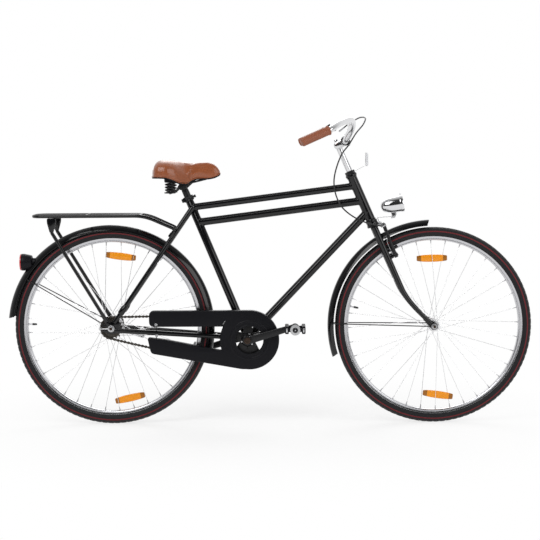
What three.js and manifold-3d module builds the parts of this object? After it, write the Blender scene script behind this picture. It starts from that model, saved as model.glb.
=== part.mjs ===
// A city bike of the Dutch kind, in millimetres: +X forwards, +Z up, the chain on the right, at -Y.
// Places are worked out from the rear axle. The steering parts are modelled in the steering's own frame,
// whose Z runs up the head tube from its lower end and whose X points forwards, square to it.
import * as THREE from "three";
import { mergeVertices } from "three/addons/utils/BufferGeometryUtils.js";
import Module from "manifold-3d";

// Driving dimensions of the whole bike
const wheelbase = 1141;
const tyreRadius = 349;
const bottomBracketAhead = 481;
const bottomBracketDrop = 44;
const bottomBracketHeight = tyreRadius - bottomBracketDrop;
const seatAngle = 67.5;
const headAngle = 66.4;
const headBehindAxle = 220.7;
const headBottomAhead = wheelbase - headBehindAxle;
const frontFenderClearance = 27;
const frontFenderRadius = tyreRadius + frontFenderClearance;
const headBelowFenderTop = 1.3;
const headBottomHeight = tyreRadius + frontFenderRadius - headBelowFenderTop;
const headTubeLength = 168;
const seatTubeLength = 549;

// Clearances and working values
const seatGap = 0.3;
const cutOverrun = 5;
const weldTolerance = 0.001;
const facetTolerance = 0.05;
const tubeSides = 10;
const wireSides = 8;
const thinWireSides = 6;
const bendSteps = 4;
const bendReachShare = 0.45;

// Frame tubes
const headTubeRadius = 17;
const upperTopTubeRadius = 12.7;
const mainTubeRadius = 14.3;
const upperTopTubeBelowHead = 35;
const upperTopTubeBelowSeat = 42;
const lowerTopTubeBelowHead = 92.6;
const lowerTopTubeBelowSeat = 100;
const downTubeBelowHead = 137;
const shellRadius = 20;
const shellHalfWidth = 34;
const steererRadius = 12.7;
const cupRadius = 20.5;
const cupLength = 9;
const cupOverlap = 4;
const seatPostRadius = 12.5;

// Rear triangle
const seatStayRadius = 9.5;
const seatStayEndRadius = 8;
const chainStayRadius = 9;
const chainStayFrontRadius = 8;
const staySpread = 60;
const seatStayTopSpread = 24.5;
const chainStayFrontSpread = 24.5;
const seatStayBelowSeat = 44;
const seatStayFoot = [12, 22];
const chainStayFoot = [16, -8];
const chainStayRise = 2;
const bridgeRadius = 6;
const dropoutThickness = 5;
const dropoutRadius = 19;
const dropoutTail = 34;
const rearSlotHalf = 5.4;
const guardTabAhead = 158;
const guardTabWidth = 12;
const guardTabAboveStay = 25;
const guardTabBelowStay = 20;

// Wheels
const tyreHalfWidth = 19;
const treadHalfWidth = 6;
const shoulderHalfWidth = 15;
const shoulderDrop = 6;
const widestDrop = 18;
const tyreHeight = 32;
const rimRadius = tyreRadius - tyreHeight;
const rimDepth = 15;
const rimInnerRadius = rimRadius - rimDepth;
const beadDepth = 5.6;
const beadRadius = rimRadius - beadDepth;
const beadHalfWidth = 7.4;
const sidewallFootRise = 0.8;
const sidewallFootRadius = rimRadius + sidewallFootRise;
const sidewallFootHalfWidth = 13;
const rimHalfWidth = 13;
const rimTaper = 0.7;
const rimBeadGap = 0.4;
const rimNoseHalfWidth = 7;
const rimShoulder = 4;
const rimWellHalfWidth = 8;
const wheelSides = 36;
const spokeCount = 36;
const spokeRadius = 1.2;
const spokeSweepAngle = 60;
const spokeSides = 3;
const spokeRimSpread = 1.5;
const flangeThickness = 3.2;
const shellWaist = 1.5;
const spokeHoleInset = 4;
const valveRadius = 3.2;
const valveEndRadius = 2.3;
const valveLength = 30;
const rearValveAngle = 178;
const frontValveAngle = 167;
const hubSides = 10;
const rearFlangeRadius = 34;
const rearFlangeSpread = 27;
const rearShellRadius = 24;
const rearShellHalf = 35;
const rearConeHalf = 46;
const rearConeRadius = 9;
const rearAxleRadius = 5;
const rearNutRadius = 9;
const rearWasherRadius = 12;
const washerThickness = 2.5;
const axleNutHeight = 9;
const axleThreadShown = 5;
const nutSides = 6;
const tensionerRadius = 2.2;
const tensionerCap = 4;
const tensionerHeight = 16;
const frontFlangeRadius = 20;
const frontFlangeSpread = 31;
const frontShellRadius = 11;
const frontConeHalf = 47;
const frontConeRadius = 7.5;
const frontAxleRadius = 4.5;

// Spoke reflectors: share of the rim's inner radius out from the axle, and angle, of each
const reflectorLength = 108;
const reflectorHeight = 26;
const reflectorThickness = 12.4;
const reflectorEnd = 9;
const frontUpperReflector = { outShare: 0.788, angle: 91 };
const frontLowerReflector = { outShare: 0.8345, angle: -86 };
const rearUpperReflector = { outShare: 0.8378, angle: 83 };
const rearLowerReflector = { outShare: 0.8742, angle: -77.5 };

// Drive
const chainPitch = 12.7;
const chainringTeeth = 44;
const sprocketTeeth = 19;
const chainLinks = 108;
const chainLine = 44;
const toothThickness = 2.2;
const toothDepth = 3.3;
const rollerHalf = 3;
const plateHalfHeight = 4;
const plateThickness = 1.3;
const innerLinkHalf = 1.7;
const outerLinkHalf = 3;
const rootGap = 0.4;
const guardOpenLinks = 3;
const smallestTurn = 1e-9;
const spiderArms = 5;
const spiderArmWidth = 24;
const chainringRimWidth = 15;
const spiderHubRadius = 24;
const sprocketHubRadius = 21;
const sprocketHubDepth = 6;
const bottomBracketAxleRadius = 8;
const bottomBracketAxleHalf = 78;
const crankLength = 175;
const crankAngle = 16.1;
const crankArmMiddle = 75;
const crankThickness = 13;
const crankBossRadius = 17;
const crankRootRadius = 14;
const crankEndRadius = 11.5;
const crankBossInner = 58;
const crankBossOuter = 85;
const spindleRadius = 6;
const spindleInset = 6;
const pedalInner = 97;
const pedalWidth = 90;
const pedalLength = 71;
const pedalThickness = 26;
const pedalBarrelRadius = 14;
const pedalRailWidth = 13;
const pedalPlate = 3;
const pedalPlateRise = 4;

// Chain guard
const guardDiscAhead = 7;
const guardDiscRadius = 105;
const guardHoleRadius = 49;
const guardWall = 2.4;
const guardFace = 64;
const guardBack = 38;
const guardLipRadius = 68;
const guardLipHeight = 1.6;
const guardUpperRear = 133;
const guardUpperAboveStay = 22.4;
const guardLowerRear = 126;
const guardCorner = 20;
const guardLowerBelowStay = 17;
const guardWaistAhead = 184;
const guardWaistBelowStay = 19.7;
const guardThroatBehindDisc = 104;
const guardThroatDrop = 36;
const guardHeelAhead = 139;
const guardHeelDrop = 47;
const guardStayGap = 3;
const guardRoundSides = 18;

// Fenders
const fenderHalfWidth = 24;
const fenderDrop = 20;
const fenderShoulder = 15;
const fenderShoulderDrop = 6;
const fenderThickness = 1.5;
const fenderWedgeSteps = 8;
const rearFenderClearance = 20;
const rearFenderRadius = tyreRadius + rearFenderClearance;
const rearFenderShift = [-5.5, -5.5];
const rearFenderAngles = [-20, 174];
const frontFenderAngles = [92.3, 197.5];
const fenderWireRadius = 1.9;
const rearWireAngle = 150.5;
const frontWireAngle = 178.8;
const wireEyeRadius = 9.5;
const wireEyeThickness = 2 * fenderWireRadius;
const wireEyeInset = 2;
const wireBendReach = 8;
// Places of a wire stay under its fender: drop below the crown and distance from the middle
const fenderWireLine = [[23, 19], [11, 9.6], [6.4, 3]];

// Rack and tail reflector
const rackHeight = 746;
const rackRear = -272;
const rackFront = 122;
const rackHalfWidth = 65;
const rackTubeRadius = 6;
const rackRodRadius = 4;
const rackRodSpread = 26;
const rackFoot = [213, 676];
const rackFootBend = [229, 698];
const rackFootSpread = 49.5;
const rackCrossBars = [104, -84];
const rackCorner = 36;
const rackBendSteps = 2;
const strutAtRail = 1;
const strutFootShare = 0.94;
const strutTop = [-205, 690];
const strutPlateHalf = 16;
const strutPlateThickness = 4;
const strutRadius = 6.3;
const strutEyeRadius = 11;
const strutEyeThickness = 3;
const tailHeight = 581;
const tailFace = -321;
const tailRadius = 30;
const tailDepth = 50;
const tailLensDepth = 8;
const tailBandShare = 0.2;
const tailConeShare = 0.8;
const tailConeDepthShare = 0.7;

// Coaster brake arm
const coasterArmInset = 10.5;
const coasterArmThickness = 3;
const coasterArmReach = 100;
const coasterArmDrop = 26.9;
const coasterArmRadius = 14;
const coasterArmTipRadius = 7;
const coasterClipLength = 12;
const coasterClipWidth = 11;
const coasterClipHeight = 18;
const coasterClipRise = 5;

// Seat: places ahead of and above the clamp at the seat post's top
const seatClampRadius = 18.5;
const seatClampLength = 18;
const clampEarLength = 14;
const clampEarWidth = 12;
const clampRingReach = 14;
const clampRingRadius = 3.5;
const clampBoltReach = 9;
const clampBoltRadius = 4;
const postExposure = 42;
const postInsertion = 250;
const railClampRadius = 15;
const railClampOverhang = 8;
const saddleBehindClamp = 106.8;
const saddleLength = 242;
const saddleHalfWidth = 100;
const saddleCrest = 90;
const saddleHeight = 58;
const saddleSkirt = saddleCrest - saddleHeight;
const saddleBaseThickness = 7;
const saddleBaseInset = 2;
const saddleLeastHalf = 2;
const railRadius = 3.5;
const railSpread = 22;
const railBendReach = 16;
const railFootDrop = 5;
const railMiddleRise = 4;
const railMiddleSpread = 32;
const railClampSpread = 24;
const railClampRise = 6;
const railAhead = 30;
const railAheadRise = 8;
const railNoseShare = 0.78;
const railNoseSpread = 12;
const railNoseRise = 20;
const springRadius = 16.3;
const springTop = 13;
const springSeatRadius = 20;
const springWireRadius = 2.2;
const springCurls = 4;
const springBehind = 42.8;
const springSpread = 48;
const springDrop = 22;
const springStepsPerCurl = 8;
const springSides = 5;

// Steering, in the steering's own frame
const forkRakeStart = 259;
const forkRakeControl = 315;
const bladeSpread = 38.5;
const bladeRadius = 12;
const bladeSides = 9;
const bladeEndRadius = 7.5;
const bladeEndSpread = 51;
const bladeTipRadius = 6;
const bladeTipBack = 26;
const bladeTipRise = 44;
const crownDrop = 24;
const crownRadius = 13.5;
const crownRaceRadius = 20;
const forkDropoutRadius = 13;
const forkDropoutThickness = 4;
const forkSlotDepth = 45;
const bossRadius = 7;
const bossEndRadius = 6;
const bossShortfall = 8;
const pivotOverhang = 6;
const pivotRadius = 3.5;
const frontWasherRadius = 10;
const frontWasherThickness = 2;
const frontNutRadius = 8;
const frontThreadShown = 4;
const lockNutRadius = 18;
const lockNutLength = 12;
const quillRadius = 11.1;
const quillDepth = 70;
const stemReach = 29.5;
const stemAboveHead = 125;
const stemRise = headTubeLength + stemAboveHead;
const stemClampRadius = 17;
const stemClampLength = 44;
const neckWidth = 24;
const neckDrop = 4;
const neckRootRadius = 15.1;
const neckTipRadius = 15;
const quillHeadRise = 4;
const quillBoltRadius = 6.5;
const quillBoltRise = 18;
const clampScrewAhead = 8;
const clampScrewDrop = 21;
const clampScrewRadius = 4;
const barRadius = 11.1;
const barSteps = 7;
const barCentreHalf = 26;
const barForward = 74;
const barAboveStem = 59;
const barRise = stemRise + barAboveStem;
const barKneeForwardShare = 0.85;
const barKneeRiseShare = 0.55;
const barKneeSpread = 76;
const barShoulderSpread = 131;
const barBackSpread = 214;
const barBackRise = 6;
const barGripBack = -10;
const barGripSpread = 262;
const barEndBack = -116;
const barEndSpread = 300;
const gripRadius = 15.5;
const gripRingRadius = 17;
const gripCap = 5;
const leverPivotForward = 22;
const leverPivotSpread = 294;
const leverTipBack = 46;
const leverTipSpread = 309;
const leverDrop = 6;
const leverTipDrop = 10;
const leverKneeShare = 0.3;
const leverKneeSpread = 6;
const leverKneeReach = 20;
const leverBladeRadius = 4;
const leverBossRadius = 7;
const leverBossHalf = 4;
const leverPinRadius = 3;
const leverPinHalf = 9;
const leverBracketAlong = 22;
const leverRingRadius = 15;
const leverRingHalf = 8;
const leverArmRadius = 6;
const leverArmEndRadius = 5;
const leverSocketRadius = 5;
const leverSocketStart = [0, 10, -10];
const leverSocketEnd = [18, 16, -12];
const leverSlotLength = 22;
const lampRadius = 30;
const lampLength = 82;
const lampRear = [49.6, 28.6];
const lampTilt = 14.1;
const lampWall = 2;
const lampLensDepth = 9;
const lampLensSeat = 3;
const lampLensStep = 1;
const lampRimDepth = 12;
const lampRimRadius = 1.03 * lampRadius;
const lampKnobRadius = 3.5;
const lampKnobRise = 5;
const lampSides = 14;
// The lamp's outline behind its rim, and the hollow behind its lens: shares of its radius and length
const lampShellShares = [[0.42, 0.049], [0.72, 0.171], [0.9, 0.366], [0.97, 0.854]];
const lampHollowShares = [[0.83, 0.902], [0.6, 0.634]];
const lampClampRadius = 7;
const lampClampLength = 20;
const strapWidth = 14;
const strapThickness = 3;
const strapTaper = 0.01;
const strapAhead = 25;
const strapBelowCrown = 14;
const strapAboveCrown = 26;
const strapElbow = 10;
const crownBoltRadius = 5;
const reflectorPlateWidth = 90;
const reflectorPlateHeight = 47;
const reflectorPlateThickness = 7;
const reflectorPlateReach = 58;
const reflectorFootRise = 8;
const reflectorFootInset = 4;
const reflectorPlateGap = 3.5;
const reflectorArmRise = 5;
const reflectorArmRadius = 3;
const reflectorArmTaper = 0.1;
const reflectorArmWidth = 16;
const brakePadBelowRim = 8.7;
const brakePadRadius = rimRadius - brakePadBelowRim;
const brakePadBehindAxle = 29.5;
const brakePadFace = 15;
const brakePadLength = 55;
const brakePadHeight = 8;
const brakePadThickness = 8;
const brakePostRadius = 3.5;
const brakePostSpread = 42.5;
const brakePivotBehindAxle = 22.73;
const brakePivotBelowPad = 21.167;
const brakePivotSpread = 38.5;
const brakeArmRadius = 5.5;
const brakeArmSides = 6;
const brakeArmBow = 1;
const brakeArmTopAbovePad = 90.83;
const brakeArmTopBehindAxle = 17.23;
const brakeArmTopSpread = 33;
const brakeBossRadius = 9;
const brakeBossHalf = 7;
const cableHoleRadius = 2;
const cableHoleDrop = 2;
const cableNoodleReach = 12;
const cableEndReach = 6;

// The brake cable's route, chosen by hand, from the lever's bracket round the stem to the brake arms
const cableRoute = [
  [822, 268, 1042], [846, 226, 1062], [866, 180, 1076], [892, 125, 1089], [906, 84, 1084],
  [896, 48, 1062], [868, 4, 1030], [840, -34, 988], [818, -38, 960], [796, -38, 904],
  [789, -36, 861], [795, -35, 817], [816, -37, 773], [852, -44, 741], [902, -54, 717],
  [940, -58, 708], [962, -55, 703.5],
];
const cableRadius = 2.5;
const innerCableRadius = 1;
const cableSteps = 26;

const radians = (angle) => (angle * Math.PI) / 180;
const point = (x, y, z) => new THREE.Vector3(x, y, z);
const sidesOfBike = { right: -1, left: 1 };

const rearAxle = point(0, 0, tyreRadius);
const frontAxle = point(wheelbase, 0, tyreRadius);
const bottomBracket = point(bottomBracketAhead, 0, bottomBracketHeight);
const seatUp = point(-Math.cos(radians(seatAngle)), 0, Math.sin(radians(seatAngle)));
const headUp = point(-Math.cos(radians(headAngle)), 0, Math.sin(radians(headAngle)));
const headForward = point(Math.sin(radians(headAngle)), 0, Math.cos(radians(headAngle)));
const headBottom = point(headBottomAhead, 0, headBottomHeight);
const seatForward = point(Math.sin(radians(seatAngle)), 0, Math.cos(radians(seatAngle)));
const headTop = headBottom.clone().addScaledVector(headUp, headTubeLength);
const seatTop = bottomBracket.clone().addScaledVector(seatUp, seatTubeLength);
const upSeat = (distance) => bottomBracket.clone().addScaledVector(seatUp, distance);
const belowHead = (distance) => headTop.clone().addScaledVector(headUp, -distance);
const rearFenderCentre = point(rearFenderShift[0], 0, tyreRadius + rearFenderShift[1]);

// A place given in the steering's frame from one in the bike's frame, and the other way round
function toSteering(place) {
  const offset = place.clone().sub(headBottom);
  return point(offset.dot(headForward), place.y, offset.dot(headUp));
}

const wasm = await Module();
wasm.setup();

// A closed geometry as a solid, with doubles merged, slivers of no area dropped and faces turned outwards
function solidFrom(geometry) {
  const bare = new THREE.BufferGeometry();
  bare.setAttribute("position", geometry.getAttribute("position"));
  bare.setIndex(geometry.getIndex());
  const merged = mergeVertices(bare, weldTolerance);
  const places = merged.getAttribute("position");
  const corners = merged.getIndex().array;
  const faces = [];
  const [a, b, c] = [point(0, 0, 0), point(0, 0, 0), point(0, 0, 0)];
  let volume = 0;
  for (let i = 0; i < corners.length; i += 3) {
    const [first, second, third] = corners.slice(i, i + 3);
    if (first === second || second === third || third === first) continue;
    faces.push(first, second, third);
    a.fromBufferAttribute(places, first);
    b.fromBufferAttribute(places, second);
    c.fromBufferAttribute(places, third);
    volume += a.dot(b.cross(c));
  }
  if (volume < 0) faces.reverse();
  return new wasm.Manifold(new wasm.Mesh({
    numProp: 3,
    vertProperties: new Float32Array(places.array),
    triVerts: new Uint32Array(faces),
  }));
}

const joined = (...solids) => solids.flat().reduce((whole, next) => whole.add(next));
const cut = (solid, ...tools) => tools.flat().reduce((left, tool) => left.subtract(tool), solid);
const moved = (solid, place) => solid.translate([place.x, place.y, place.z]);

// A bore's radius at the corners of its polygon, so that its flats still clear a shaft of this radius
const boreFor = (radius, gap = seatGap, sides = tubeSides) => (radius + gap) / Math.cos(Math.PI / sides);

// The same for a seat that doesn't turn, whose polygon lies square with the one it holds
const fitFor = (radius, gap = seatGap, sides = tubeSides) => radius + gap / Math.cos(Math.PI / sides);

// A straight round bar between two places, its radius changing evenly from one end to the other
function rod(from, to, radius, endRadius = radius, sides = tubeSides) {
  const along = to.clone().sub(from);
  const geometry = new THREE.CylinderGeometry(endRadius, radius, along.length(), sides);
  geometry.rotateY(Math.PI / sides);
  geometry.translate(0, along.length() / 2, 0);
  geometry.applyQuaternion(new THREE.Quaternion().setFromUnitVectors(point(0, 1, 0), along.normalize()));
  geometry.translate(from.x, from.y, from.z);
  return solidFrom(geometry);
}

// A solid whose skin runs through rings of the same number of points
function skin(rings, loop = false) {
  const perRing = rings[0].length;
  const corner = (ring, i) => (ring % rings.length) * perRing + (i % perRing);
  const faces = [];
  for (let ring = 0; ring < rings.length - (loop ? 0 : 1); ring++) {
    for (let i = 0; i < perRing; i++) {
      faces.push(corner(ring, i), corner(ring, i + 1), corner(ring + 1, i + 1));
      faces.push(corner(ring, i), corner(ring + 1, i + 1), corner(ring + 1, i));
    }
  }
  const last = rings.length - 1;
  for (let i = 1; !loop && i < perRing - 1; i++) {
    faces.push(corner(0, 0), corner(0, i + 1), corner(0, i));
    faces.push(corner(last, 0), corner(last, i), corner(last, i + 1));
  }
  const geometry = new THREE.BufferGeometry();
  const places = rings.flat().flatMap((place) => place.toArray());
  geometry.setAttribute("position", new THREE.Float32BufferAttribute(places, 3));
  geometry.setIndex(faces);
  return solidFrom(geometry);
}

// A line of places through these corners, with each corner rounded
function roundedLine(corners, reach, steps = bendSteps) {
  const line = [corners[0]];
  for (let i = 1; i < corners.length - 1; i++) {
    const back = corners[i - 1].clone().sub(corners[i]);
    const ahead = corners[i + 1].clone().sub(corners[i]);
    const room = Math.min(reach, bendReachShare * back.length(), bendReachShare * ahead.length());
    const start = corners[i].clone().addScaledVector(back.normalize(), room);
    const end = corners[i].clone().addScaledVector(ahead.normalize(), room);
    line.push(...new THREE.QuadraticBezierCurve3(start, corners[i], end).getPoints(steps));
  }
  line.push(corners.at(-1));
  return line;
}

// A round tube along a line of places; its section never twists, and its radius may change along it
function sweptTube(line, radius, sides = tubeSides) {
  const radiusAt = typeof radius === "function" ? radius : () => radius;
  const tangents = line.map((place, i) => {
    const before = line[Math.max(i - 1, 0)];
    const after = line[Math.min(i + 1, line.length - 1)];
    return after.clone().sub(before).normalize();
  });
  const across = point(0, 1, 0).cross(tangents[0]);
  if (across.length() < Math.SQRT1_2) across.set(1, 0, 0).cross(tangents[0]);
  across.normalize();
  const rings = line.map((place, i) => {
    if (i > 0) {
      across.applyQuaternion(new THREE.Quaternion().setFromUnitVectors(tangents[i - 1], tangents[i]));
    }
    const other = tangents[i].clone().cross(across);
    return Array.from({ length: sides }, (_, k) => {
      const angle = (2 * Math.PI * (k + 0.5)) / sides;
      const reach = radiusAt(i / (line.length - 1));
      return place.clone()
        .addScaledVector(across, reach * Math.cos(angle))
        .addScaledVector(other, reach * Math.sin(angle));
    });
  });
  return skin(rings);
}

// A revolved solid on the Y axis, from pairs of radius and place along the axis
function turned(profile, sides = hubSides) {
  const points = profile.map(([radius, along]) => new THREE.Vector2(radius, along));
  const geometry = new THREE.LatheGeometry(points, sides);
  geometry.rotateY(Math.PI / sides);
  return solidFrom(geometry);
}

const closed = (profile) => [...profile, profile[0]];
const outline = (pairs) => new THREE.Shape(pairs.map(([x, z]) => new THREE.Vector2(x, z)));

// An outline in the XZ plane given a thickness, centred on this distance along Y
function slab(shape, thickness, middle = 0, curveSegments = bendSteps) {
  const geometry = new THREE.ExtrudeGeometry(shape, { depth: thickness, bevelEnabled: false, curveSegments });
  geometry.translate(0, 0, -thickness / 2);
  geometry.rotateX(Math.PI / 2);
  geometry.translate(0, middle, 0);
  return solidFrom(geometry);
}

function disc(centre, radius, thickness, sides = hubSides) {
  const half = point(0, thickness / 2, 0);
  return rod(centre.clone().sub(half), centre.clone().add(half), radius, radius, sides);
}

function block(centre, size) {
  const geometry = new THREE.BoxGeometry(size.x, size.y, size.z);
  geometry.translate(centre.x, centre.y, centre.z);
  return solidFrom(geometry);
}

// A flat link: the outline round two circles, as an outline in the XZ plane
function linkOutline(from, to, radius, endRadius, steps = bendSteps * 2) {
  const direction = Math.atan2(to.z - from.z, to.x - from.x);
  const spread = Math.acos((radius - endRadius) / Math.hypot(to.x - from.x, to.z - from.z));
  const arc = (centre, reach, start, end) => Array.from({ length: steps + 1 }, (_, i) => {
    const angle = start + ((end - start) * i) / steps;
    return [centre.x + reach * Math.cos(angle), centre.z + reach * Math.sin(angle)];
  });
  return outline([
    ...arc(to, endRadius, direction - spread, direction + spread),
    ...arc(from, radius, direction + spread, direction + 2 * Math.PI - spread),
  ]);
}

// The place where a line from a start meets a circle round a centre, the nearer root first
function lineMeetsCircle(start, direction, centre, radius) {
  const offset = start.clone().sub(centre);
  offset.y = 0;
  const flat = direction.clone().setY(0);
  const a = flat.lengthSq();
  const b = offset.dot(flat);
  const c = offset.lengthSq() - radius * radius;
  return start.clone().addScaledVector(direction, (-b - Math.sqrt(b * b - a * c)) / a);
}

const finish = (color, roughness, metalness) => ({ color, roughness, metalness });
const blackPaint = finish(0x0b0b0d, 0.25, 0.2);
const satinPlastic = finish(0x151519, 0.5, 0);
const blackSteel = finish(0x121214, 0.4, 0.5);
const chrome = finish(0xd8d8dc, 0.12, 1);
const aluminium = finish(0xc4c6c9, 0.3, 1);
const rubber = finish(0x1b1b1d, 0.8, 0);
const tan = finish(0x96502f, 0.5, 0);
const amber = finish(0xff9a0a, 0.2, 0);
const redLens = finish(0xaa1218, 0.2, 0);
const clearLens = finish(0xf2f4f6, 0.05, 0);
const chainSteel = finish(0x5b564e, 0.4, 0.9);

function piece(name, solid, look) {
  const made = solid.asOriginal().simplify(facetTolerance).getMesh();
  const geometry = new THREE.BufferGeometry();
  geometry.setAttribute("position", new THREE.BufferAttribute(made.vertProperties, made.numProp));
  geometry.setIndex(new THREE.BufferAttribute(made.triVerts, 1));
  const mesh = new THREE.Mesh(geometry, new THREE.MeshStandardMaterial({ ...look, flatShading: true }));
  mesh.name = name;
  return mesh;
}

function groupOf(...meshes) {
  const group = new THREE.Group();
  group.add(...meshes.flat());
  return group;
}

// Head tube with its two headset cups, bored for the steerer
function headTube() {
  const cup = (from, direction) => rod(
    from.clone().addScaledVector(headUp, -direction * cupOverlap),
    from.clone().addScaledVector(headUp, direction * cupLength), cupRadius);
  const whole = joined(rod(headBottom, headTop, headTubeRadius), cup(headBottom, -1), cup(headTop, 1));
  const reach = cupLength + cutOverrun;
  const bore = rod(belowHead(headTubeLength + reach), belowHead(-reach), boreFor(steererRadius));
  return piece("head_tube", cut(whole, bore), blackPaint);
}

const headTubeSpace = () => rod(
  belowHead(headTubeLength + cutOverrun), belowHead(-cutOverrun), fitFor(headTubeRadius));
const seatTubeSpace = () => rod(
  upSeat(-cutOverrun), upSeat(seatTubeLength + cutOverrun), fitFor(mainTubeRadius));
const shellSpace = () => disc(bottomBracket, fitFor(shellRadius, seatGap, hubSides),
  2 * (shellHalfWidth + cutOverrun));

function mitredTube(name, from, to, radius) {
  const tube = cut(rod(from, to, radius), headTubeSpace(), seatTubeSpace(), shellSpace());
  return piece(name, tube, blackPaint);
}

// Seat tube and bottom bracket shell, bored for the seat post and the crank axle
function seatTube() {
  const shell = disc(bottomBracket, shellRadius, 2 * shellHalfWidth);
  const whole = joined(rod(bottomBracket, seatTop, mainTubeRadius), shell);
  const postSpace = rod(upSeat(2 * shellRadius), upSeat(seatTubeLength + cutOverrun), fitFor(seatPostRadius));
  const axleBore = boreFor(bottomBracketAxleRadius, seatGap, hubSides);
  const axleSpace = disc(bottomBracket, axleBore, 3 * shellHalfWidth);
  return piece("seat_tube", cut(whole, postSpace, axleSpace), blackPaint);
}

const chainStayStart = (side) => point(chainStayFoot[0], side * (staySpread - dropoutThickness / 2),
  tyreRadius + chainStayFoot[1]);
const chainStayEnd = (side) => point(bottomBracketAhead, side * chainStayFrontSpread,
  bottomBracketHeight + chainStayRise);
const seatStayStart = (side) => point(seatStayFoot[0], side * (staySpread - dropoutThickness / 2),
  tyreRadius + seatStayFoot[1]);
const seatStayEnd = (side) => upSeat(seatTubeLength - seatStayBelowSeat).setY(side * seatStayTopSpread);

// The axle slot of a rear dropout, open at the back
function dropout(side) {
  const foot = outline([
    [-dropoutTail, dropoutRadius / 2], [-dropoutRadius / 2, dropoutRadius],
    [seatStayFoot[0], seatStayFoot[1] + seatStayEndRadius], [seatStayFoot[0] + dropoutRadius, seatStayFoot[1]],
    [chainStayFoot[0] + dropoutRadius, chainStayFoot[1]], [chainStayFoot[0], -dropoutRadius],
    [-dropoutRadius / 2, -dropoutRadius], [-dropoutTail, -dropoutRadius / 2],
  ]);
  const plate = slab(foot, dropoutThickness, side * staySpread);
  const slotLength = dropoutTail + cutOverrun + rearSlotHalf;
  const slot = block(point(rearSlotHalf - slotLength / 2, side * staySpread, 0),
    point(slotLength, 2 * dropoutThickness, 2 * rearSlotHalf));
  return moved(cut(plate, slot), rearAxle);
}

// Chain stays, seat stays, their bridges at the fender, the dropouts and the tab of the chain guard
function rearTriangle() {
  const parts = Object.values(sidesOfBike).flatMap((side) => [
    rod(chainStayStart(side), chainStayEnd(side), chainStayRadius, chainStayFrontRadius),
    rod(seatStayStart(side), seatStayEnd(side), seatStayEndRadius, seatStayRadius),
    dropout(side),
  ]);
  const bridge = (start, end) => {
    const direction = end.clone().sub(start).normalize();
    const seat = rearFenderRadius + bridgeRadius + seatGap;
    const place = lineMeetsCircle(end, direction.clone().negate(), rearFenderCentre, seat);
    return rod(place, place.clone().setY(-place.y), bridgeRadius, bridgeRadius, wireSides);
  };
  const right = sidesOfBike.right;
  parts.push(bridge(chainStayStart(right), chainStayEnd(right)));
  parts.push(bridge(seatStayStart(right), seatStayEnd(right)));
  parts.push(guardTab(0));
  const spaces = [seatTubeSpace(), shellSpace()];
  return piece("rear_triangle", cut(joined(parts), spaces), blackPaint);
}

// The middle of the right chain stay at this distance ahead of the rear axle
const stayAt = (ahead) => chainStayStart(sidesOfBike.right).lerp(chainStayEnd(sidesOfBike.right),
  (ahead - chainStayFoot[0]) / (bottomBracketAhead - chainStayFoot[0]));

// The tab on it that the chain guard is bolted to, grown by a clearance for the cut round it
function guardTab(gap) {
  const stay = stayAt(guardTabAhead);
  const back = guardFace - guardWall - seatGap;
  const inner = Math.abs(stay.y) + chainStayRadius / 2;
  const low = stay.z - guardTabBelowStay;
  const high = stay.z + guardTabAboveStay;
  return block(point(guardTabAhead, -(back + inner) / 2, (low + high) / 2),
    point(guardTabWidth + 2 * gap, back - inner + 2 * gap, high - low + 2 * gap));
}

// Chain guard: a moulded tray, open at the back, whose disc has a hole for the crank
function chainguard() {
  const disCentre = point(bottomBracketAhead + guardDiscAhead, 0, bottomBracketHeight);
  const top = bottomBracketHeight + guardDiscRadius;
  const upperArm = (inset) => {
    const rear = inset ? guardUpperRear - cutOverrun : guardUpperRear;
    const [low, high] = [stayAt(guardTabAhead).z + guardUpperAboveStay + inset, top - inset];
    const shape = new THREE.Shape();
    shape.moveTo(rear, low);
    shape.lineTo(disCentre.x, low);
    shape.lineTo(disCentre.x, high);
    shape.lineTo(rear + guardCorner, high);
    shape.quadraticCurveTo(rear, high, rear, high - guardCorner);
    return shape;
  };
  const openBy = (inset) => (inset ? -cutOverrun : 0);
  const lowerArm = (inset) => outline([
    [guardLowerRear + openBy(inset), stayAt(guardLowerRear).z - guardLowerBelowStay - inset],
    [guardHeelAhead + openBy(inset), bottomBracketHeight - guardHeelDrop + inset],
    [disCentre.x - guardCorner, bottomBracketHeight - guardDiscRadius + inset],
    [disCentre.x, bottomBracketHeight],
    [disCentre.x - guardThroatBehindDisc + inset, bottomBracketHeight - guardThroatDrop - inset],
    [guardWaistAhead, stayAt(guardWaistAhead).z - guardWaistBelowStay - inset],
  ]);
  const tray = (inset, front, back) => {
    const depth = front - back;
    const middle = -(front + back) / 2;
    return joined(
      disc(disCentre.clone().setY(middle), guardDiscRadius - inset, depth, wheelSides),
      slab(upperArm(inset), depth, middle),
      slab(lowerArm(inset), depth, middle),
    );
  };
  const shell = cut(
    tray(0, guardFace, guardBack), tray(guardWall, guardFace - guardWall, guardBack - cutOverrun));
  const lip = cut(
    disc(disCentre.clone().setY(-guardFace), guardLipRadius, 2 * guardLipHeight, guardRoundSides),
    disc(disCentre.clone().setY(-guardFace), guardLipRadius - guardWall, 3 * guardLipHeight, guardRoundSides),
  );
  const hole = disc(
    disCentre.clone().setY(-guardFace), guardHoleRadius, guardFace - guardBack, guardRoundSides);
  const staySpace = rod(chainStayStart(sidesOfBike.right), chainStayEnd(sidesOfBike.right),
    chainStayRadius + guardStayGap, chainStayFrontRadius + guardStayGap);
  return piece("chainguard", cut(joined(shell, lip), hole, staySpace, guardTab(seatGap)), satinPlastic);
}

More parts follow.
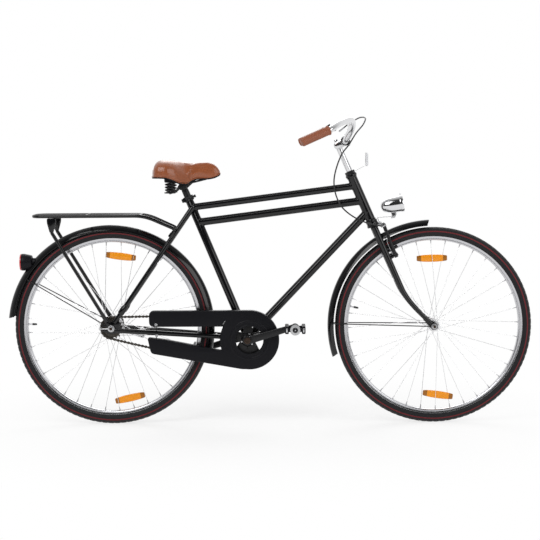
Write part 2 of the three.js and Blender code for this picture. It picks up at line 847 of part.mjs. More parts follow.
// A crowned fender: a revolved section cut down to its stretch of the circle
function fender(name, centre, radius, angles) {
  const [from, to] = angles.map(radians);
  const outer = [
    [radius - fenderDrop, -fenderHalfWidth], [radius - fenderShoulderDrop, -fenderShoulder], [radius, 0],
    [radius - fenderShoulderDrop, fenderShoulder], [radius - fenderDrop, fenderHalfWidth],
  ];
  const inner = outer.map(([r, y]) => [
    r === radius - fenderDrop ? r : r - fenderThickness, y - Math.sign(y) * fenderThickness,
  ]).reverse();
  const ring = turned(closed([...outer, ...inner]), wheelSides);
  const arc = Array.from({ length: fenderWedgeSteps + 1 }, (_, i) => {
    const angle = from + ((to - from) * i) / fenderWedgeSteps;
    return [2 * radius * Math.cos(angle), 2 * radius * Math.sin(angle)];
  });
  const solid = ring.intersect(slab(outline([[0, 0], ...arc]), 3 * fenderHalfWidth));
  return piece(name, moved(solid, centre), blackPaint);
}

// A fender's wire stay: from one axle end past the dropout, up inside the skirt, under the crown and down
// to the other end
function fenderStay(name, axle, centre, radius, angle, eyeMiddle, axleRadius, clearReach) {
  const outwards = point(Math.cos(radians(angle)), 0, Math.sin(radians(angle)));
  const crown = lineMeetsCircle(axle, outwards.clone().negate(), centre, radius).sub(axle).length();
  const at = (reach, y) => axle.clone().addScaledVector(outwards, reach).setY(y);
  const inside = fenderWireLine.map(([drop, across]) => at(crown - drop, across));
  const half = [at(wireEyeRadius - wireEyeInset, eyeMiddle), at(clearReach, eyeMiddle), ...inside];
  const mirrored = [...half].reverse().map((place) => place.clone().setY(-place.y));
  const line = roundedLine([...half, ...mirrored], wireBendReach, 1);
  const wire = sweptTube(line, fenderWireRadius, thinWireSides);
  const eyes = Object.values(sidesOfBike).map((side) => cut(
    disc(axle.clone().setY(side * eyeMiddle), wireEyeRadius, wireEyeThickness, tubeSides),
    disc(axle.clone().setY(side * eyeMiddle), fitFor(axleRadius, seatGap, hubSides), 2 * wireEyeThickness)));
  return piece(name, joined(wire, eyes), blackSteel);
}

// Rear rack: one bent tube down to the seat stays at each side, two cross bars and three rods
function rearRack() {
  const side = (sign) => [
    point(rackFoot[0], sign * rackFootSpread, rackFoot[1]),
    point(rackFootBend[0], sign * rackFootSpread, rackFootBend[1]),
    point(rackFront, sign * rackHalfWidth, rackHeight),
    point(rackRear, sign * rackHalfWidth, rackHeight),
  ];
  const line = roundedLine([...side(-1), ...side(1).reverse()], rackCorner, rackBendSteps);
  const rim = sweptTube(line, rackTubeRadius, wireSides);
  const rodHeight = rackHeight + rackTubeRadius - rackRodRadius;
  const bars = rackCrossBars.map((ahead) => rod(point(ahead, -rackHalfWidth, rodHeight),
    point(ahead, rackHalfWidth, rodHeight), rackRodRadius, rackRodRadius, thinWireSides));
  const rods = [-rackRodSpread, 0, rackRodSpread].map((across) => rod(
    point(rackCrossBars[0], across, rodHeight), point(rackRear, across, rodHeight),
    rackRodRadius, rackRodRadius, thinWireSides));
  return piece("rear_rack", joined(rim, bars, rods), blackPaint);
}

// A rack strut: a plate under the rail, a tube and an eye on the axle
const strutMiddle = staySpread + dropoutThickness / 2 + wireEyeThickness + 2 * seatGap + strutEyeThickness / 2;
function rackStrut(name, side) {
  const top = point(strutTop[0], side * (rackHalfWidth + strutAtRail), strutTop[1]);
  const plateTop = rackHeight - rackTubeRadius - seatGap;
  const plate = outline([
    [strutTop[0] - strutPlateHalf, plateTop], [strutTop[0] + strutPlateHalf, plateTop],
    [strutTop[0] + strutPlateHalf, plateTop - strutPlateHalf], [strutTop[0] + strutRadius, strutTop[1]],
    [strutTop[0] - strutRadius, strutTop[1]], [strutTop[0] - strutPlateHalf, plateTop - strutPlateHalf],
  ]);
  const foot = top.clone().lerp(rearAxle, strutFootShare).setY(side * (strutMiddle + strutRadius / 2));
  const eyeAt = rearAxle.clone().setY(side * strutMiddle);
  const flatOutline = linkOutline(foot, eyeAt, strutRadius, strutEyeRadius);
  const flat = slab(flatOutline, strutEyeThickness, side * strutMiddle);
  const bore = disc(eyeAt, fitFor(rearAxleRadius, seatGap, hubSides), 3 * strutEyeThickness);
  const plateSolid = slab(plate, strutPlateThickness, top.y);
  return piece(name, cut(joined(plateSolid, rod(top, foot, strutRadius), flat), bore), blackPaint);
}

// Tail reflector: a round body seated on the rear fender and its red lens
function tailReflector() {
  const alongX = (profile) => turned(profile, lampSides)
    .rotate([0, 0, 90])
    .translate([tailFace, 0, tailHeight]);
  const body = alongX(closed([
    [0, 0], [tailRadius, 0], [tailRadius, -tailBandShare * tailDepth],
    [tailConeShare * tailRadius, -tailConeDepthShare * tailDepth], [0, -tailDepth],
  ]));
  const lens = alongX(closed([
    [0, seatGap], [tailRadius, seatGap], [tailRadius, tailLensDepth / 2],
    [tailConeShare * tailRadius, tailLensDepth], [0, tailLensDepth],
  ]));
  const fenderSpace = disc(rearFenderCentre, rearFenderRadius + seatGap, 3 * tailRadius, wheelSides);
  return [piece("tail_reflector_body", cut(body, fenderSpace), satinPlastic),
    piece("tail_reflector_lens", lens, redLens)];
}

// The rear axle with its nuts and the chain tensioners
function rearAxleSet() {
  const nutInner = strutMiddle + strutEyeThickness / 2 + seatGap;
  const parts = Object.values(sidesOfBike).flatMap((side) => {
    const at = (y, x = 0) => rearAxle.clone().add(point(x, side * y, 0));
    const screw = nutInner + tensionerRadius + seatGap;
    const cap = -dropoutTail - tensionerCap;
    return [
      disc(at(nutInner + washerThickness / 2), rearWasherRadius, washerThickness, tubeSides),
      rod(at(nutInner), at(nutInner + axleNutHeight), rearNutRadius, rearNutRadius, nutSides),
      rod(at(screw), at(screw, cap), tensionerRadius, tensionerRadius, nutSides),
      block(at((staySpread + screw) / 2, cap),
        point(tensionerCap, screw - staySpread + 2 * tensionerRadius + dropoutThickness, tensionerHeight)),
    ];
  });
  const reach = nutInner + axleNutHeight + axleThreadShown;
  parts.push(rod(rearAxle.clone().setY(-reach), rearAxle.clone().setY(reach), rearAxleRadius, rearAxleRadius,
    hubSides));
  return piece("rear_axle", joined(parts), aluminium);
}

// The coaster brake's reaction arm, clipped to the left chain stay
function coasterArm() {
  const middle = staySpread - coasterArmInset;
  const tip = stayAt(coasterArmReach).setY(0);
  tip.z -= coasterArmDrop;
  const outlineOfArm = linkOutline(rearAxle, tip, coasterArmRadius, coasterArmTipRadius);
  const arm = slab(outlineOfArm, coasterArmThickness, middle);
  const clip = block(tip.clone().setY(middle + (coasterClipWidth - coasterArmThickness) / 2)
    .add(point(0, 0, coasterClipRise)), point(coasterClipLength, coasterClipWidth, coasterClipHeight));
  const left = sidesOfBike.left;
  const staySpace = rod(chainStayStart(left), chainStayEnd(left), boreFor(chainStayRadius),
    boreFor(chainStayFrontRadius));
  const bore = disc(rearAxle.clone().setY(middle), fitFor(rearAxleRadius, seatGap, hubSides),
    3 * coasterArmThickness);
  return piece("coaster_brake_arm", cut(joined(arm, clip), bore, staySpace), aluminium);
}

// The collar round the seat tube's top, with its ear and ring behind and its bolt in front
function seatClamp() {
  const bottom = upSeat(seatTubeLength - seatClampLength);
  const top = upSeat(seatTubeLength);
  const middle = bottom.clone().lerp(top, 1 / 2);
  const ear = middle.clone().addScaledVector(seatForward, -seatClampRadius);
  const collar = joined(
    rod(bottom, top, seatClampRadius),
    block(ear, point(clampEarLength, clampEarWidth, clampEarLength)),
    rod(ear.clone().setY(-clampRingReach), ear.clone().setY(clampRingReach), clampRingRadius, clampRingRadius,
      nutSides),
    rod(middle, middle.clone().addScaledVector(seatForward, seatClampRadius + clampBoltReach), clampBoltRadius,
      clampBoltRadius, nutSides),
  );
  return piece("seat_clamp", cut(collar, seatTubeSpace()), blackSteel);
}

// Pitch circles of chainring and sprocket
const pitchRadius = (teeth) => chainPitch / (2 * Math.sin(Math.PI / teeth));
const ringRadius = pitchRadius(chainringTeeth);
const cogRadius = pitchRadius(sprocketTeeth);
const ringStep = (2 * Math.PI) / chainringTeeth;
const cogStep = (2 * Math.PI) / sprocketTeeth;

// Where the chain's rollers lie: round the chainring's front, along the lower run, round the sprocket's
// back and along the upper run. Each run hangs in the flat arc that its whole number of links makes.
function rollerPlaces() {
  const centres = bottomBracket.clone().sub(rearAxle);
  const tilt = Math.atan2(centres.z, centres.x);
  const flare = Math.asin((ringRadius - cogRadius) / centres.length());
  const on = (centre, radius, angle) => point(
    centre.x + radius * Math.cos(angle), 0, centre.z + radius * Math.sin(angle));
  const upperAngle = tilt + Math.PI / 2 + flare;
  const wrap = Math.PI + 2 * flare;
  const ringSpans = Math.floor(wrap / ringStep);
  const ring = Array.from({ length: ringSpans + 1 }, (_, i) => on(
    bottomBracket, ringRadius, upperAngle - i * ringStep));
  const straight = Math.sqrt(centres.lengthSq() - (ringRadius - cogRadius) ** 2);
  const upperSpans = Math.ceil(straight / chainPitch);
  const start = upperAngle + (upperSpans * chainPitch - straight) / cogRadius;
  const cogSpans = Math.floor((Math.PI - 2 * flare) / cogStep);
  const cog = Array.from({ length: cogSpans + 1 }, (_, i) => on(
    rearAxle, cogRadius, start + (cogSpans - i) * cogStep));
  const lowerSpans = chainLinks - ringSpans - upperSpans - cogSpans;
  return {
    ringPhase: upperAngle,
    cogPhase: start,
    places: [
      ...ring, ...hangingRun(ring.at(-1), cog[0], lowerSpans),
      ...cog, ...hangingRun(cog.at(-1), ring[0], upperSpans),
    ],
  };
}

// The inner places of a run of equal chords between two ends, on the flat arc that sags below them
function hangingRun(from, to, spans) {
  const gap = from.distanceTo(to);
  let [low, high] = [0, Math.PI / spans];
  while (high - low > smallestTurn) {
    const turn = (low + high) / 2;
    const reach = (chainPitch * Math.sin((spans * turn) / 2)) / Math.sin(turn / 2);
    if (reach > gap) low = turn;
    else high = turn;
  }
  const bend = Math.sign(to.x - from.x) * low;
  const heading = Math.atan2(to.z - from.z, to.x - from.x);
  const place = from.clone();
  return Array.from({ length: spans - 1 }, (_, i) => {
    const angle = heading + bend * (i - (spans - 1) / 2);
    return place.add(point(chainPitch * Math.cos(angle), 0, chainPitch * Math.sin(angle))).clone();
  });
}

const chainRun = rollerPlaces();

// Whether a link runs free inside the chain guard, where neither a tooth nor a look reaches its middle
function linkInGuard(rollers, link) {
  const from = guardUpperRear + guardOpenLinks * chainPitch;
  const to = bottomBracketAhead - guardOpenLinks * chainPitch;
  return [rollers[link], rollers[(link + 1) % rollers.length]].every(({ x }) => x > from && x < to);
}

// The chain: two rows of plates that step in and out from link to link, joined by its rollers.
// Inside the guard it is one plain bar.
function chain() {
  const rollers = chainRun.places;
  const count = rollers.length;
  const places = [];
  const faces = [];
  const quad = (a, b, c, d) => faces.push(a, b, c, a, c, d);
  rollers.forEach((roller, i) => {
    const before = rollers[(i + count - 1) % count];
    const after = rollers[(i + 1) % count];
    const along = after.clone().sub(before).normalize();
    const up = point(0, 1, 0).cross(along);
    const hidden = [i + count - 1, i].every((link) => linkInGuard(rollers, link % count));
    const inner = hidden ? outerLinkHalf : innerLinkHalf;
    const widths = i % 2 ? [inner, outerLinkHalf] : [outerLinkHalf, inner];
    [-1, 1].forEach((end, k) => {
      const middle = roller.clone().addScaledVector(along, end * rollerHalf);
      const halves = [widths[k] + plateThickness, widths[k]];
      [-1, 1].forEach((side) => halves.forEach((half) => [-1, 1].forEach((edge) => {
        const place = middle.clone().addScaledVector(up, edge * plateHalfHeight);
        places.push(place.x, -chainLine + side * half, place.z);
      })));
    });
  });
  const perSide = 4;
  const perStation = 2 * perSide;
  const stations = 2 * count;
  const at = (station, side, skinSide, edge) =>
    (station % stations) * perStation + side * perSide + skinSide * 2 + edge;
  const between = (a, b) => quad(
    at(a[0], 0, 1, a[1]), at(b[0], 0, 1, b[1]), at(b[0], 1, 1, b[1]), at(a[0], 1, 1, a[1]));
  const filled = (station) => station % 2 === 0 || linkInGuard(rollers, ((station - 1) / 2) % count);
  for (let station = 0; station < stations; station++) {
    const next = station + 1;
    for (const side of [0, 1]) {
      const face = side ? quad : (a, b, c, d) => quad(d, c, b, a);
      face(at(station, side, 0, 0), at(station, side, 0, 1), at(next, side, 0, 1), at(next, side, 0, 0));
      face(at(station, side, 0, 1), at(station, side, 1, 1), at(next, side, 1, 1), at(next, side, 0, 1));
      face(at(station, side, 1, 0), at(station, side, 0, 0), at(next, side, 0, 0), at(next, side, 1, 0));
      if (filled(station)) continue;
      face(at(station, side, 1, 1), at(station, side, 1, 0), at(next, side, 1, 0), at(next, side, 1, 1));
    }
    if (filled(station)) {
      between([station, 1], [next, 1]);
      between([next, 0], [station, 0]);
    }
    const before = filled((station + stations - 1) % stations);
    if (filled(station) && !before) between([station, 0], [station, 1]);
    if (!filled(station) && before) between([station, 1], [station, 0]);
  }
  const geometry = new THREE.BufferGeometry();
  geometry.setAttribute("position", new THREE.Float32BufferAttribute(places, 3));
  geometry.setIndex(faces);
  return piece("chain", solidFrom(geometry), chainSteel);
}

// The toothed outline of a chain wheel, its gaps at this phase
function toothedOutline(teeth, radius, phase) {
  const step = (2 * Math.PI) / teeth;
  const root = radius - plateHalfHeight - rootGap;
  const rootHalf = (root * step) / 2 - rollerHalf - rootGap;
  const corner = (reach, angle) => [reach * Math.cos(angle), reach * Math.sin(angle)];
  return Array.from({ length: teeth }, (_, i) => {
    const middle = phase + (i + 0.5) * step;
    return [
      corner(root, middle - rootHalf / root), corner(radius + toothDepth, middle),
      corner(root, middle + rootHalf / root),
    ];
  }).flat();
}

// Chainring: toothed rim, spider arms and a hub on the crank axle
function chainring() {
  const rimInner = ringRadius - plateHalfHeight - chainringRimWidth;
  const rim = outline(toothedOutline(chainringTeeth, ringRadius, chainRun.ringPhase));
  rim.holes.push(new THREE.Path().absarc(0, 0, rimInner, 0, 2 * Math.PI, true));
  const arms = Array.from({ length: spiderArms }, (_, i) => {
    const angle = (2 * Math.PI * i) / spiderArms + radians(crankAngle);
    const reach = rimInner + chainringRimWidth / 3;
    return slab(linkOutline(point(0, 0, 0), point(reach * Math.cos(angle), 0, reach * Math.sin(angle)),
      spiderArmWidth / 2, spiderArmWidth / 3, 2), toothThickness);
  });
  const hubDepth = crankBossInner - seatGap - chainLine;
  const hub = disc(point(0, -(hubDepth - toothThickness) / 2, 0), spiderHubRadius, hubDepth + toothThickness);
  const bore = disc(point(0, 0, 0), fitFor(bottomBracketAxleRadius, seatGap, hubSides), 4 * hubDepth);
  const whole = cut(joined(slab(rim, toothThickness, 0, hubSides), arms, hub), bore);
  return piece("chainring", moved(whole, bottomBracket.clone().setY(-chainLine)), blackSteel);
}

function sprocket() {
  const shape = outline(toothedOutline(sprocketTeeth, cogRadius, chainRun.cogPhase));
  const hub = disc(point(0, sprocketHubDepth / 2, 0), sprocketHubRadius, sprocketHubDepth);
  const bore = disc(point(0, 0, 0), boreFor(rearConeRadius, seatGap, hubSides), 4 * sprocketHubDepth);
  return piece("rear_sprocket", moved(cut(joined(slab(shape, toothThickness), hub), bore),
    rearAxle.clone().setY(-chainLine)), chainSteel);
}

const crankEnd = (side) => {
  const sign = -side;
  const reach = point(Math.cos(radians(crankAngle)), 0, Math.sin(radians(crankAngle)));
  return bottomBracket.clone().addScaledVector(reach, sign * crankLength);
};

// A crank arm with its boss on the axle and its pedal spindle
function crank(name, side) {
  const end = crankEnd(side);
  const middle = side * crankArmMiddle;
  const arm = slab(linkOutline(bottomBracket, end, crankRootRadius, crankEndRadius), crankThickness, middle);
  const bossMiddle = bottomBracket.clone().setY((side * (crankBossInner + crankBossOuter)) / 2);
  const boss = disc(bossMiddle, crankBossRadius, crankBossOuter - crankBossInner);
  const bore = disc(bottomBracket.clone().setY(side * crankBossInner),
    fitFor(bottomBracketAxleRadius, seatGap, hubSides),
    2 * (bottomBracketAxleHalf + seatGap - crankBossInner));
  const spindle = rod(end.clone().setY(middle), end.clone().setY(side * (pedalInner + pedalWidth - spindleInset)),
    spindleRadius);
  return piece(name, joined(cut(joined(arm, boss), bore), spindle), blackSteel);
}

function crankAxle() {
  const end = bottomBracket.clone().setY(bottomBracketAxleHalf);
  const axle = rod(end, end.clone().setY(-bottomBracketAxleHalf), bottomBracketAxleRadius,
    bottomBracketAxleRadius, hubSides);
  return piece("bottom_bracket_axle", axle, blackSteel);
}

// A pedal: a barrel on the spindle, two treads and two end plates
function pedal(name, side) {
  const middle = side * (pedalInner + pedalWidth / 2);
  const bore = boreFor(spindleRadius);
  const treadAhead = (pedalLength - pedalRailWidth) / 2;
  const plateHeight = pedalThickness + pedalPlateRise;
  const parts = [disc(point(0, middle, 0), pedalBarrelRadius, pedalWidth)];
  for (const sign of [-1, 1]) {
    parts.push(block(point(sign * treadAhead, middle, 0),
      point(pedalRailWidth, pedalWidth - pedalPlate, pedalThickness)));
    parts.push(block(point(0, middle + (sign * (pedalWidth - pedalPlate)) / 2, 0),
      point(pedalLength - pedalRailWidth / 2, pedalPlate, plateHeight / 2)));
  }
  const end = side * (pedalInner + pedalWidth - spindleInset + seatGap);
  const inner = side * (pedalInner - cutOverrun);
  const space = rod(point(0, inner, 0), point(0, end, 0), bore);
  return piece(name, moved(cut(joined(parts), space), crankEnd(side)), satinPlastic);
}

// Wheel pieces, modelled on the axle at the origin and moved to their place
function tyre(name) {
  const flat = tyreRadius / Math.cos(Math.PI / wheelSides);
  const half = [
    [flat, treadHalfWidth], [flat - shoulderDrop, shoulderHalfWidth], [tyreRadius - widestDrop, tyreHalfWidth],
    [sidewallFootRadius, sidewallFootHalfWidth], [beadRadius, beadHalfWidth],
  ];
  const mirrored = [...half].reverse().map(([r, y]) => [r, -y]);
  return piece(name, turned(closed([...half, ...mirrored]), wheelSides), rubber);
}

function rim(name, valveAngle) {
  const half = [
    [beadRadius - rimBeadGap, rimWellHalfWidth], [rimRadius, rimHalfWidth],
    [rimInnerRadius + rimShoulder, rimHalfWidth - rimTaper], [rimInnerRadius, rimNoseHalfWidth],
  ];
  const mirrored = [...half].reverse().map(([r, y]) => [r, -y]);
  const out = point(Math.cos(radians(valveAngle)), 0, Math.sin(radians(valveAngle)));
  const valve = rod(out.clone().multiplyScalar(rimInnerRadius + rimShoulder),
    out.clone().multiplyScalar(rimInnerRadius - valveLength), valveRadius, valveEndRadius, nutSides);
  return piece(name, joined(turned(closed([...half, ...mirrored]), wheelSides), valve), aluminium);
}

// The spokes' lines, laced three across: each leaves its flange's inner or outer face on a slant
function spokeLines(flangeRadius, flangeSpread) {
  const perSide = spokeCount / 2;
  const holeRadius = flangeRadius - spokeHoleInset;
  const reach = rimInnerRadius * Math.cos(Math.PI / wheelSides) - seatGap;
  const on = (radius, angle, y) => point(radius * Math.cos(angle), y, radius * Math.sin(angle));
  return Array.from({ length: spokeCount }, (_, i) => {
    const side = i % 2 ? 1 : -1;
    const index = Math.floor(i / 2);
    const lead = index % 2 ? 1 : -1;
    const hubAngle = (2 * Math.PI * (index + (side > 0 ? 1 / 2 : 0))) / perSide;
    const flangeY = side * (flangeSpread + lead * (flangeThickness / 2 + spokeRadius / 2));
    return [
      on(holeRadius, hubAngle, flangeY),
      on(reach, hubAngle + lead * radians(spokeSweepAngle), side * spokeRimSpread),
    ];
  });
}

function spokedHub(name, profile, flangeRadius, flangeSpread, bore) {
  const spokes = spokeLines(flangeRadius, flangeSpread).map(([from, to]) => rod(
    from, to, spokeRadius, spokeRadius, spokeSides));
  const reach = profile.at(-1)[1] + cutOverrun;
  const hole = rod(point(0, -reach, 0), point(0, reach, 0), bore, bore, tubeSides);
  return piece(name, joined(cut(turned(profile), hole), spokes), aluminium);
}

// A hub's revolved outline: cone, shell, flange and back again on the other side
function hubProfile(coneHalf, coneRadius, flangeRadius, flangeSpread, shellRadius, shellHalf) {
  const half = flangeThickness / 2;
  const right = [
    [0, -coneHalf], [coneRadius, -coneHalf], [coneRadius, -shellHalf], [shellRadius, -shellHalf],
    [shellRadius, -flangeSpread - half], [flangeRadius, -flangeSpread - half],
    [flangeRadius, -flangeSpread + half], [shellRadius - shellWaist, -flangeSpread + half],
  ];
  return [...right, ...right.map(([r, y]) => [r, -y]).reverse()];
}

// A reflector clipped between the spokes: its outline is square to the radius and its faces have a slot for
// each spoke that crosses it
function spokeReflector(name, { outShare, angle }, flangeRadius, flangeSpread) {
  const out = outShare * rimInnerRadius;
  const arc = new THREE.Shape();
  const half = reflectorLength / 2;
  const low = reflectorHeight / 2;
  const bend = reflectorEnd;
  arc.moveTo(-half + bend, -low);
  arc.lineTo(half - bend, -low);
  arc.quadraticCurveTo(half, -low, half, 0);
  arc.quadraticCurveTo(half, low, half - bend, low);
  arc.lineTo(-half + bend, low);
  arc.quadraticCurveTo(-half, low, -half, 0);
  arc.quadraticCurveTo(-half, -low, -half + bend, -low);
  const turn = angle > 0 ? 90 - angle : -90 - angle;
  const solid = slab(arc, reflectorThickness, 0, 2).rotate([0, turn, 0]);
  const place = point(out * Math.cos(radians(angle)), 0, out * Math.sin(radians(angle)));
  const slots = spokeLines(flangeRadius, flangeSpread).map(([from, to]) => {
    const groove = rod(from, to, spokeRadius + seatGap, spokeRadius + seatGap, spokeSides);
    const outwards = Math.sign(from.y) * reflectorThickness;
    return wasm.Manifold.hull([groove, groove.translate([0, outwards, 0])]);
  });
  return piece(name, cut(moved(solid, place), slots), amber);
}

function rearWheel() {
  const profile = hubProfile(rearConeHalf, rearConeRadius, rearFlangeRadius, rearFlangeSpread,
    rearShellRadius, rearShellHalf);
  const group = groupOf(
    tyre("rear_tyre"),
    rim("rear_rim", rearValveAngle),
    spokedHub("rear_hub", profile, rearFlangeRadius, rearFlangeSpread, boreFor(rearAxleRadius)),
    spokeReflector("rear_reflector_upper", rearUpperReflector, rearFlangeRadius, rearFlangeSpread),
    spokeReflector("rear_reflector_lower", rearLowerReflector, rearFlangeRadius, rearFlangeSpread),
  );
  group.position.copy(rearAxle);
  return group;
}

function frontWheel() {
  const profile = hubProfile(frontConeHalf, frontConeRadius, frontFlangeRadius, frontFlangeSpread,
    frontShellRadius, frontFlangeSpread + flangeThickness);
  const group = groupOf(
    tyre("front_tyre"),
    rim("front_rim", frontValveAngle),
    spokedHub("front_hub", profile, frontFlangeRadius, frontFlangeSpread, boreFor(frontAxleRadius)),
    spokeReflector("front_reflector_upper", frontUpperReflector, frontFlangeRadius, frontFlangeSpread),
    spokeReflector("front_reflector_lower", frontLowerReflector, frontFlangeRadius, frontFlangeSpread),
  );
  group.position.copy(frontAxle);
  return group;
}

const axleInSteering = toSteering(frontAxle);
const brakePad = axleInSteering.clone().add(point(-brakePadBehindAxle, 0,
  Math.sqrt(brakePadRadius ** 2 - brakePadBehindAxle ** 2)));
const brakePivot = point(axleInSteering.x - brakePivotBehindAxle, 0, brakePad.z - brakePivotBelowPad);
const bladeAt = (side, forward, drop, spread) => point(forward, side * spread, -drop);

// A fork blade: straight down the steering line, then raked forwards to the axle
function forkBlade(side) {
  const end = bladeAt(side, axleInSteering.x, -axleInSteering.z, bladeEndSpread);
  const top = bladeAt(side, 0, crownDrop, bladeSpread);
  const share = forkRakeStart / -axleInSteering.z;
  const spreadAt = bladeSpread + (bladeEndSpread - bladeSpread) * share;
  const start = bladeAt(side, 0, forkRakeStart, spreadAt);
  const control = bladeAt(side, 0, forkRakeControl, spreadAt);
  const rake = new THREE.QuadraticBezierCurve3(start, control, end).getPoints(bendSteps + 1);
  const stop = rake.length - 1;
  const line = [top, ...rake.slice(0, stop)];
  return sweptTube(line, (along) => bladeRadius + (bladeEndRadius - bladeRadius) * along, bladeSides);
}

// Fork: steerer, crown, two raked blades, dropouts open below and the two brake bosses
function fork() {
  const axle = axleInSteering;
  const parts = [
    rod(point(0, 0, -crownDrop), point(0, 0, headTubeLength + cupLength), steererRadius),
    rod(point(0, -bladeSpread, -crownDrop), point(0, bladeSpread, -crownDrop), crownRadius),
    rod(point(0, 0, -crownDrop), point(0, 0, -cupLength - seatGap), crownRaceRadius),
  ];
  for (const side of [-1, 1]) {
    const foot = axle.clone().setY(side * bladeEndSpread);
    const tip = foot.clone().add(point(-bladeTipBack, 0, bladeTipRise));
    const boss = point(0, side * brakePivotSpread, brakePivot.z);
    parts.push(forkBlade(side));
    parts.push(slab(linkOutline(tip, foot, bladeTipRadius, forkDropoutRadius), forkDropoutThickness,
      side * bladeEndSpread));
    parts.push(rod(boss, boss.clone().setX(brakePivot.x - bossShortfall), bossRadius, bossEndRadius, wireSides));
    parts.push(rod(boss, boss.clone().setX(brakePivot.x + pivotOverhang), pivotRadius, pivotRadius, wireSides));
  }
  const slotHalf = frontAxleRadius + seatGap;
  const slots = [-1, 1].map((side) => joined(
    block(axle.clone().add(point(0, side * bladeEndSpread, -forkDropoutRadius)),
      point(2 * slotHalf, forkSlotDepth, 2 * forkDropoutRadius)),
    disc(axle.clone().setY(side * bladeEndSpread), boreFor(frontAxleRadius, seatGap, hubSides), forkSlotDepth)));
  const bore = rod(point(0, 0, headTubeLength - quillDepth - cutOverrun),
    point(0, 0, headTubeLength + cupLength + cutOverrun), fitFor(quillRadius));
  const tyreSpace = disc(axle, frontFenderRadius + seatGap, 2 * (fenderHalfWidth + seatGap), wheelSides);
  return piece("fork", cut(joined(parts), slots, bore, tyreSpace), blackPaint);
}

// Stem: the quill in the steerer, the neck and the split clamp round the handlebar
function stem() {
  const head = point(0, 0, stemRise);
  const clamp = point(stemReach, 0, stemRise);
  const screw = clamp.clone().add(point(clampScrewAhead, 0, 0));
  const neck = linkOutline(point(0, 0, stemRise - neckDrop), clamp, neckRootRadius, neckTipRadius);
  const parts = [
    rod(point(0, 0, headTubeLength - quillDepth + cupLength), head.clone().add(point(0, 0, quillHeadRise)),
      quillRadius),
    slab(neck, neckWidth),
    disc(clamp, stemClampRadius, stemClampLength, tubeSides),
    rod(head, head.clone().add(point(0, 0, quillBoltRise)), quillBoltRadius, quillBoltRadius, nutSides),
    rod(screw.clone().add(point(0, 0, -clampScrewDrop)), screw, clampScrewRadius, clampScrewRadius, nutSides),
  ];
  return piece("stem", cut(joined(parts), barSpace()), chrome);
}

// The handlebar's line from its middle out to one end
const barCorners = (side) => [
  point(stemReach, side * barCentreHalf, stemRise),
  point(stemReach + (barForward - stemReach) * barKneeForwardShare, side * barKneeSpread,
    stemRise + barAboveStem * barKneeRiseShare),
  point(barForward, side * barShoulderSpread, barRise),
  point((barForward + barGripBack) / 2, side * barBackSpread, barRise + barBackRise),
];
const gripStart = (side) => point(barGripBack, side * barGripSpread, barRise);
const gripEnd = (side) => point(barEndBack, side * barEndSpread, barRise);

// The handlebar's whole line, from the right end to the left, lengthened by a clearance
function barLine(gap = 0) {
  const curve = new THREE.CatmullRomCurve3([...barCorners(1), gripStart(1)]).getPoints(barSteps);
  const end = gripEnd(1).lerp(gripStart(1), (gripCap - gap) / gripStart(1).distanceTo(gripEnd(1)));
  const left = [...curve, end];
  const right = left.map((place) => place.clone().setY(-place.y)).reverse();
  return [...right, ...left];
}

const barSpace = () => sweptTube(barLine(seatGap), fitFor(barRadius, seatGap, bladeSides), bladeSides);

function handlebar() {
  return piece("handlebar", sweptTube(barLine(), barRadius, bladeSides), chrome);
}

// A grip: a closed sleeve pushed over the bar's end, with a raised ring at its inner end
function grip(name, side) {
  const [start, end] = [gripStart(side), gripEnd(side)];
  const outward = end.clone().sub(start).normalize();
  const from = start.clone().addScaledVector(outward, gripCap);
  const ring = rod(from, from.clone().addScaledVector(outward, gripCap), gripRingRadius);
  return piece(name, cut(joined(rod(from, end, gripRadius), ring), barSpace()), tan);
}

// Brake lever bracket: a ring on the left of the bar with an arm out to the lever's pivot pin
const leverPivot = point(leverPivotForward, leverPivotSpread, barRise - leverDrop);
const leverPin = (half, radius) => rod(leverPivot.clone().add(point(0, 0, -half)),
  leverPivot.clone().add(point(0, 0, half)), radius, radius, wireSides);
function leverBracket() {
  const start = gripStart(1);
  const along = barCorners(1).at(-1).sub(start).normalize();
  const middle = start.clone().addScaledVector(along, leverBracketAlong);
  const ring = rod(middle.clone().addScaledVector(along, -leverRingHalf),
    middle.clone().addScaledVector(along, leverRingHalf), leverRingRadius);
  const arm = rod(middle, leverPivot.clone().setX(leverPivot.x + leverPinRadius), leverArmRadius, leverArmEndRadius,
    nutSides);
  const socket = rod(middle.clone().add(point(...leverSocketStart)), middle.clone().add(point(...leverSocketEnd)),
    leverSocketRadius, leverSocketRadius, wireSides);
  const slot = block(leverPivot, point(leverSlotLength, leverSlotLength, leverPinHalf));
  const forked = cut(joined(ring, arm, socket), slot);
  return piece("brake_lever_bracket", cut(joined(forked, leverPin(leverPinHalf, leverPinRadius)), barSpace()),
    satinPlastic);
}

function brakeLever() {
  const tip = point(-leverTipBack, leverTipSpread, barRise - leverTipDrop);
  const knee = leverPivot.clone().lerp(tip, leverKneeShare).add(point(0, leverKneeSpread, 0));
  const blade = sweptTube(roundedLine([leverPivot, knee, tip], leverKneeReach, 2), leverBladeRadius, wireSides);
  const boss = leverPin(leverBossHalf, leverBossRadius);
  const bore = leverPin(2 * leverPinHalf, boreFor(leverPinRadius, seatGap, wireSides));
  return piece("brake_lever", cut(joined(blade, boss), bore), satinPlastic);
}

// The top end of a brake arm, where the cable pulls on it
const armTop = (side) => point(axleInSteering.x - brakeArmTopBehindAxle, side * brakeArmTopSpread,
  brakePad.z + brakeArmTopAbovePad);

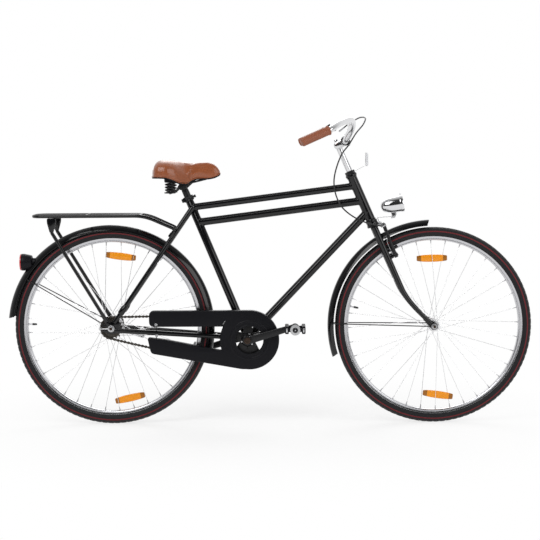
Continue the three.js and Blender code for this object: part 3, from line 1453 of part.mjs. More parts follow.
// One brake arm: a bent flat arm on its boss with the shoe that faces the rim
function brakeArm(name, side) {
  const pivot = brakePivot.clone().setY(side * brakePivotSpread);
  const top = armTop(side);
  const bow = pivot.clone().lerp(top, 1 / 2).setY(side * (brakePivotSpread + brakeArmBow));
  const pad = brakePad.clone().setY(side * (brakePadFace + brakePadThickness / 2));
  const alongPivot = (half, radius) => rod(pivot.clone().setX(pivot.x - half), pivot.clone().setX(pivot.x + half),
    radius, radius, wireSides);
  const post = rod(pad, pad.clone().setY(side * brakePostSpread), brakePostRadius, brakePostRadius, nutSides);
  const toWheel = axleInSteering.clone().sub(pad).setY(0).normalize();
  const shoe = solidFrom(new THREE.BoxGeometry(brakePadLength, brakePadThickness, brakePadHeight)
    .rotateY(Math.atan2(toWheel.x, -toWheel.z))
    .translate(pad.x, pad.y, pad.z));
  const eye = top.clone().add(point(0, 0, -cableHoleDrop));
  const hole = rod(eye.clone().setY(eye.y - cableNoodleReach), eye.clone().setY(eye.y + cableNoodleReach),
    cableHoleRadius, cableHoleRadius, wireSides);
  const arm = sweptTube([pivot, bow, top], brakeArmRadius, brakeArmSides);
  const whole = joined(arm, alongPivot(brakeBossHalf, brakeBossRadius), post, shoe);
  const bore = alongPivot(2 * brakeBossHalf, boreFor(pivotRadius, seatGap, wireSides));
  return piece(name, cut(whole, bore, hole), chrome);
}

// Bullet headlamp: a revolved shell with a rim, its lens, and the strap that holds it to the crown
function headlamp() {
  const place = (solid) => solid.rotate([0, lampTilt, 0]).translate([lampRear[0], 0, lampRear[1]]);
  const alongX = (profile) => place(turned(profile, lampSides).rotate([0, 0, -90]));
  const sized = (shares, gap = 0) => shares.map(([across, along]) => [
    across * lampRadius + gap, along * lampLength]);
  const rimRear = lampLength - lampRimDepth;
  const shell = alongX(closed([
    [0, 0], ...sized(lampShellShares), [lampRimRadius, rimRear], [lampRimRadius, lampLength],
    [lampRadius - lampWall, lampLength], ...sized(lampHollowShares), [0, lampLength / 2],
  ]));
  const seat = lampRadius - lampWall - seatGap;
  const lens = alongX(closed([
    [0, lampLength - lampLensSeat], [seat - lampLensStep, lampLength - lampLensSeat],
    [seat, lampLength + lampLensStep], [2 * seat / 3, lampLength + lampLensDepth - 2 * lampLensStep],
    [0, lampLength + lampLensDepth],
  ]));
  const knobAt = (rise) => point(lampLength - lampRimDepth / 2, 0, rise);
  const knob = place(rod(knobAt(seat), knobAt(lampRadius + lampKnobRise), lampKnobRadius, lampKnobRadius,
    wireSides));
  const clampAt = point(lampLength / 2, 0, -lampRadius);
  const below = clampAt.clone().applyAxisAngle(point(0, 1, 0), radians(lampTilt))
    .add(point(lampRear[0], 0, lampRear[1]));
  const strapLine = [
    point(strapAhead, 0, -crownDrop - strapBelowCrown), point(strapAhead, 0, strapAboveCrown - crownDrop),
    point(below.x - strapElbow, 0, below.z - strapElbow), below,
  ];
  const bolt = rod(point(0, 0, -crownDrop), point(strapAhead + 2 * strapThickness, 0, -crownDrop),
    crownBoltRadius, crownBoltRadius, nutSides);
  const strap = joined(strapLine.slice(1).map((end, i) => slab(
    linkOutline(strapLine[i], end, strapThickness, strapThickness - strapTaper, 2), strapWidth)));
  const clamp = place(disc(clampAt, lampClampRadius, lampClampLength, tubeSides));
  const shellSpace = alongX(closed([
    [0, -seatGap], ...sized(lampShellShares, seatGap), [lampRimRadius + seatGap, rimRear - seatGap],
    [lampRimRadius + seatGap, lampLength], [0, lampLength],
  ]));
  const crownSpace = rod(point(0, -bladeSpread, -crownDrop), point(0, bladeSpread, -crownDrop), fitFor(crownRadius));
  const raceSpace = rod(point(0, 0, -crownDrop), point(0, 0, -cupLength - seatGap), fitFor(crownRaceRadius));
  return [
    piece("headlamp_shell", joined(shell, knob), chrome),
    piece("headlamp_lens", lens, clearLens),
    piece("headlamp_bracket", cut(joined(strap, clamp, bolt), shellSpace, crownSpace, raceSpace), aluminium),
  ];
}

// Headset lock nut with the bracket of the front reflector, and the reflector on it
function frontReflector() {
  const low = headTubeLength + cupLength + seatGap;
  const nut = rod(point(0, 0, low), point(0, 0, low + lockNutLength), lockNutRadius);
  const foot = point(reflectorPlateReach, 0, low + reflectorFootRise);
  const arm = slab(linkOutline(point(lockNutRadius - reflectorFootInset, 0, low + reflectorArmRise), foot,
    reflectorArmRadius, reflectorArmRadius - reflectorArmTaper, 2), reflectorArmWidth);
  const tilt = radians(90 - headAngle);
  const upright = point(Math.sin(tilt), 0, Math.cos(tilt));
  const middle = foot.clone().addScaledVector(upright, reflectorPlateHeight / 2 - reflectorFootInset)
    .add(point(reflectorPlateThickness / 2 + reflectorPlateGap, 0, 0));
  const plateOf = (gap) => solidFrom(new THREE.BoxGeometry(reflectorPlateThickness + 2 * gap, reflectorPlateWidth,
    reflectorPlateHeight + 2 * gap).rotateY(tilt).translate(middle.x, middle.y, middle.z));
  const quillBore = rod(point(0, 0, low - cutOverrun), point(0, 0, low + 2 * lockNutLength), fitFor(quillRadius));
  return [piece("front_reflector_bracket", cut(joined(nut, arm), quillBore, plateOf(seatGap)), blackSteel),
    piece("front_reflector", plateOf(0), clearLens)];
}

function frontAxleSet() {
  const stayMiddle = bladeEndSpread + forkDropoutThickness / 2 + seatGap + wireEyeThickness / 2;
  const nutInner = stayMiddle + wireEyeThickness / 2 + seatGap;
  const at = (y) => axleInSteering.clone().setY(y);
  const bar = (from, to, radius, sides) => rod(at(from), at(to), radius, radius, sides);
  const nuts = Object.values(sidesOfBike).flatMap((side) => [
    bar(side * nutInner, side * (nutInner + frontWasherThickness), frontWasherRadius, tubeSides),
    bar(side * nutInner, side * (nutInner + axleNutHeight), frontNutRadius, nutSides),
  ]);
  const reach = nutInner + axleNutHeight + frontThreadShown;
  return piece("front_axle", joined(nuts, bar(-reach, reach, frontAxleRadius, hubSides)), aluminium);
}

// The steering parts, in a group that stands at the head tube's lower end and leans with it
function steering() {
  const group = groupOf(
    fork(), stem(), handlebar(), grip("right_grip", -1), grip("left_grip", 1), leverBracket(), brakeLever(),
    brakeArm("brake_arm_right", -1), brakeArm("brake_arm_left", 1), headlamp(), frontReflector(), frontAxleSet(),
  );
  group.position.copy(headBottom);
  group.rotation.y = radians(headAngle - 90);
  return group;
}

// The brake cable: its housing, the noodle and the bare end that crosses from arm to arm
function brakeCable() {
  const eyeOf = (side) => {
    const top = armTop(side);
    return headBottom.clone().addScaledVector(headForward, top.x)
      .addScaledVector(headUp, top.z - cableHoleDrop).setY(top.y);
  };
  const outside = eyeOf(sidesOfBike.right).add(point(0, -cableNoodleReach, 0));
  const route = [...cableRoute.map(([x, y, z]) => point(x, y, z)), outside];
  const curve = new THREE.CatmullRomCurve3(route, false, "centripetal");
  const housing = sweptTube(curve.getPoints(cableSteps), cableRadius, thinWireSides);
  const inner = rod(outside, eyeOf(sidesOfBike.left).add(point(0, -cableEndReach, 0)), innerCableRadius,
    innerCableRadius, nutSides);
  return piece("brake_cable", joined(housing, inner), rubber);
}

// The seat's parts, modelled on the middle of the clamp at the post's top and moved to their place
function seatPost() {
  const post = rod(seatUp.clone().multiplyScalar(-postInsertion), point(0, 0, 0), seatPostRadius);
  const reach = railSpread + railClampOverhang;
  const clamp = rod(point(0, -reach, 0), point(0, reach, 0), railClampRadius);
  return piece("seat_post", joined(post, cut(clamp, railSpaces())), blackSteel);
}

const railLine = (side) => [
  point(-springBehind, side * springSpread, -springDrop - railFootDrop),
  point(-springBehind / 2, side * railMiddleSpread, railMiddleRise - springDrop),
  point(-railFootDrop, side * railClampSpread, railClampRise),
  point(railAhead, side * railSpread, railAheadRise),
  point(railNoseShare * saddleLength - saddleBehindClamp, side * railNoseSpread, railNoseRise),
];
const railWires = (radius) => Object.values(sidesOfBike).map((side) => sweptTube(
  roundedLine(railLine(side), railBendReach, 1), radius, thinWireSides));
const railSpaces = () => railWires(fitFor(railRadius, seatGap, thinWireSides));

// Saddle rails: two wires joined at the nose and by a bar that carries the feet of the springs
function saddleRails() {
  const nose = railLine(1).at(-1);
  const foot = railLine(1)[0];
  const bar = (place) => rod(place.clone().setY(-place.y), place, railRadius, railRadius, thinWireSides);
  const feet = Object.values(sidesOfBike).map((side) => rod(foot.clone().setY(side * springSpread),
    point(-springBehind, side * springSpread, -springDrop - seatGap), springSeatRadius));
  return piece("saddle_rails", joined(railWires(railRadius), bar(nose), bar(foot), feet), blackSteel);
}

// The saddle's outline: places along its length, as shares, with the half width, top, skirt and crown there
const saddleShares = [
  { along: 0, width: 0.62, top: 0.45, skirt: 0 }, { along: 0.035, width: 0.84, top: 0.78, skirt: 0 },
  { along: 0.1, width: 0.97, top: 0.95, skirt: 0 }, { along: 0.2, width: 1, top: 1, skirt: -0.02 },
  { along: 0.32, width: 0.88, top: 0.94, skirt: -0.18 }, { along: 0.42, width: 0.66, top: 0.85, skirt: -0.38 },
  { along: 0.5, width: 0.46, top: 0.8, skirt: -0.42 }, { along: 0.58, width: 0.34, top: 0.8, skirt: -0.22 },
  { along: 0.68, width: 0.28, top: 0.84, skirt: -0.1 }, { along: 0.8, width: 0.25, top: 0.86, skirt: -0.1 },
  { along: 0.9, width: 0.22, top: 0.76, skirt: -0.04 }, { along: 0.97, width: 0.16, top: 0.52, skirt: 0.08 },
  { along: 1, width: 0.08, top: 0.32, skirt: 0.17 },
];
// The hollow under it: shares of the length, the half width and the height above the skirt
const hollowShares = [
  { along: 0.306, width: 0.34, roof: -0.155 }, { along: 0.512, width: 0.34, roof: -0.155 },
  { along: 0.566, width: 0.29, roof: -0.175 }, { along: 0.678, width: 0.215, roof: -0.138 },
  { along: 0.806, width: 0.17, roof: -0.052 },
];
// The section's right half: shares of the half width and of the height from the skirt to the top
const sectionShares = [
  [1, 0], [1, 0.35], [0.93, 0.66], [0.72, 0.88], [0.4, 0.985], [0, 1],
];

// The saddle's skin through sections along its length, drawn in by an inset
function saddleSkin(inset, section) {
  return skin(saddleShares.map(({ along, width, top, skirt }) => {
    const x = inset - saddleBehindClamp + along * (saddleLength - 2 * inset);
    const half = Math.max(width * saddleHalfWidth - inset, saddleLeastHalf);
    return section(x, half, saddleSkirt + skirt * saddleHeight, saddleSkirt + top * saddleHeight);
  }));
}

const saddleForm = () => saddleSkin(0, (x, half, low, high) => {
  const right = sectionShares.map(([across, up]) => point(x, -across * half, low + up * (high - low)));
  const left = sectionShares.slice(0, -1).reverse().map(([across, up]) => point(
    x, across * half, low + up * (high - low)));
  return [...right, ...left];
});

// The hollow under the saddle for its rails and clamp
const saddleHollow = () => skin(hollowShares.map(({ along, width, roof }) => {
  const x = along * saddleLength - saddleBehindClamp;
  const half = width * saddleHalfWidth;
  const top = saddleSkirt + roof * saddleHeight;
  return [point(x, -half, -springDrop), point(x, half, -springDrop), point(x, half, top), point(x, -half, top)];
}));

function saddleCover() {
  return piece("saddle_cover", cut(saddleForm(), saddleHollow()), tan);
}

// The moulded base below the cover: it follows the skirt and carries the seats of the springs
function saddleBase() {
  const band = saddleSkin(saddleBaseInset, (x, half, low) => [
    point(x, -half, low), point(x, -half + saddleBaseInset, low - saddleBaseThickness),
    point(x, half - saddleBaseInset, low - saddleBaseThickness), point(x, half, low),
  ]);
  const seats = Object.values(sidesOfBike).map((side) => rod(
    point(-springBehind, side * springSpread, springTop + seatGap),
    point(-springBehind, side * springSpread, saddleSkirt), springSeatRadius, springSeatRadius, tubeSides));
  const cover = saddleForm().translate([0, 0, -seatGap]);
  return piece("saddle_base", cut(joined(band, seats), cover, saddleHollow(), railSpaces()), satinPlastic);
}

// A coil spring: one unbroken tube that climbs its curls between the rail's foot and the saddle's base
function saddleSpring(name, side) {
  const low = springWireRadius - springDrop;
  const high = springTop - springWireRadius;
  const steps = springCurls * springStepsPerCurl;
  const line = Array.from({ length: steps + 1 }, (_, i) => {
    const angle = (2 * Math.PI * i) / springStepsPerCurl;
    return point(springRadius * Math.cos(angle) - springBehind,
      side * (springSpread + springRadius * Math.sin(angle)), low + ((high - low) * i) / steps);
  });
  console.log(name + " least gap between its curls: " + leastGap(line).toFixed(2) + " mm");
  return piece(name, sweptTube(line, springWireRadius, springSides), blackSteel);
}

// The least gap of a coil to itself, measured between places at least half a curl apart
function leastGap(line) {
  const between = (a, i) => line.slice(i + springStepsPerCurl / 2).map((b) => a.distanceTo(b));
  return Math.min(...line.flatMap(between)) - 2 * springWireRadius;
}

// The seat's parts in a group at the clamp on the post's top
function seat() {
  const group = groupOf(
    seatPost(), saddleRails(), saddleBase(), saddleCover(), saddleSpring("saddle_spring_right", -1),
    saddleSpring("saddle_spring_left", 1),
  );
  group.position.copy(upSeat(seatTubeLength + postExposure));
  return group;
}

const bike = new THREE.Group();
bike.add(
  headTube(),
  mitredTube("upper_top_tube", upSeat(seatTubeLength - upperTopTubeBelowSeat),
    belowHead(upperTopTubeBelowHead), upperTopTubeRadius),
  mitredTube("lower_top_tube", upSeat(seatTubeLength - lowerTopTubeBelowSeat),
    belowHead(lowerTopTubeBelowHead), mainTubeRadius),
  mitredTube("down_tube", bottomBracket, belowHead(downTubeBelowHead), mainTubeRadius),
  seatTube(),
  rearTriangle(),
  chainguard(),
  fender("rear_fender", rearFenderCentre, rearFenderRadius, rearFenderAngles),
  fenderStay("rear_fender_stay", rearAxle, rearFenderCentre, rearFenderRadius, rearWireAngle,
    staySpread + dropoutThickness / 2 + seatGap + wireEyeThickness / 2, rearAxleRadius, dropoutTail + wireBendReach),
  rearRack(),
  rackStrut("rack_strut_right", -1),
  rackStrut("rack_strut_left", 1),
  ...tailReflector(),
  seatClamp(),
  rearAxleSet(),
  coasterArm(),
  chain(),
  crankAxle(),
  chainring(),
  crank("right_crank", -1),
  crank("left_crank", 1),
  pedal("right_pedal", -1),
  pedal("left_pedal", 1),
  sprocket(),
  rearWheel(),
  frontWheel(),
  fender("front_fender", frontAxle, frontFenderRadius, frontFenderAngles),
  fenderStay("front_fender_stay", frontAxle, frontAxle, frontFenderRadius, frontWireAngle,
    bladeEndSpread + forkDropoutThickness / 2 + seatGap + wireEyeThickness / 2, frontAxleRadius,
    forkDropoutRadius + wireBendReach),
  steering(),
  brakeCable(),
  seat(),
);

// The part's own frame: its origin on the ground, halfway between the bike's foremost and rearmost places
const extent = new THREE.Box3().setFromObject(bike);
bike.position.x = -(extent.min.x + extent.max.x) / 2;

const part = new THREE.Group();
part.name = "city_bike";
part.add(bike);

export default part;
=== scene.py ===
# %% [markdown]
# A Dutch city bike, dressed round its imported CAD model.
# The CAD model has flat-sided tubes and wheels, so that its files stay small. Here the same tubes, wheels
# and castings are worked out again as smooth surfaces, in the same places, and each gets its real finish.
# Shapes are worked out in millimetres, as on a workshop drawing, and scaled to metres when they become a
# mesh. X points forwards, Z up, and the chain is on the side of negative Y.

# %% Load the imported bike
import math

import bmesh
import bpy
import mathutils
import numpy as np
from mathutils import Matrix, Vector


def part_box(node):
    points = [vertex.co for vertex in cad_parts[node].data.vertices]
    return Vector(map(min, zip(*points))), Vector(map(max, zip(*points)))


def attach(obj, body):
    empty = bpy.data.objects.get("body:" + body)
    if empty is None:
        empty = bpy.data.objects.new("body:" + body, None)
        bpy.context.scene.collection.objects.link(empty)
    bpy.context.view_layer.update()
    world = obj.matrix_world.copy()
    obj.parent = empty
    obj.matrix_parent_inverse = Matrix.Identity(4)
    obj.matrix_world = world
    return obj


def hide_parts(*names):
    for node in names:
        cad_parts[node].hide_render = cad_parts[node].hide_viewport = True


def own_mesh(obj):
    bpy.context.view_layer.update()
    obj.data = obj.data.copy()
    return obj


MM = 0.001
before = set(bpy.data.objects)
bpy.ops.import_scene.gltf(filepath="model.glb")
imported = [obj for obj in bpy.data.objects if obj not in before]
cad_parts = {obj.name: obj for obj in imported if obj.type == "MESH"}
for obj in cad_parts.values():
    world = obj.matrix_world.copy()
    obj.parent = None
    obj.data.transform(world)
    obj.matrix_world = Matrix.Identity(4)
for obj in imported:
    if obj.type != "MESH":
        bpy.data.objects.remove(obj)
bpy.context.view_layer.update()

# %% [markdown]
# Every place on a bicycle follows from its axles, so the wheels' own boxes give the origin here.
# The steering turns about the head tube's leaning line. Its parts are given in directions of their own, one
# of which runs up the head tube.

# %% Places and directions
def unit(vectors):
    """Vectors scaled to length one."""
    vectors = np.asarray(vectors, float)
    return vectors / np.linalg.norm(vectors, axis=-1, keepdims=True)


def middle_of(node):
    low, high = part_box(node)
    return (np.array(low) + np.array(high)) / 2 / MM


REAR_AXLE = middle_of("rear_tyre")
FRONT_AXLE = middle_of("front_tyre")
TYRE_RADIUS = REAR_AXLE[2]
SEAT_ANGLE = math.radians(67.5)
HEAD_ANGLE = math.radians(66.4)
HEAD_TUBE_LENGTH = 168
X_AXIS, Y_AXIS, Z_AXIS = np.eye(3)
SIDES = (("right", -1), ("left", 1))


def xyz(x, y, z):
    """Places or directions from three coordinates, each one number or an array."""
    return np.stack(np.broadcast_arrays(x, y, z), -1).astype(float)


def at(ahead, across, up):
    """A place from its distance ahead of the rear axle, across to the left, and above the ground."""
    return xyz(ahead + REAR_AXLE[0], across, up)


def upright(angle):
    """The direction at an angle above straight ahead, in the plane of the wheels."""
    return xyz(np.cos(angle), 0, np.sin(angle))


BOTTOM_BRACKET = at(481, 0, 305)
HEAD_BOTTOM = at(920.3, 0, 723.7)
SEAT_UP = upright(math.pi - SEAT_ANGLE)
HEAD_UP = upright(math.pi - HEAD_ANGLE)
HEAD_FORWARD = upright(math.pi / 2 - HEAD_ANGLE)
HEAD_TOP = HEAD_BOTTOM + HEAD_UP * HEAD_TUBE_LENGTH
print("rear axle", REAR_AXLE.round(1), "front axle", FRONT_AXLE.round(1))

# %% [markdown]
# A surface here is a grid of points: rows along the form, columns round its section. One function joins
# the grid into faces, and one puts any number of such skins into a mesh, closes seams and poles by merging
# points that lie together, and turns the faces outwards.

# %% Grids into meshes
MERGE_DISTANCE = 1e-6
SHARP_ANGLE = math.radians(38)


def shell(grid, wrap_rows=False, wrap_columns=True, caps=True):
    """A grid of points as a skin: each quad joins a point, the next in its row, and the two in the next row.
    Ends that are left open are closed by one face each."""
    rows, columns = grid.shape[:2]
    row = np.arange(rows if wrap_rows else rows - 1)[:, None]
    column = np.arange(columns if wrap_columns else columns - 1)[None, :]
    next_row, next_column = (row + 1) % rows, (column + 1) % columns
    corners = [row * columns + column, row * columns + next_column,
               next_row * columns + next_column, next_row * columns + column]
    quads = np.stack(np.broadcast_arrays(*corners), -1).reshape(-1, 4)
    ends = []
    if caps and not wrap_rows:
        ends = [np.arange(columns)[::-1], np.arange(columns) + (rows - 1) * columns]
    return grid.reshape(-1, 3), quads, ends


def mesh_of(name, shells, values=None):
    """One mesh from skins, with merged doubles and outward faces. Values is one number for each point, kept
    as the attribute "reach" for the material."""
    starts = np.cumsum([0] + [len(points) for points, _, _ in shells])
    loops = [(quads + start).ravel() for (_, quads, _), start in zip(shells, starts)]
    totals = [np.full(len(quads), 4) for _, quads, _ in shells]
    for (_, _, ends), start in zip(shells, starts):
        loops += [end + start for end in ends]
        totals += [[len(end)] for end in ends]
    totals = np.concatenate(totals).astype(np.int32)
    mesh = bpy.data.meshes.new(name)
    mesh.vertices.add(int(starts[-1]))
    places = np.concatenate([points for points, _, _ in shells]) * MM
    mesh.vertices.foreach_set("co", places.astype(np.float32).ravel())
    mesh.loops.add(int(totals.sum()))
    mesh.loops.foreach_set("vertex_index", np.concatenate(loops).astype(np.int32))
    mesh.polygons.add(len(totals))
    mesh.polygons.foreach_set("loop_start", np.concatenate([[0], np.cumsum(totals)[:-1]]).astype(np.int32))
    if values is not None:
        mesh.attributes.new("reach", "FLOAT", "POINT").data.foreach_set("value", values.astype(np.float32))
    mesh.update(calc_edges=True)
    tidy(mesh)
    return mesh


def tidy(mesh):
    """Doubles merged, faces turned outwards and shaded smooth between sharp edges."""
    edit = bmesh.new()
    edit.from_mesh(mesh)
    bmesh.ops.remove_doubles(edit, verts=edit.verts, dist=MERGE_DISTANCE)
    bmesh.ops.recalc_face_normals(edit, faces=edit.faces)
    edit.to_mesh(mesh)
    edit.free()
    mesh.polygons.foreach_set("use_smooth", np.ones(len(mesh.polygons), bool))
    mesh.set_sharp_from_angle(angle=SHARP_ANGLE)


def piece(name, shells, look, body, slot=None, replaces=(), values=None):
    """A named object from skins, with its finish, that rides on a CAD body and stands for CAD nodes. Its slot
    argument, the CAD material that it belongs to and which usually has the finish's name, is not used."""
    made = bpy.data.objects.new(name, mesh_of(name, shells, values))
    bpy.context.scene.collection.objects.link(made)
    made.data.materials.append(FINISHES[look])
    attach(made, body)
    slot = slot or look
    if replaces:
        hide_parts(*replaces)
    print(name, len(made.data.polygons), "faces")
    return made


def dressed(solid, ending, shells, look, body, slot=None, values=None):
    """A piece that stands for one CAD node and is named after it."""
    return piece(solid + "_" + ending, shells, look, body, slot, [solid], values)


# %% [markdown]
# Three families of form make nearly the whole bike. A tube is a circle carried along a path. A turned form
# is a profile of radii revolved about a line. A plate is an outline given a thickness, with rounded edges.

# %% Tubes, turned forms and plates
def turn(count, start=0.0):
    """Angles spread evenly round one full turn."""
    return start + np.arange(count) * 2 * np.pi / count


def around(angle):
    """Flat places on the circle of radius one."""
    return np.stack([np.cos(angle), np.sin(angle)], -1)


def mirrored(half):
    """A profile of (radius, distance along) and its mirror image, which follows it back to front."""
    return half + [(radius, -along) for radius, along in half[::-1]]


def boxy(value, power):
    """A cosine or sine raised to a power with its sign kept, which makes a circle into a rounded box."""
    return np.sign(value) * np.abs(value) ** power


def rounded(corners, reach, steps=6, closed=False):
    """A line of points through corners, each replaced by the parabola that touches both its sides:
    (1-t)^2 start + 2t(1-t) corner + t^2 end."""
    corners = np.asarray(corners, float)
    before = np.roll(corners, 1, 0) - corners
    after = np.roll(corners, -1, 0) - corners
    lengths = np.stack([np.linalg.norm(before, axis=1), np.linalg.norm(after, axis=1)])
    room = np.minimum(reach, 0.45 * lengths.min(0))[:, None]
    start, end = corners + unit(before) * room, corners + unit(after) * room
    t = np.linspace(0, 1, steps + 1)[None, :, None]
    bends = (1 - t) ** 2 * start[:, None] + 2 * t * (1 - t) * corners[:, None] + t**2 * end[:, None]
    if closed:
        return bends.reshape(-1, corners.shape[1])
    inner = bends[1:-1].reshape(-1, corners.shape[1])
    return np.concatenate([corners[:1], inner, corners[-1:]])


def tube(path, radius, sides=24, reference=None, closed=False):
    """A circle of points round each place of a path: place + radius (cos a, sin a) in the plane square to
    the path, measured from the axis that the path is never parallel to."""
    path = np.asarray(path, float)
    along = np.roll(path, -1, 0) - np.roll(path, 1, 0) if closed else np.gradient(path, axis=0)
    along = unit(along)
    if reference is None:
        reference = np.eye(3)[np.abs(along).max(0).argmin()]
    first = unit(np.cross(reference, along))
    second = np.cross(along, first)
    radius = np.broadcast_to(radius, len(path))[:, None, None]
    angle = turn(sides)[None, :, None]
    circle = np.cos(angle) * first[:, None] + np.sin(angle) * second[:, None]
    return shell(path[:, None] + radius * circle, wrap_rows=closed)


def turned(profile, origin, direction, sides=48, closed=False):
    """A profile of (radius, distance along) revolved about the line from an origin along a direction."""
    profile = np.asarray(profile, float)
    direction = unit(direction)
    first = unit(np.cross(direction, np.eye(3)[np.abs(direction).argmin()]))
    second = np.cross(direction, first)
    angle = turn(sides)[:, None, None]
    circle = np.cos(angle) * first + np.sin(angle) * second
    grid = origin + profile[None, :, 1:] * direction + profile[None, :, :1] * circle
    return shell(grid, wrap_rows=True, wrap_columns=closed)


def rod(start, end, radius, end_radius=None, sides=32, bevel=0.6):
    """A straight round bar with softened ends, its radius changing evenly along it."""
    end_radius = radius if end_radius is None else end_radius
    length = np.linalg.norm(np.asarray(end) - start)
    profile = [(0, 0), (radius - bevel, 0), (radius, bevel), (end_radius, length - bevel),
               (end_radius - bevel, length), (0, length)]
    return turned(profile, start, np.asarray(end) - start, sides)


def inset(outline, distance):
    """An outline drawn in: each point moves by distance (n1 + n2) / (1 + n1.n2), n1 and n2 being the
    inward normals of its two edges."""
    edges = unit(np.roll(outline, -1, 0) - outline)
    area = np.sum(outline[:, 0] * np.roll(outline[:, 1], -1) - outline[:, 1] * np.roll(outline[:, 0], -1))
    after = np.stack([-edges[:, 1], edges[:, 0]], -1) * np.sign(area)
    before = np.roll(after, 1, 0)
    share = 1 + np.sum(before * after, -1, keepdims=True)
    return outline + distance * (before + after) / np.maximum(share, 0.3)


def edge_rows(thickness, bevel, steps=3):
    """Pairs of inset and height that round both edges of a plate by quarter circles."""
    angle = np.linspace(0, np.pi / 2, steps + 1)
    lower = np.stack([bevel * (1 - np.sin(angle)), -thickness / 2 + bevel * (1 - np.cos(angle))], -1)
    upper = lower[::-1] * [1, -1]
    return np.concatenate([lower, upper])


def plate(outline, origin, right, up, thickness, bevel=0.8):
    """An outline in the plane of right and up, given a thickness about the origin, with rounded edges."""
    outline = np.asarray(outline, float)
    out = np.cross(right, up)
    rows = [inset(outline, drawn)[:, :1] * right + inset(outline, drawn)[:, 1:] * up + height * out
            for drawn, height in edge_rows(thickness, bevel)]
    return shell(origin + np.stack(rows))


def link_outline(start, end, radius, end_radius, steps=10):
    """The outline round two circles in one plane: two arcs joined by the circles' outer tangents."""
    start, end = np.asarray(start, float), np.asarray(end, float)
    direction = math.atan2(*(end - start)[::-1])
    spread = math.acos((radius - end_radius) / np.linalg.norm(end - start))
    near = np.linspace(direction - spread, direction + spread, steps)
    far = np.linspace(direction + spread, direction + 2 * np.pi - spread, 2 * steps)
    return np.concatenate([end + end_radius * around(near), start + radius * around(far)])


def box_outline(width, height, corner, steps=4):
    """A rectangle about the origin with rounded corners."""
    half = np.array([width, height]) / 2
    corners = np.array([(-1, -1), (1, -1), (1, 1), (-1, 1)]) * half
    return rounded(corners, corner, steps, closed=True)


def block(origin, size, corner=2.0, right=X_AXIS, up=Z_AXIS, bevel=0.8):
    """A box with rounded corners and edges: width along right, height along up, and a depth."""
    width, height, depth = size
    return plate(box_outline(width, height, corner), origin, right, up, depth, bevel)


def curve_through(places, steps):
    """A centripetal Catmull-Rom line: between two places it blends the parabolas through their neighbours,
    with knots spaced by the square root of the distances."""
    places = np.asarray(places, float)
    ends = [2 * places[:1] - places[1:2], places, 2 * places[-1:] - places[-2:-1]]
    p = np.concatenate(ends)
    gaps = np.sqrt(np.linalg.norm(np.diff(p, axis=0), axis=1))
    p0, p1, p2, p3 = p[:-3], p[1:-2], p[2:-1], p[3:]
    g0, g1, g2 = gaps[:-2, None], gaps[1:-1, None], gaps[2:, None]
    leave = (p1 - p0) / g0 - (p2 - p0) / (g0 + g1) + (p2 - p1) / g1
    arrive = (p2 - p1) / g1 - (p3 - p1) / (g1 + g2) + (p3 - p2) / g2
    leave, arrive = leave * g1, arrive * g1
    t = np.linspace(0, 1, steps + 1)[:-1][None, :, None]
    p1, p2, leave, arrive = p1[:, None], p2[:, None], leave[:, None], arrive[:, None]
    line = p1 + leave * t + (3 * (p2 - p1) - 2 * leave - arrive) * t**2 \
        + (2 * (p1 - p2) + leave + arrive) * t**3
    return np.concatenate([line.reshape(-1, places.shape[1]), places[-1:]])


def scattered(skin, origins, axes):
    """Copies of one skin: its X, Y and Z are laid along the three axes given for each copy."""
    points, quads, ends = skin
    placed = origins[:, None] + np.einsum("pk,nkd->npd", points, axes)
    shift = np.arange(len(origins))[:, None, None] * len(points)
    caps = [end + copy * len(points) for copy in range(len(origins)) for end in ends]
    return placed.reshape(-1, 3), (quads[None] + shift).reshape(-1, 4), caps


def rods(starts, ends, radius, sides=8, end_radius=None):
    """Many straight round bars at once: one bar of length and radius 1, laid along each pair of places."""
    along = ends - starts
    direction = unit(along)
    first = unit(np.cross(direction, Y_AXIS + 0.01 * X_AXIS))
    second = np.cross(direction, first)
    angle = turn(sides)
    ring = np.stack([0 * angle, np.cos(angle), np.sin(angle)], -1)
    taper = 1.0 if end_radius is None else end_radius / radius
    bar = shell(np.stack([ring, ring * taper + [1, 0, 0]]))
    return scattered(bar, starts, np.stack([along, radius * first, radius * second], 1))


# %% [markdown]
# Paint, plastic and rubber are never one flat colour: dust, handling and the mould leave small changes of
# colour and gloss. Such an effect is a node group, built once and placed in each finish with its own
# numbers. It reads Object coordinates, which stay fixed to the piece when it moves.

# %% Node helpers and the groups that finishes share
def feed(tree, made, inputs):
    """Each named input of a node gets a plain value, or a link from another node's output."""
    for socket, value in dict(inputs).items():
        if isinstance(value, bpy.types.NodeSocket):
            tree.links.new(value, made.inputs[socket])
        else:
            made.inputs[socket].default_value = value
    return made


def node(tree, kind, inputs=(), **settings):
    """A shader node with its properties and its inputs."""
    made = tree.nodes.new("ShaderNode" + kind)
    for key, value in settings.items():
        setattr(made, key, value)
    return feed(tree, made, inputs)


def node_group(name, inputs, outputs):
    """An empty group with named sockets: (tree, its input node, its output node)."""
    tree = bpy.data.node_groups.new(name, "ShaderNodeTree")
    for socket, (kind, value) in inputs.items():
        tree.interface.new_socket(socket, in_out="INPUT",
                                  socket_type="NodeSocket" + kind).default_value = value
    for socket, kind in outputs.items():
        tree.interface.new_socket(socket, in_out="OUTPUT", socket_type="NodeSocket" + kind)
    return tree, tree.nodes.new("NodeGroupInput"), tree.nodes.new("NodeGroupOutput")


def math_node(tree, operation, first, second=0.0, clamp=False):
    return node(tree, "Math", {0: first, 1: second}, operation=operation, use_clamp=clamp).outputs[0]


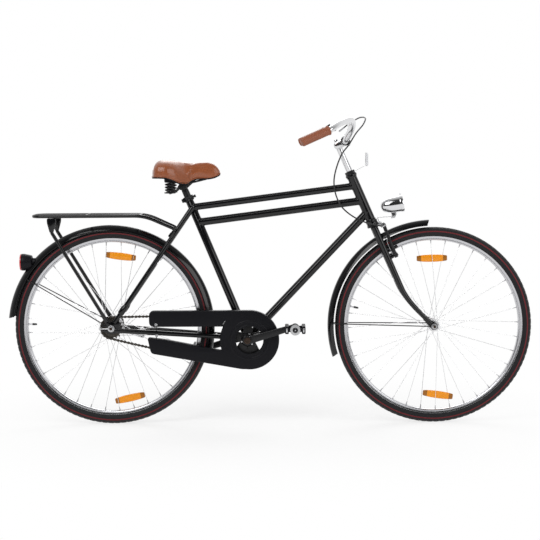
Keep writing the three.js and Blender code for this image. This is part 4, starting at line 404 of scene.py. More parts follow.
def surface_group():
    """Fine grain over slow patches: colour x (1 + spread x (grain + patches - 1)), roughness + its own spread
    x (patches - 0.5), and the grain as a height."""
    tree, given, result = node_group(
        "fine_surface",
        {"Color": ("Color", (0.5, 0.5, 0.5, 1)), "Spread": ("Float", 0.2), "Scale": ("Float", 900.0),
         "Patch Scale": ("Float", 14.0), "Roughness": ("Float", 0.4), "Roughness Spread": ("Float", 0.1)},
        {"Color": "Color", "Roughness": "Float", "Height": "Float"})
    place = node(tree, "TexCoord").outputs["Object"]
    grain = node(tree, "TexNoise", {"Vector": place, "Scale": given.outputs["Scale"], "Detail": 3.0})
    patches = node(tree, "TexNoise", {"Vector": place, "Scale": given.outputs["Patch Scale"], "Detail": 4.0})
    both = math_node(tree, "ADD", grain.outputs["Fac"], patches.outputs["Fac"])
    change = math_node(tree, "MULTIPLY", math_node(tree, "SUBTRACT", both, 1.0), given.outputs["Spread"])
    factor = math_node(tree, "ADD", change, 1.0)
    tint = node(tree, "VectorMath", {0: given.outputs["Color"], "Scale": factor}, operation="SCALE")
    slow = math_node(tree, "SUBTRACT", patches.outputs["Fac"], 0.5)
    rough = math_node(tree, "MULTIPLY", slow, given.outputs["Roughness Spread"])
    feed(tree, result, {"Color": tint.outputs["Vector"], "Height": grain.outputs["Fac"],
                        "Roughness": math_node(tree, "ADD", rough, given.outputs["Roughness"])})
    return tree


def prism_group():
    """Moulded prisms: the largest-coordinate distance to the middle of square cells makes small pyramids, and
    Shade is a painted shade that is darker towards the grooves between them.
    """
    tree, given, result = node_group(
        "prism_cells", {"Scale": ("Float", 300.0), "Turn": ("Vector", (0.0, 0.785, 0.0))},
        {"Height": "Float", "Shade": "Float"})
    place = node(tree, "TexCoord").outputs["Object"]
    turned_place = node(tree, "VectorRotate", {"Vector": place, "Rotation": given.outputs["Turn"]},
                        rotation_type="EULER_XYZ")
    cells = node(tree, "TexVoronoi", {"Vector": turned_place.outputs[0], "Scale": given.outputs["Scale"],
                                      "Randomness": 0.0}, distance="CHEBYCHEV")
    # Painted shade: the prisms' colour is darkened towards the grooves between the cells.
    shade = node(tree, "MapRange", {"Value": cells.outputs["Distance"], "From Min": 0.05, "From Max": 0.5,
                                    "To Min": 1.0, "To Max": 0.55})
    feed(tree, result, {"Height": cells.outputs["Distance"], "Shade": shade.outputs["Result"]})
    return tree


def leather_group():
    """Pebbled skin: the distance to the nearest of many scattered points rises from each pebble's middle to
    the creases between them, at two sizes laid over each other."""
    tree, given, result = node_group("pebbles", {"Scale": ("Float", 650.0)}, {"Height": "Float"})
    place = node(tree, "TexCoord").outputs["Object"]
    warp = node(tree, "TexNoise", {"Vector": place, "Scale": 220.0, "Detail": 2.0})
    pushed = node(tree, "VectorMath", {0: warp.outputs["Color"], "Scale": 0.0022}, operation="SCALE")
    warped = node(tree, "VectorMath", {0: place, 1: pushed.outputs["Vector"]},
                  operation="ADD").outputs["Vector"]
    coarse = node(tree, "TexVoronoi", {"Vector": warped, "Scale": given.outputs["Scale"]},
                  feature="SMOOTH_F1")
    fine = node(tree, "TexNoise", {"Vector": place, "Scale": 2600.0, "Detail": 2.0})
    domes = math_node(tree, "MULTIPLY", coarse.outputs["Distance"], -1.0)
    grain = math_node(tree, "MULTIPLY", fine.outputs["Fac"], 0.25)
    feed(tree, result, {"Height": math_node(tree, "ADD", domes, grain)})
    return tree


SURFACE, PRISMS, PEBBLES = surface_group(), prism_group(), leather_group()
print("node groups", [tree.name for tree in (SURFACE, PRISMS, PEBBLES)])

# %% [markdown]
# Each finish is its own material. The shader's plain numbers, such as how strongly it mirrors or whether it
# is clear-coated, are set on the shader, and only what changes over the surface comes through nodes.

# %% Finishes
def finish(name, color, roughness, metallic=0.0, spread=0.15, rough_spread=0.1, scale=900.0, bump=0.1,
           depth=0.00002, plain=()):
    """A material from the shared surface group. Returns (material, its tree, the shader, the group node, the
    bump node), so that a finish can add its own pattern."""
    look = bpy.data.materials.new(name)
    look.use_nodes = True
    tree = look.node_tree
    shader = tree.nodes["Principled BSDF"]
    group = node(tree, "Group", {"Color": (*color, 1), "Spread": spread, "Scale": scale,
                                 "Roughness": roughness, "Roughness Spread": rough_spread}, node_tree=SURFACE)
    bumped = node(tree, "Bump", {"Strength": bump, "Distance": depth, "Height": group.outputs["Height"]})
    feed(tree, shader, {"Base Color": group.outputs["Color"], "Roughness": group.outputs["Roughness"],
                        "Normal": bumped.outputs["Normal"], "Metallic": metallic, **dict(plain)})
    return look, tree, shader, group, bumped


def pebbled(name, color, scale, roughness, bump, depth):
    """Tan synthetic leather: the surface group's colour, with painted shade in the creases between its
    pebbles.
    """
    look, tree, shader, group, bumped = finish(name, color, roughness, spread=0.16, rough_spread=0.16,
                                               bump=bump, depth=depth, plain={"Specular IOR Level": 0.6})
    pebbles = node(tree, "Group", {"Scale": scale}, node_tree=PEBBLES)
    feed(tree, bumped, {"Height": pebbles.outputs["Height"]})
    # Painted shade: the colour is darkened in the creases between the pebbles.
    crease_shade = node(tree, "MapRange", {"Value": pebbles.outputs["Height"], "From Min": -0.75, "From Max": -0.1,
                                     "To Min": 0.86, "To Max": 1.04})
    tint = node(tree, "VectorMath", {0: group.outputs["Color"], "Scale": crease_shade.outputs["Result"]},
                operation="SCALE")
    feed(tree, shader, {"Base Color": tint.outputs["Vector"]})
    return look


def prismatic(name, color, scale, turn=(0.0, 0.785, 0.0), painted_glow=0.0, plain=(), end_zone=False):
    """A moulded reflector: prisms under a smooth clear face, with painted shade in the grooves between them
    and a painted glow. End zones lie where the attribute "reach", the distance from the middle, passes 39 mm."""
    # The emission is a painted glow: the reflector's colour shines by itself, though it is no lamp.
    look, tree, shader, group, bumped = finish(name, color, 0.22, spread=0.1, bump=0.8, depth=0.001, plain={
        "Coat Weight": 1.0, "Coat Roughness": 0.04, "Emission Strength": painted_glow, **dict(plain)})
    prisms = node(tree, "Group", {"Scale": scale, "Turn": turn}, node_tree=PRISMS)
    feed(tree, bumped, {"Height": prisms.outputs["Height"]})
    shade = prisms.outputs["Shade"]
    if end_zone:
        reach = node(tree, "Attribute", attribute_name="reach").outputs["Fac"]
        dark = node(tree, "MapRange", {"Value": reach, "From Min": 38.5, "From Max": 39.5, "To Min": 1.0,
                                       "To Max": 0.42})
        shade = math_node(tree, "MULTIPLY", shade, dark.outputs["Result"])
    tint = node(tree, "VectorMath", {0: group.outputs["Color"], "Scale": shade}, operation="SCALE")
    feed(tree, shader, {"Base Color": tint.outputs["Vector"], "Emission Color": tint.outputs["Vector"]})
    return look


def striped_rubber(name):
    """Tyre rubber by its distance from the axle: dusty tread, fine ribs and a dark red stripe per wall."""
    look, tree, shader, group, bumped = finish(name, (0.0095, 0.0095, 0.011), 0.62, spread=0.3, scale=600.0,
                                               bump=0.3, depth=0.0002, plain={"Specular IOR Level": 0.3})
    reach = node(tree, "Attribute", attribute_name="reach").outputs["Fac"]
    off_middle = math_node(tree, "ABSOLUTE", math_node(tree, "SUBTRACT", reach, STRIPE_MIDDLE))
    stripe = node(tree, "MapRange", {"Value": off_middle, "From Min": STRIPE_HALF - 0.3,
                                     "From Max": STRIPE_HALF + 0.3, "To Min": 1.0, "To Max": 0.0})
    red = node(tree, "Mix", {0: stripe.outputs["Result"], 6: group.outputs["Color"],
                             7: (0.13, 0.010, 0.014, 1)}, data_type="RGBA")
    dust = node(tree, "MapRange", {"Value": reach, "From Min": TYRE_RADIUS - 9, "From Max": TYRE_RADIUS,
                                   "To Min": 0.0, "To Max": 0.2})
    worn = node(tree, "Mix", {0: dust.outputs["Result"], 6: red.outputs[2], 7: (0.05, 0.048, 0.046, 1)},
                data_type="RGBA")
    feed(tree, shader, {"Base Color": worn.outputs[2]})
    ribs = math_node(tree, "SINE", math_node(tree, "MULTIPLY", reach, 5.2))
    half_ribs = math_node(tree, "MULTIPLY", ribs, 0.5)
    feed(tree, bumped, {"Height": math_node(tree, "ADD", half_ribs, group.outputs["Height"])})
    return look


STRIPE_MIDDLE, STRIPE_HALF = 334.0, 2.1
PLAIN_FINISHES = {
    "frame_paint": dict(color=(0.0035, 0.0035, 0.0042), roughness=0.13, spread=0.3, scale=420.0,
                        depth=0.00004, plain={"Specular IOR Level": 0.45}),
    "black_steel": dict(color=(0.010, 0.010, 0.011), roughness=0.36, spread=0.25, bump=0.15,
                        plain={"Specular IOR Level": 0.35}),
    "satin_plastic": dict(color=(0.0052, 0.0052, 0.0072), roughness=0.42, spread=0.2, scale=1500.0, bump=0.3,
                          depth=0.00006, plain={"Specular IOR Level": 0.16}),
    "chrome": dict(color=(0.72, 0.72, 0.73), roughness=0.1, metallic=1.0, spread=0.05, rough_spread=0.08,
                   bump=0.04),
    "aluminium": dict(color=(0.62, 0.625, 0.635), roughness=0.3, metallic=1.0, spread=0.1, rough_spread=0.2,
                      bump=0.12),
    "rim_alloy": dict(color=(0.58, 0.58, 0.60), roughness=0.2, metallic=1.0, spread=0.08, bump=0.08),
    "spoke_steel": dict(color=(0.80, 0.80, 0.81), roughness=0.34, metallic=1.0, spread=0.12),
    "cable_black": dict(color=(0.012, 0.012, 0.013), roughness=0.4, spread=0.2, bump=0.2),
    "tan_grip": dict(color=(0.25, 0.072, 0.030), roughness=0.44, spread=0.14, scale=260.0, bump=0.12,
                     depth=0.0001),
    "pale_plastic": dict(color=(0.70, 0.71, 0.73), roughness=0.4, spread=0.06),
    "clear_lens": dict(color=(0.93, 0.95, 0.97), roughness=0.03, spread=0.02, rough_spread=0.02, bump=0.05,
                       plain={"Transmission Weight": 0.85, "IOR": 1.45}),
    "chain_steel": dict(color=(0.055, 0.048, 0.04), roughness=0.4, metallic=0.6, spread=0.35, scale=700.0,
                        bump=0.2),
    "oiled_bolt": dict(color=(0.045, 0.027, 0.018), roughness=0.34, metallic=0.6, spread=0.3),
    "bolt_steel": dict(color=(0.45, 0.45, 0.46), roughness=0.25, metallic=1.0, spread=0.1),
}
FINISHES = {name: finish(name, **settings)[0] for name, settings in PLAIN_FINISHES.items()}
FINISHES["tyre_rubber"] = striped_rubber("tyre_rubber")
FINISHES["tan_leather"] = pebbled("tan_leather", (0.27, 0.074, 0.024), 520.0, 0.27, 0.12, 0.0002)
# The amber and red lenses get a painted glow, though they are reflectors and not lamps.
FINISHES["amber_lens"] = prismatic("amber_lens", (1.0, 0.34, 0.0), 330.0, painted_glow=0.16, end_zone=True,
                                   plain={"Coat Weight": 0.4, "Specular IOR Level": 0.3})
FINISHES["red_lens"] = prismatic("red_lens", (0.58, 0.02, 0.024), 300.0, turn=(0.785, 0.0, 0.0), painted_glow=0.4)
FINISHES["clear_reflector"] = prismatic("clear_reflector", (0.66, 0.68, 0.7), 260.0, turn=(0.785, 0.4, 0.0))
print(len(FINISHES), "finishes")

# %% [markdown]
# The frame is welded from round steel tubes. Each tube's end is cut to the curve where it meets its
# neighbour, and a smooth seam of filler runs round that curve. Here the end of each line along the tube is
# found where the line pierces the neighbour's round wall, and the last few rows swell into a hollow curve,
# which is the seam.

# %% Mitred tubes with their seams
SEAM = 3.2


def pierced(start, direction, host, host_direction, host_radius):
    """How far along each line it first meets a round wall: the smaller root of |offset across the wall's
    axis|^2 = radius^2."""
    offset = start - host
    flat_offset = offset - (offset @ host_direction)[..., None] * host_direction
    flat = direction - (direction @ host_direction) * host_direction
    a, b = flat @ flat, flat_offset @ flat
    c = (flat_offset**2).sum(-1) - host_radius**2
    return (-b - np.sqrt(np.maximum(b * b - a * c, 0))) / a


def mitred(start, end, radius, hosts, sides=48, rows=6):
    """A round tube between two neighbours. Rows near an end lie at growing distances d from the pierced
    curve, and there the radius grows by seam - sqrt(seam^2 - (seam - d)^2)."""
    direction = unit(end - start)
    first = unit(np.cross(direction, Y_AXIS))
    second = np.cross(direction, first)
    angle = turn(sides)[:, None]
    circle = np.cos(angle) * first + np.sin(angle) * second
    steps = SEAM * np.linspace(0, 1, rows) ** 1.5
    swell = SEAM - np.sqrt(SEAM**2 - (SEAM - steps) ** 2)
    middle = (start + end) / 2
    grid = []
    for sign, (host, host_direction, host_radius) in zip((-1, 1), hosts):
        for step, extra in zip(steps, swell):
            ring = middle + (radius + extra) * circle
            reach = pierced(ring, sign * direction, host, host_direction, host_radius) - step
            grid.append(ring + reach[:, None] * sign * direction)
    return shell(np.stack(sorted(grid, key=lambda ring: ring.mean(0) @ direction)))


up_seat = lambda distance: BOTTOM_BRACKET + SEAT_UP * distance
below_head = lambda distance: HEAD_TOP - HEAD_UP * distance
head_host, seat_host = (HEAD_BOTTOM, HEAD_UP, 17.0), (BOTTOM_BRACKET, SEAT_UP, 14.3)
shell_host = (BOTTOM_BRACKET, Y_AXIS, 20.0)

dressed("upper_top_tube", "smooth", [mitred(up_seat(507), below_head(35), 12.7, (seat_host, head_host))],
        "frame_paint", "frame")
dressed("lower_top_tube", "smooth", [mitred(up_seat(449), below_head(92.6), 14.3, (seat_host, head_host))],
        "frame_paint", "frame")
dressed("down_tube", "smooth", [mitred(BOTTOM_BRACKET, below_head(137), 14.3, (shell_host, head_host))],
        "frame_paint", "frame")

# %% [markdown]
# The head tube carries the steering's two bearing cups. The seat tube stands in the bottom bracket shell,
# the short cross tube in which the cranks turn.

# %% Head tube, seat tube and bottom bracket shell
CUP = [(12.9, -9), (20.1, -9), (20.5, -8.4), (20.5, -2.6), (19.2, -1.6), (18.6, 1.2), (17.9, 3.4), (17.2, 4)]
head_profile = CUP + [(17, 5), (17, 163)] + [(r, 168 - along) for r, along in CUP[::-1]]
dressed("head_tube", "smooth", [turned(head_profile, HEAD_BOTTOM, HEAD_UP, 64, closed=True)], "frame_paint",
        "frame")
shell_profile = mirrored([(8.4, -34), (18.8, -34), (20, -33), (20, -22), (19.6, -21.4), (20, -20.8)])
seat_tube = turned([(12.6, 40), (14.3, 14), (14.3, 548.4), (13.9, 549), (12.9, 549)], BOTTOM_BRACKET, SEAT_UP,
                   48, closed=True)
seat_seam = turned([(14.2, 24), (14.35, 23), (15.2, 20.6), (17, 19), (19, 15)], BOTTOM_BRACKET, SEAT_UP, 48)
dressed("seat_tube", "smooth", [seat_tube, turned(shell_profile, BOTTOM_BRACKET, Y_AXIS, 56, closed=True)],
        "frame_paint", "frame")

# %% [markdown]
# Behind the seat tube, two pairs of thin stays run to flat dropouts that hold the rear axle. The dropouts
# have slots open to the back, so that the wheel can be pulled rearwards to tighten the chain.

# %% Stays, dropouts and bridges
REAR_FENDER_CENTRE, REAR_FENDER_RADIUS = at(-5.5, 0, 343.5), 368.4
FRONT_FENDER_RADIUS = 376.0


def stay_lines(side):
    """Each stay as (start, end, start radius, end radius)."""
    return [(at(16, side * 57.5, 341), at(481, side * 24.5, 307), 9.0, 8.0),
            (at(12, side * 57.5, 371), up_seat(505) + [0, side * 24.5, 0], 8.0, 9.5)]


def stay(start, end, radius, end_radius, cap):
    """A tapered tube whose ends are closed by domes: radius x sqrt(1 - t^2) over the cap's length."""
    length = np.linalg.norm(end - start)
    dome = np.linspace(1, 0, 7)
    low = [(radius * math.sqrt(max(1 - t * t, 0)), -cap * t) for t in dome]
    high = [(end_radius * math.sqrt(max(1 - t * t, 0)), length + 0.9 * end_radius * t) for t in dome[::-1]]
    return turned(low + high, start, end - start, 32)


def dropout(side):
    """The dropout's outline from above its slot, round the stays' feet, to below the slot, and round the
    slot's closed end."""
    edge = rounded([(-34, 5.6), (-33, 10), (-10, 19), (12, 30), (31, 22), (35, -8), (16, -19), (-10, -19),
                    (-33, -10), (-34, -5.6)], 7, 4)
    arc = np.linspace(-np.pi / 2, np.pi / 2, 9)
    return plate(np.concatenate([edge, 5.6 * around(arc)])[::-1], REAR_AXLE + [0, side * 60, 0], X_AXIS,
                 Z_AXIS, 5)


def bridge(start, end):
    """A cross tube where the stay's line is 6.3 mm outside the fender's circle."""
    direction = unit((end - start) * [1, 0, 1])
    reach = pierced((end * [1, 0, 1])[None], -direction, REAR_FENDER_CENTRE, Y_AXIS,
                    REAR_FENDER_RADIUS + 6.3)[0]
    share = reach / np.linalg.norm((end - start) * [1, 0, 1])
    place = end + (start - end) * share
    return rod(place, place * [1, -1, 1], 6, sides=24)


def stay_foot(side):
    """The thicker sleeve over the lower end of a seat stay."""
    start, end = stay_lines(side)[1][:2]
    return turned([(0, 34), (9.2, 34), (11.6, 39), (11.6, 58), (10, 64), (8.4, 70), (0, 70)], start,
                  end - start, 32)


stays = [stay(*line, cap) for side in (-1, 1) for line, cap in zip(stay_lines(side), (9, 8))]
bridges = [bridge(start, end) for start, end, _, _ in stay_lines(-1)]
guard_tab = block(at(158, -50.0, 333), (3, 45, 4), 1, bevel=0.5)
feet = [part(side) for side in (-1, 1) for part in (stay_foot, dropout)]
dressed("rear_triangle", "smooth", stays + bridges + feet + [guard_tab, seat_seam], "frame_paint", "frame")

# %% [markdown]
# The chain guard is one moulded tray of black plastic, open at the back. Its front face follows an outline:
# a disc round the crank with an arm above the chain and one below it. The outline is one closed line of
# points. The side wall and the rounded front edge are that line drawn in step by step, and the flat face
# between the outer edge and the crank's hole is filled by two faces that meet on a line through the hole.

# %% Chain guard
GUARD_CENTRE = np.array([488.0, 305.0])
GUARD_RADIUS, HOLE_RADIUS, GUARD_WALL = 105.0, 49.0, 2.4
GUARD_FACE, GUARD_BACK = -64.0, -38.0


def on_disc(radius, degrees):
    return GUARD_CENTRE + radius * around(np.radians(degrees))


def guard_outline():
    """From the disc's lowest point round its front to its top, along the upper arm and back, down the disc's
    rear, and round the lower arm."""
    front = on_disc(GUARD_RADIUS, np.linspace(-97, 90, 76))
    upper = rounded([(488, 410), (133, 410), (133, 353.2), (394.6, 353.2)], 19, 8)[1:-1]
    rear = on_disc(GUARD_RADIUS, np.linspace(152.8, 199.5, 16))
    lower = rounded([(389, 269), (376, 271), (184, 309), (126, 316), (139, 258), (460, 201), (475, 200.8)],
                    11, 5)
    return np.concatenate([front, upper, rear, lower[1:-1]])


def guard_rows(outline):
    """The tray's skin as rows of the outline: the back edge, the wall, a quarter circle onto the face, and
    the same again inside, one wall's thickness further in."""
    angle = np.linspace(0, np.pi / 2, 6)
    outside = np.stack([5 * (1 - np.cos(angle)), GUARD_FACE + 5 * (1 - np.sin(angle))], -1)
    inside = np.stack([GUARD_WALL + 3 * (1 - np.cos(angle)),
                       GUARD_FACE + GUARD_WALL + 3 * (1 - np.sin(angle))], -1)
    pairs = np.concatenate([inside[::-1], [(GUARD_WALL, GUARD_BACK), (0.4, GUARD_BACK),
                                           (0, GUARD_BACK - 0.4)], outside])
    rows = []
    for drawn, across in pairs:
        flat = inset(outline, drawn)
        rows.append(at(flat[:, 0], across, flat[:, 1]))
    return np.stack(rows)


def crossings(line, middle, across):
    """Where a closed line of points goes over to one side of a place, and where it comes back."""
    over = (line - middle) @ across > 0
    before = np.roll(over, 1)
    return np.flatnonzero(over & ~before)[0], np.flatnonzero(~over & before)[0]


def face_with_hole(edge, hole):
    """Two faces that fill the space between an outer and an inner line: each takes the outline's points on
    one side of a slanting line through the hole's middle, and that half of the hole."""
    middle = hole.mean(0)
    across = np.cross(Y_AXIS, unit([0.35, 0, 1.0]))
    count = len(edge)
    points = np.concatenate([edge, hole])
    first, second = crossings(edge, middle, across)
    hole_first, hole_second = crossings(hole, middle, across)
    run = lambda a, b, n: (a + np.arange((b - a) % n + 1)) % n
    one = np.concatenate([run(first, second, count), count + run(hole_first, hole_second, len(hole))[::-1]])
    two = np.concatenate([run(second, first, count), count + run(hole_second, hole_first, len(hole))[::-1]])
    return points, np.zeros((0, 4), int), [one, two]


def chain_guard():
    rows = guard_rows(guard_outline())
    skins = [shell(rows, caps=False)]
    circle = on_disc(HOLE_RADIUS, np.degrees(turn(96)))
    holes = [at(circle[:, 0], across, circle[:, 1]) for across in (GUARD_FACE, GUARD_FACE + GUARD_WALL)]
    skins.append(face_with_hole(rows[-1], holes[0]))
    skins.append(face_with_hole(rows[0], holes[1]))
    skins.append(shell(np.stack(holes), caps=False))
    return skins


lip_profile = [(61.5, 0), (63.5, 1.0), (65.5, 1.6), (68, 1.7), (70, 1.1), (71.5, 0)]
rim_profile = [(48.4, -0.6), (48.6, 0.6), (50, 1.3), (52.4, 1.2), (54.5, 0)]
guard_middle = at(488, GUARD_FACE, 305)
guard_rings = [turned(profile, guard_middle, -Y_AXIS, 96) for profile in (lip_profile, rim_profile)]
piece("chain_guard_smooth", chain_guard() + guard_rings, "satin_plastic", "frame", replaces=["chainguard"])
bolt_profile = [(0, 2.6), (2.0, 2.4), (3.4, 1.5), (4.0, 0.3), (5.6, 0.2), (5.6, -0.6)]
guard_bolts_and_highlight = [turned(bolt_profile, at(ahead, GUARD_FACE, up), -Y_AXIS, 20) for ahead, up in
               ((158, 362), (160, 323))]
# A thin bright bar on the guard's face stands in for a highlight along an edge there: a painted highlight,
# made as a part.
guard_bolts_and_highlight.append(rod(at(394, GUARD_FACE + 0.6, 361), at(402.5, GUARD_FACE + 0.6, 374), 1.5, sides=12))
piece("chain_guard_bolts_and_highlight", guard_bolts_and_highlight, "bolt_steel", "frame", slot="aluminium")

# %% [markdown]
# A fender is a thin crowned strip bent round the tyre, with its side edges rolled over. Its section is
# worked out once: the height falls away from the crown with a power of the distance from the middle, and
# the same line, one sheet's thickness lower, closes it. Its ends are cut to a soft arch by starting the
# strip later near its sides.

# %% Fenders
FENDER_HALF, FENDER_DROP = 24.0, 20.0


def fender_section(radius):
    """Closed line of (radius, across): crown radius - drop x |across/half|^2.3, rolled edges, and inside."""
    across = np.linspace(-1, 1, 25)
    outer = np.stack([radius - FENDER_DROP * np.abs(across) ** 2.3, FENDER_HALF * across], -1)
    bead = np.radians(np.linspace(0, 210, 6))[1:]
    roll = np.stack([-1.7 * np.sin(bead), -1.7 + 1.7 * np.cos(bead)], -1)
    inner = outer[::-1] * [1, 0.955] - [1.3, 0]
    return np.concatenate([outer, outer[-1] + roll, inner[2:-2], (outer[0] + roll * [1, -1])[::-1]])


def fender(centre, radius, degrees, rows=120):
    """The section at each angle: centre + r (cos angle, across, sin angle); near the ends the angle is
    shifted by up to 1.6 degrees at the sides."""
    section = fender_section(radius)
    share = np.linspace(0, 1, rows)[:, None]
    arch = math.radians(1.6) * np.minimum(np.abs(section[:, 1]) / FENDER_HALF, 1) ** 3
    start, end = math.radians(degrees[0]) + arch, math.radians(degrees[1]) - arch
    angle = start + (end - start) * share
    return shell(centre + xyz(section[:, 0] * np.cos(angle), section[:, 1], section[:, 0] * np.sin(angle)))


dressed("rear_fender", "smooth", [fender(REAR_FENDER_CENTRE, REAR_FENDER_RADIUS, (-20, 174), 180)],
        "frame_paint", "frame")
dressed("front_fender", "smooth", [fender(FRONT_AXLE, FRONT_FENDER_RADIUS, (92.3, 197.5))], "frame_paint",
        "steering")

# %% [markdown]
# A wire stay holds each fender's tail: one bent wire from axle end to axle end, with an eye at each.

# %% Fender stays
def wire_stay(axle, centre, radius, degrees, eye_across, clear, axle_radius):
    """The wire's line goes out along its angle past the dropout, in beside the tyre, and over it just under
    the crown; the eyes are flat rings."""
    outwards = upright(math.radians(degrees))
    offset = axle - centre
    along = offset @ outwards
    crown = -along + math.sqrt(along**2 - offset @ offset + radius**2)
    place = lambda reach, across: axle + outwards * reach + Y_AXIS * across
    half = [place(7.5, eye_across), place(clear, eye_across)]
    half += [place(crown - drop, across) for drop, across in ((23, 19), (11, 9.6), (6.4, 3))]
    mirrored = [corner * [1, -1, 1] for corner in half[::-1]]
    line = rounded(half + mirrored, 8, 6)
    wire = tube(line, 1.9, 12, reference=np.cross(outwards, Y_AXIS))
    ring = [(axle_radius + 0.4, -1.9), (9.0, -1.9), (9.5, -1.4), (9.5, 1.4), (9.0, 1.9),
            (axle_radius + 0.4, 1.9)]
    eyes = [turned(ring, axle + [0, side * eye_across, 0], Y_AXIS, 32, closed=True) for side in (-1, 1)]
    return [wire] + eyes


piece("rear_fender_wire", wire_stay(REAR_AXLE, REAR_FENDER_CENTRE, REAR_FENDER_RADIUS, 150.5, 64.7, 42, 5),
      "black_steel", "frame", replaces=["rear_fender_stay"])
piece("front_fender_wire", wire_stay(FRONT_AXLE, FRONT_AXLE, FRONT_FENDER_RADIUS, 178.8, 55.2, 21, 4.5),
      "black_steel", "steering", replaces=["front_fender_stay"])

# %% [markdown]
# The rack is one bent tube that runs from the seat stays back and round, with two cross bars and three
# thin rods to carry a load. Two struts hold its rear down to the axle; each has a plate under the rail at
# its top and is pressed flat round the axle at its foot.

# %% Rack and struts
def rack_side(side):
    return [at(213, side * 49.5, 676), at(229, side * 49.5, 698), at(122, side * 65, 746),
            at(-272, side * 65, 746)]


rack_line = rounded(rack_side(-1) + rack_side(1)[::-1], 36, 8)
rack_parts = [tube(rack_line, 6.0, 20, reference=unit([0.35, 0.0, 1.0]))]
rack_parts += [rod(at(ahead, -65, 748), at(ahead, 65, 748), 4, sides=16) for ahead in (104, -84)]
rack_parts += [rod(at(104, across, 748), at(-272, across, 748), 4, sides=16) for across in (-26, 0, 26)]
rack_parts += [turned([(6, -9), (7.2, -8), (7.2, 6), (5, 8), (0, 8)], at(213, side * 49.5, 676),
                      -X_AXIS * 16 - Z_AXIS * 22, 20) for side in (-1, 1)]
dressed("rear_rack", "smooth", rack_parts, "frame_paint", "frame")

STRUT_ACROSS = 68.4


def strut(side):
    """Plate, tube and flattened eye. The tube's last part is squeezed: its section's two half widths go from
    (6.3, 6.3) to (8.5, 1.6)."""
    top = at(-205, side * 66, 690)
    corners = np.array([(-221, 739.7), (-189, 739.7), (-189, 724), (-198.7, 688), (-211.3, 688), (-221, 724)])
    outline = rounded(corners - [-205, 715], 6, 4, closed=True)
    skins = [plate(outline, at(-205, side * 66, 715), X_AXIS, Z_AXIS, 4)]
    eye = REAR_AXLE + [0, side * STRUT_ACROSS, 0]
    foot = REAR_AXLE + (top - REAR_AXLE) * [0.05, 0, 0.05] + [0, side * STRUT_ACROSS, 0]
    share = np.concatenate([[0, 0.3, 0.6, 0.78], np.linspace(0.82, 1, 10)])[:, None]
    path = top + (foot - top) * share
    direction = unit(foot - top)
    first = unit(np.cross(Y_AXIS, direction))
    second = np.cross(direction, first)
    squeeze = np.clip((share - 0.86) / 0.12, 0, 1)
    squeeze = squeeze * squeeze * (3 - 2 * squeeze)
    angle = turn(24)
    grid = path[:, None] + ((6.3 + 2.0 * squeeze) * np.cos(angle))[..., None] * first \
        + ((6.3 - 4.8 * squeeze) * np.sin(angle))[..., None] * second
    skins.append(shell(grid))
    end = (foot - eye)[[0, 2]]
    skins.append(plate(link_outline(end, (0, 0), 8.0, 11.0), eye, X_AXIS, Z_AXIS, 3))
    return skins


for hand, side in SIDES:
    dressed("rack_strut_" + hand, "smooth", strut(side), "frame_paint", "frame")

# %% [markdown]
# The tail reflector is a round black cup on the fender with a domed red lens full of small prisms.

# %% Tail reflector
tail_middle = at(-321, 0, 581)
cup_profile = [(0, -0.2), (27.5, -0.2), (28.2, 1.6), (29.6, 1.8), (30, 1.2), (30, -9), (29.2, -12),
               (26.5, -26), (24, -35), (15, -38), (0, -38)]
# The profile's distances run rearwards from the lens's plane; the cup lies ahead of it
cup = turned(cup_profile, tail_middle, -X_AXIS, 64)
seat = turned([(13, -30), (15, -34), (15, -50), (0, -50)], tail_middle, -X_AXIS, 32)
piece("tail_reflector_cup", [cup, seat], "satin_plastic", "frame", replaces=["tail_reflector_body"])
dome = np.linspace(0, 1, 9)
lens_profile = [(27.8, -1.5), (29.3, -1.4), (29.4, 5.2)] + [
    (28.6 * math.cos(1.5 * t), 5.9 + 1.8 * math.sin(1.5 * t)) for t in dome] + [(0, 7.7)]
piece("tail_reflector_dome", [turned(lens_profile, tail_middle, -X_AXIS, 64)], "red_lens", "frame",
      replaces=["tail_reflector_lens"])

# %% [markdown]
# The collar that clamps the seat post is split behind, where an ear with a ring stands out, and its bolt
# points forwards. At the rear axle sit the domed nuts, the washers and the small chain tensioners.

# %% Seat clamp, rear axle and nuts
SEAT_FORWARD = upright(math.pi / 2 - SEAT_ANGLE)


def hexagon(radius):
    """A nut's outline: six slightly rounded corners."""
    return rounded(radius * around(turn(6)), 0.6, 2, closed=True)


def nut(place, direction, radius, height, up=Z_AXIS):
    """A hexagon nut with softened edges, which stands on a place along a direction."""
    direction = unit(direction)
    right = unit(np.cross(up, direction))
    return plate(hexagon(radius), place + direction * height / 2, right, np.cross(direction, right), height,
                 0.7)


def washer(place, direction, bore, radius, thickness):
    ring = [(bore, 0), (radius - 0.4, 0), (radius, 0.4), (radius, thickness - 0.4), (radius - 0.4, thickness),
            (bore, thickness)]
    return turned(ring, place, direction, 40, closed=True)


collar_middle = BOTTOM_BRACKET + SEAT_UP * 540
collar = turned(mirrored([(14.8, -9), (17.8, -9), (18.5, -8.3), (18.5, -5), (17.9, -4.2)]), collar_middle,
                SEAT_UP, 48, closed=True)
ear = block(collar_middle - SEAT_FORWARD * 18.5, (14, 14, 12), 3, SEAT_FORWARD, SEAT_UP, 1.2)
bolt_middle = collar_middle - SEAT_FORWARD * 19.5
ring_bolt = rod(bolt_middle - Y_AXIS * 14, bolt_middle + Y_AXIS * 14, 3.5, sides=24)
front_bolt = rod(collar_middle + SEAT_FORWARD * 17, collar_middle + SEAT_FORWARD * 25.5, 4.2, sides=24)
bolt_head = nut(collar_middle + SEAT_FORWARD * 22.5, SEAT_FORWARD, 5.2, 5, Y_AXIS)
dressed("seat_clamp", "smooth", [collar, ear, ring_bolt, front_bolt, bolt_head], "black_steel", "frame")

NUT_FACE = 70.2


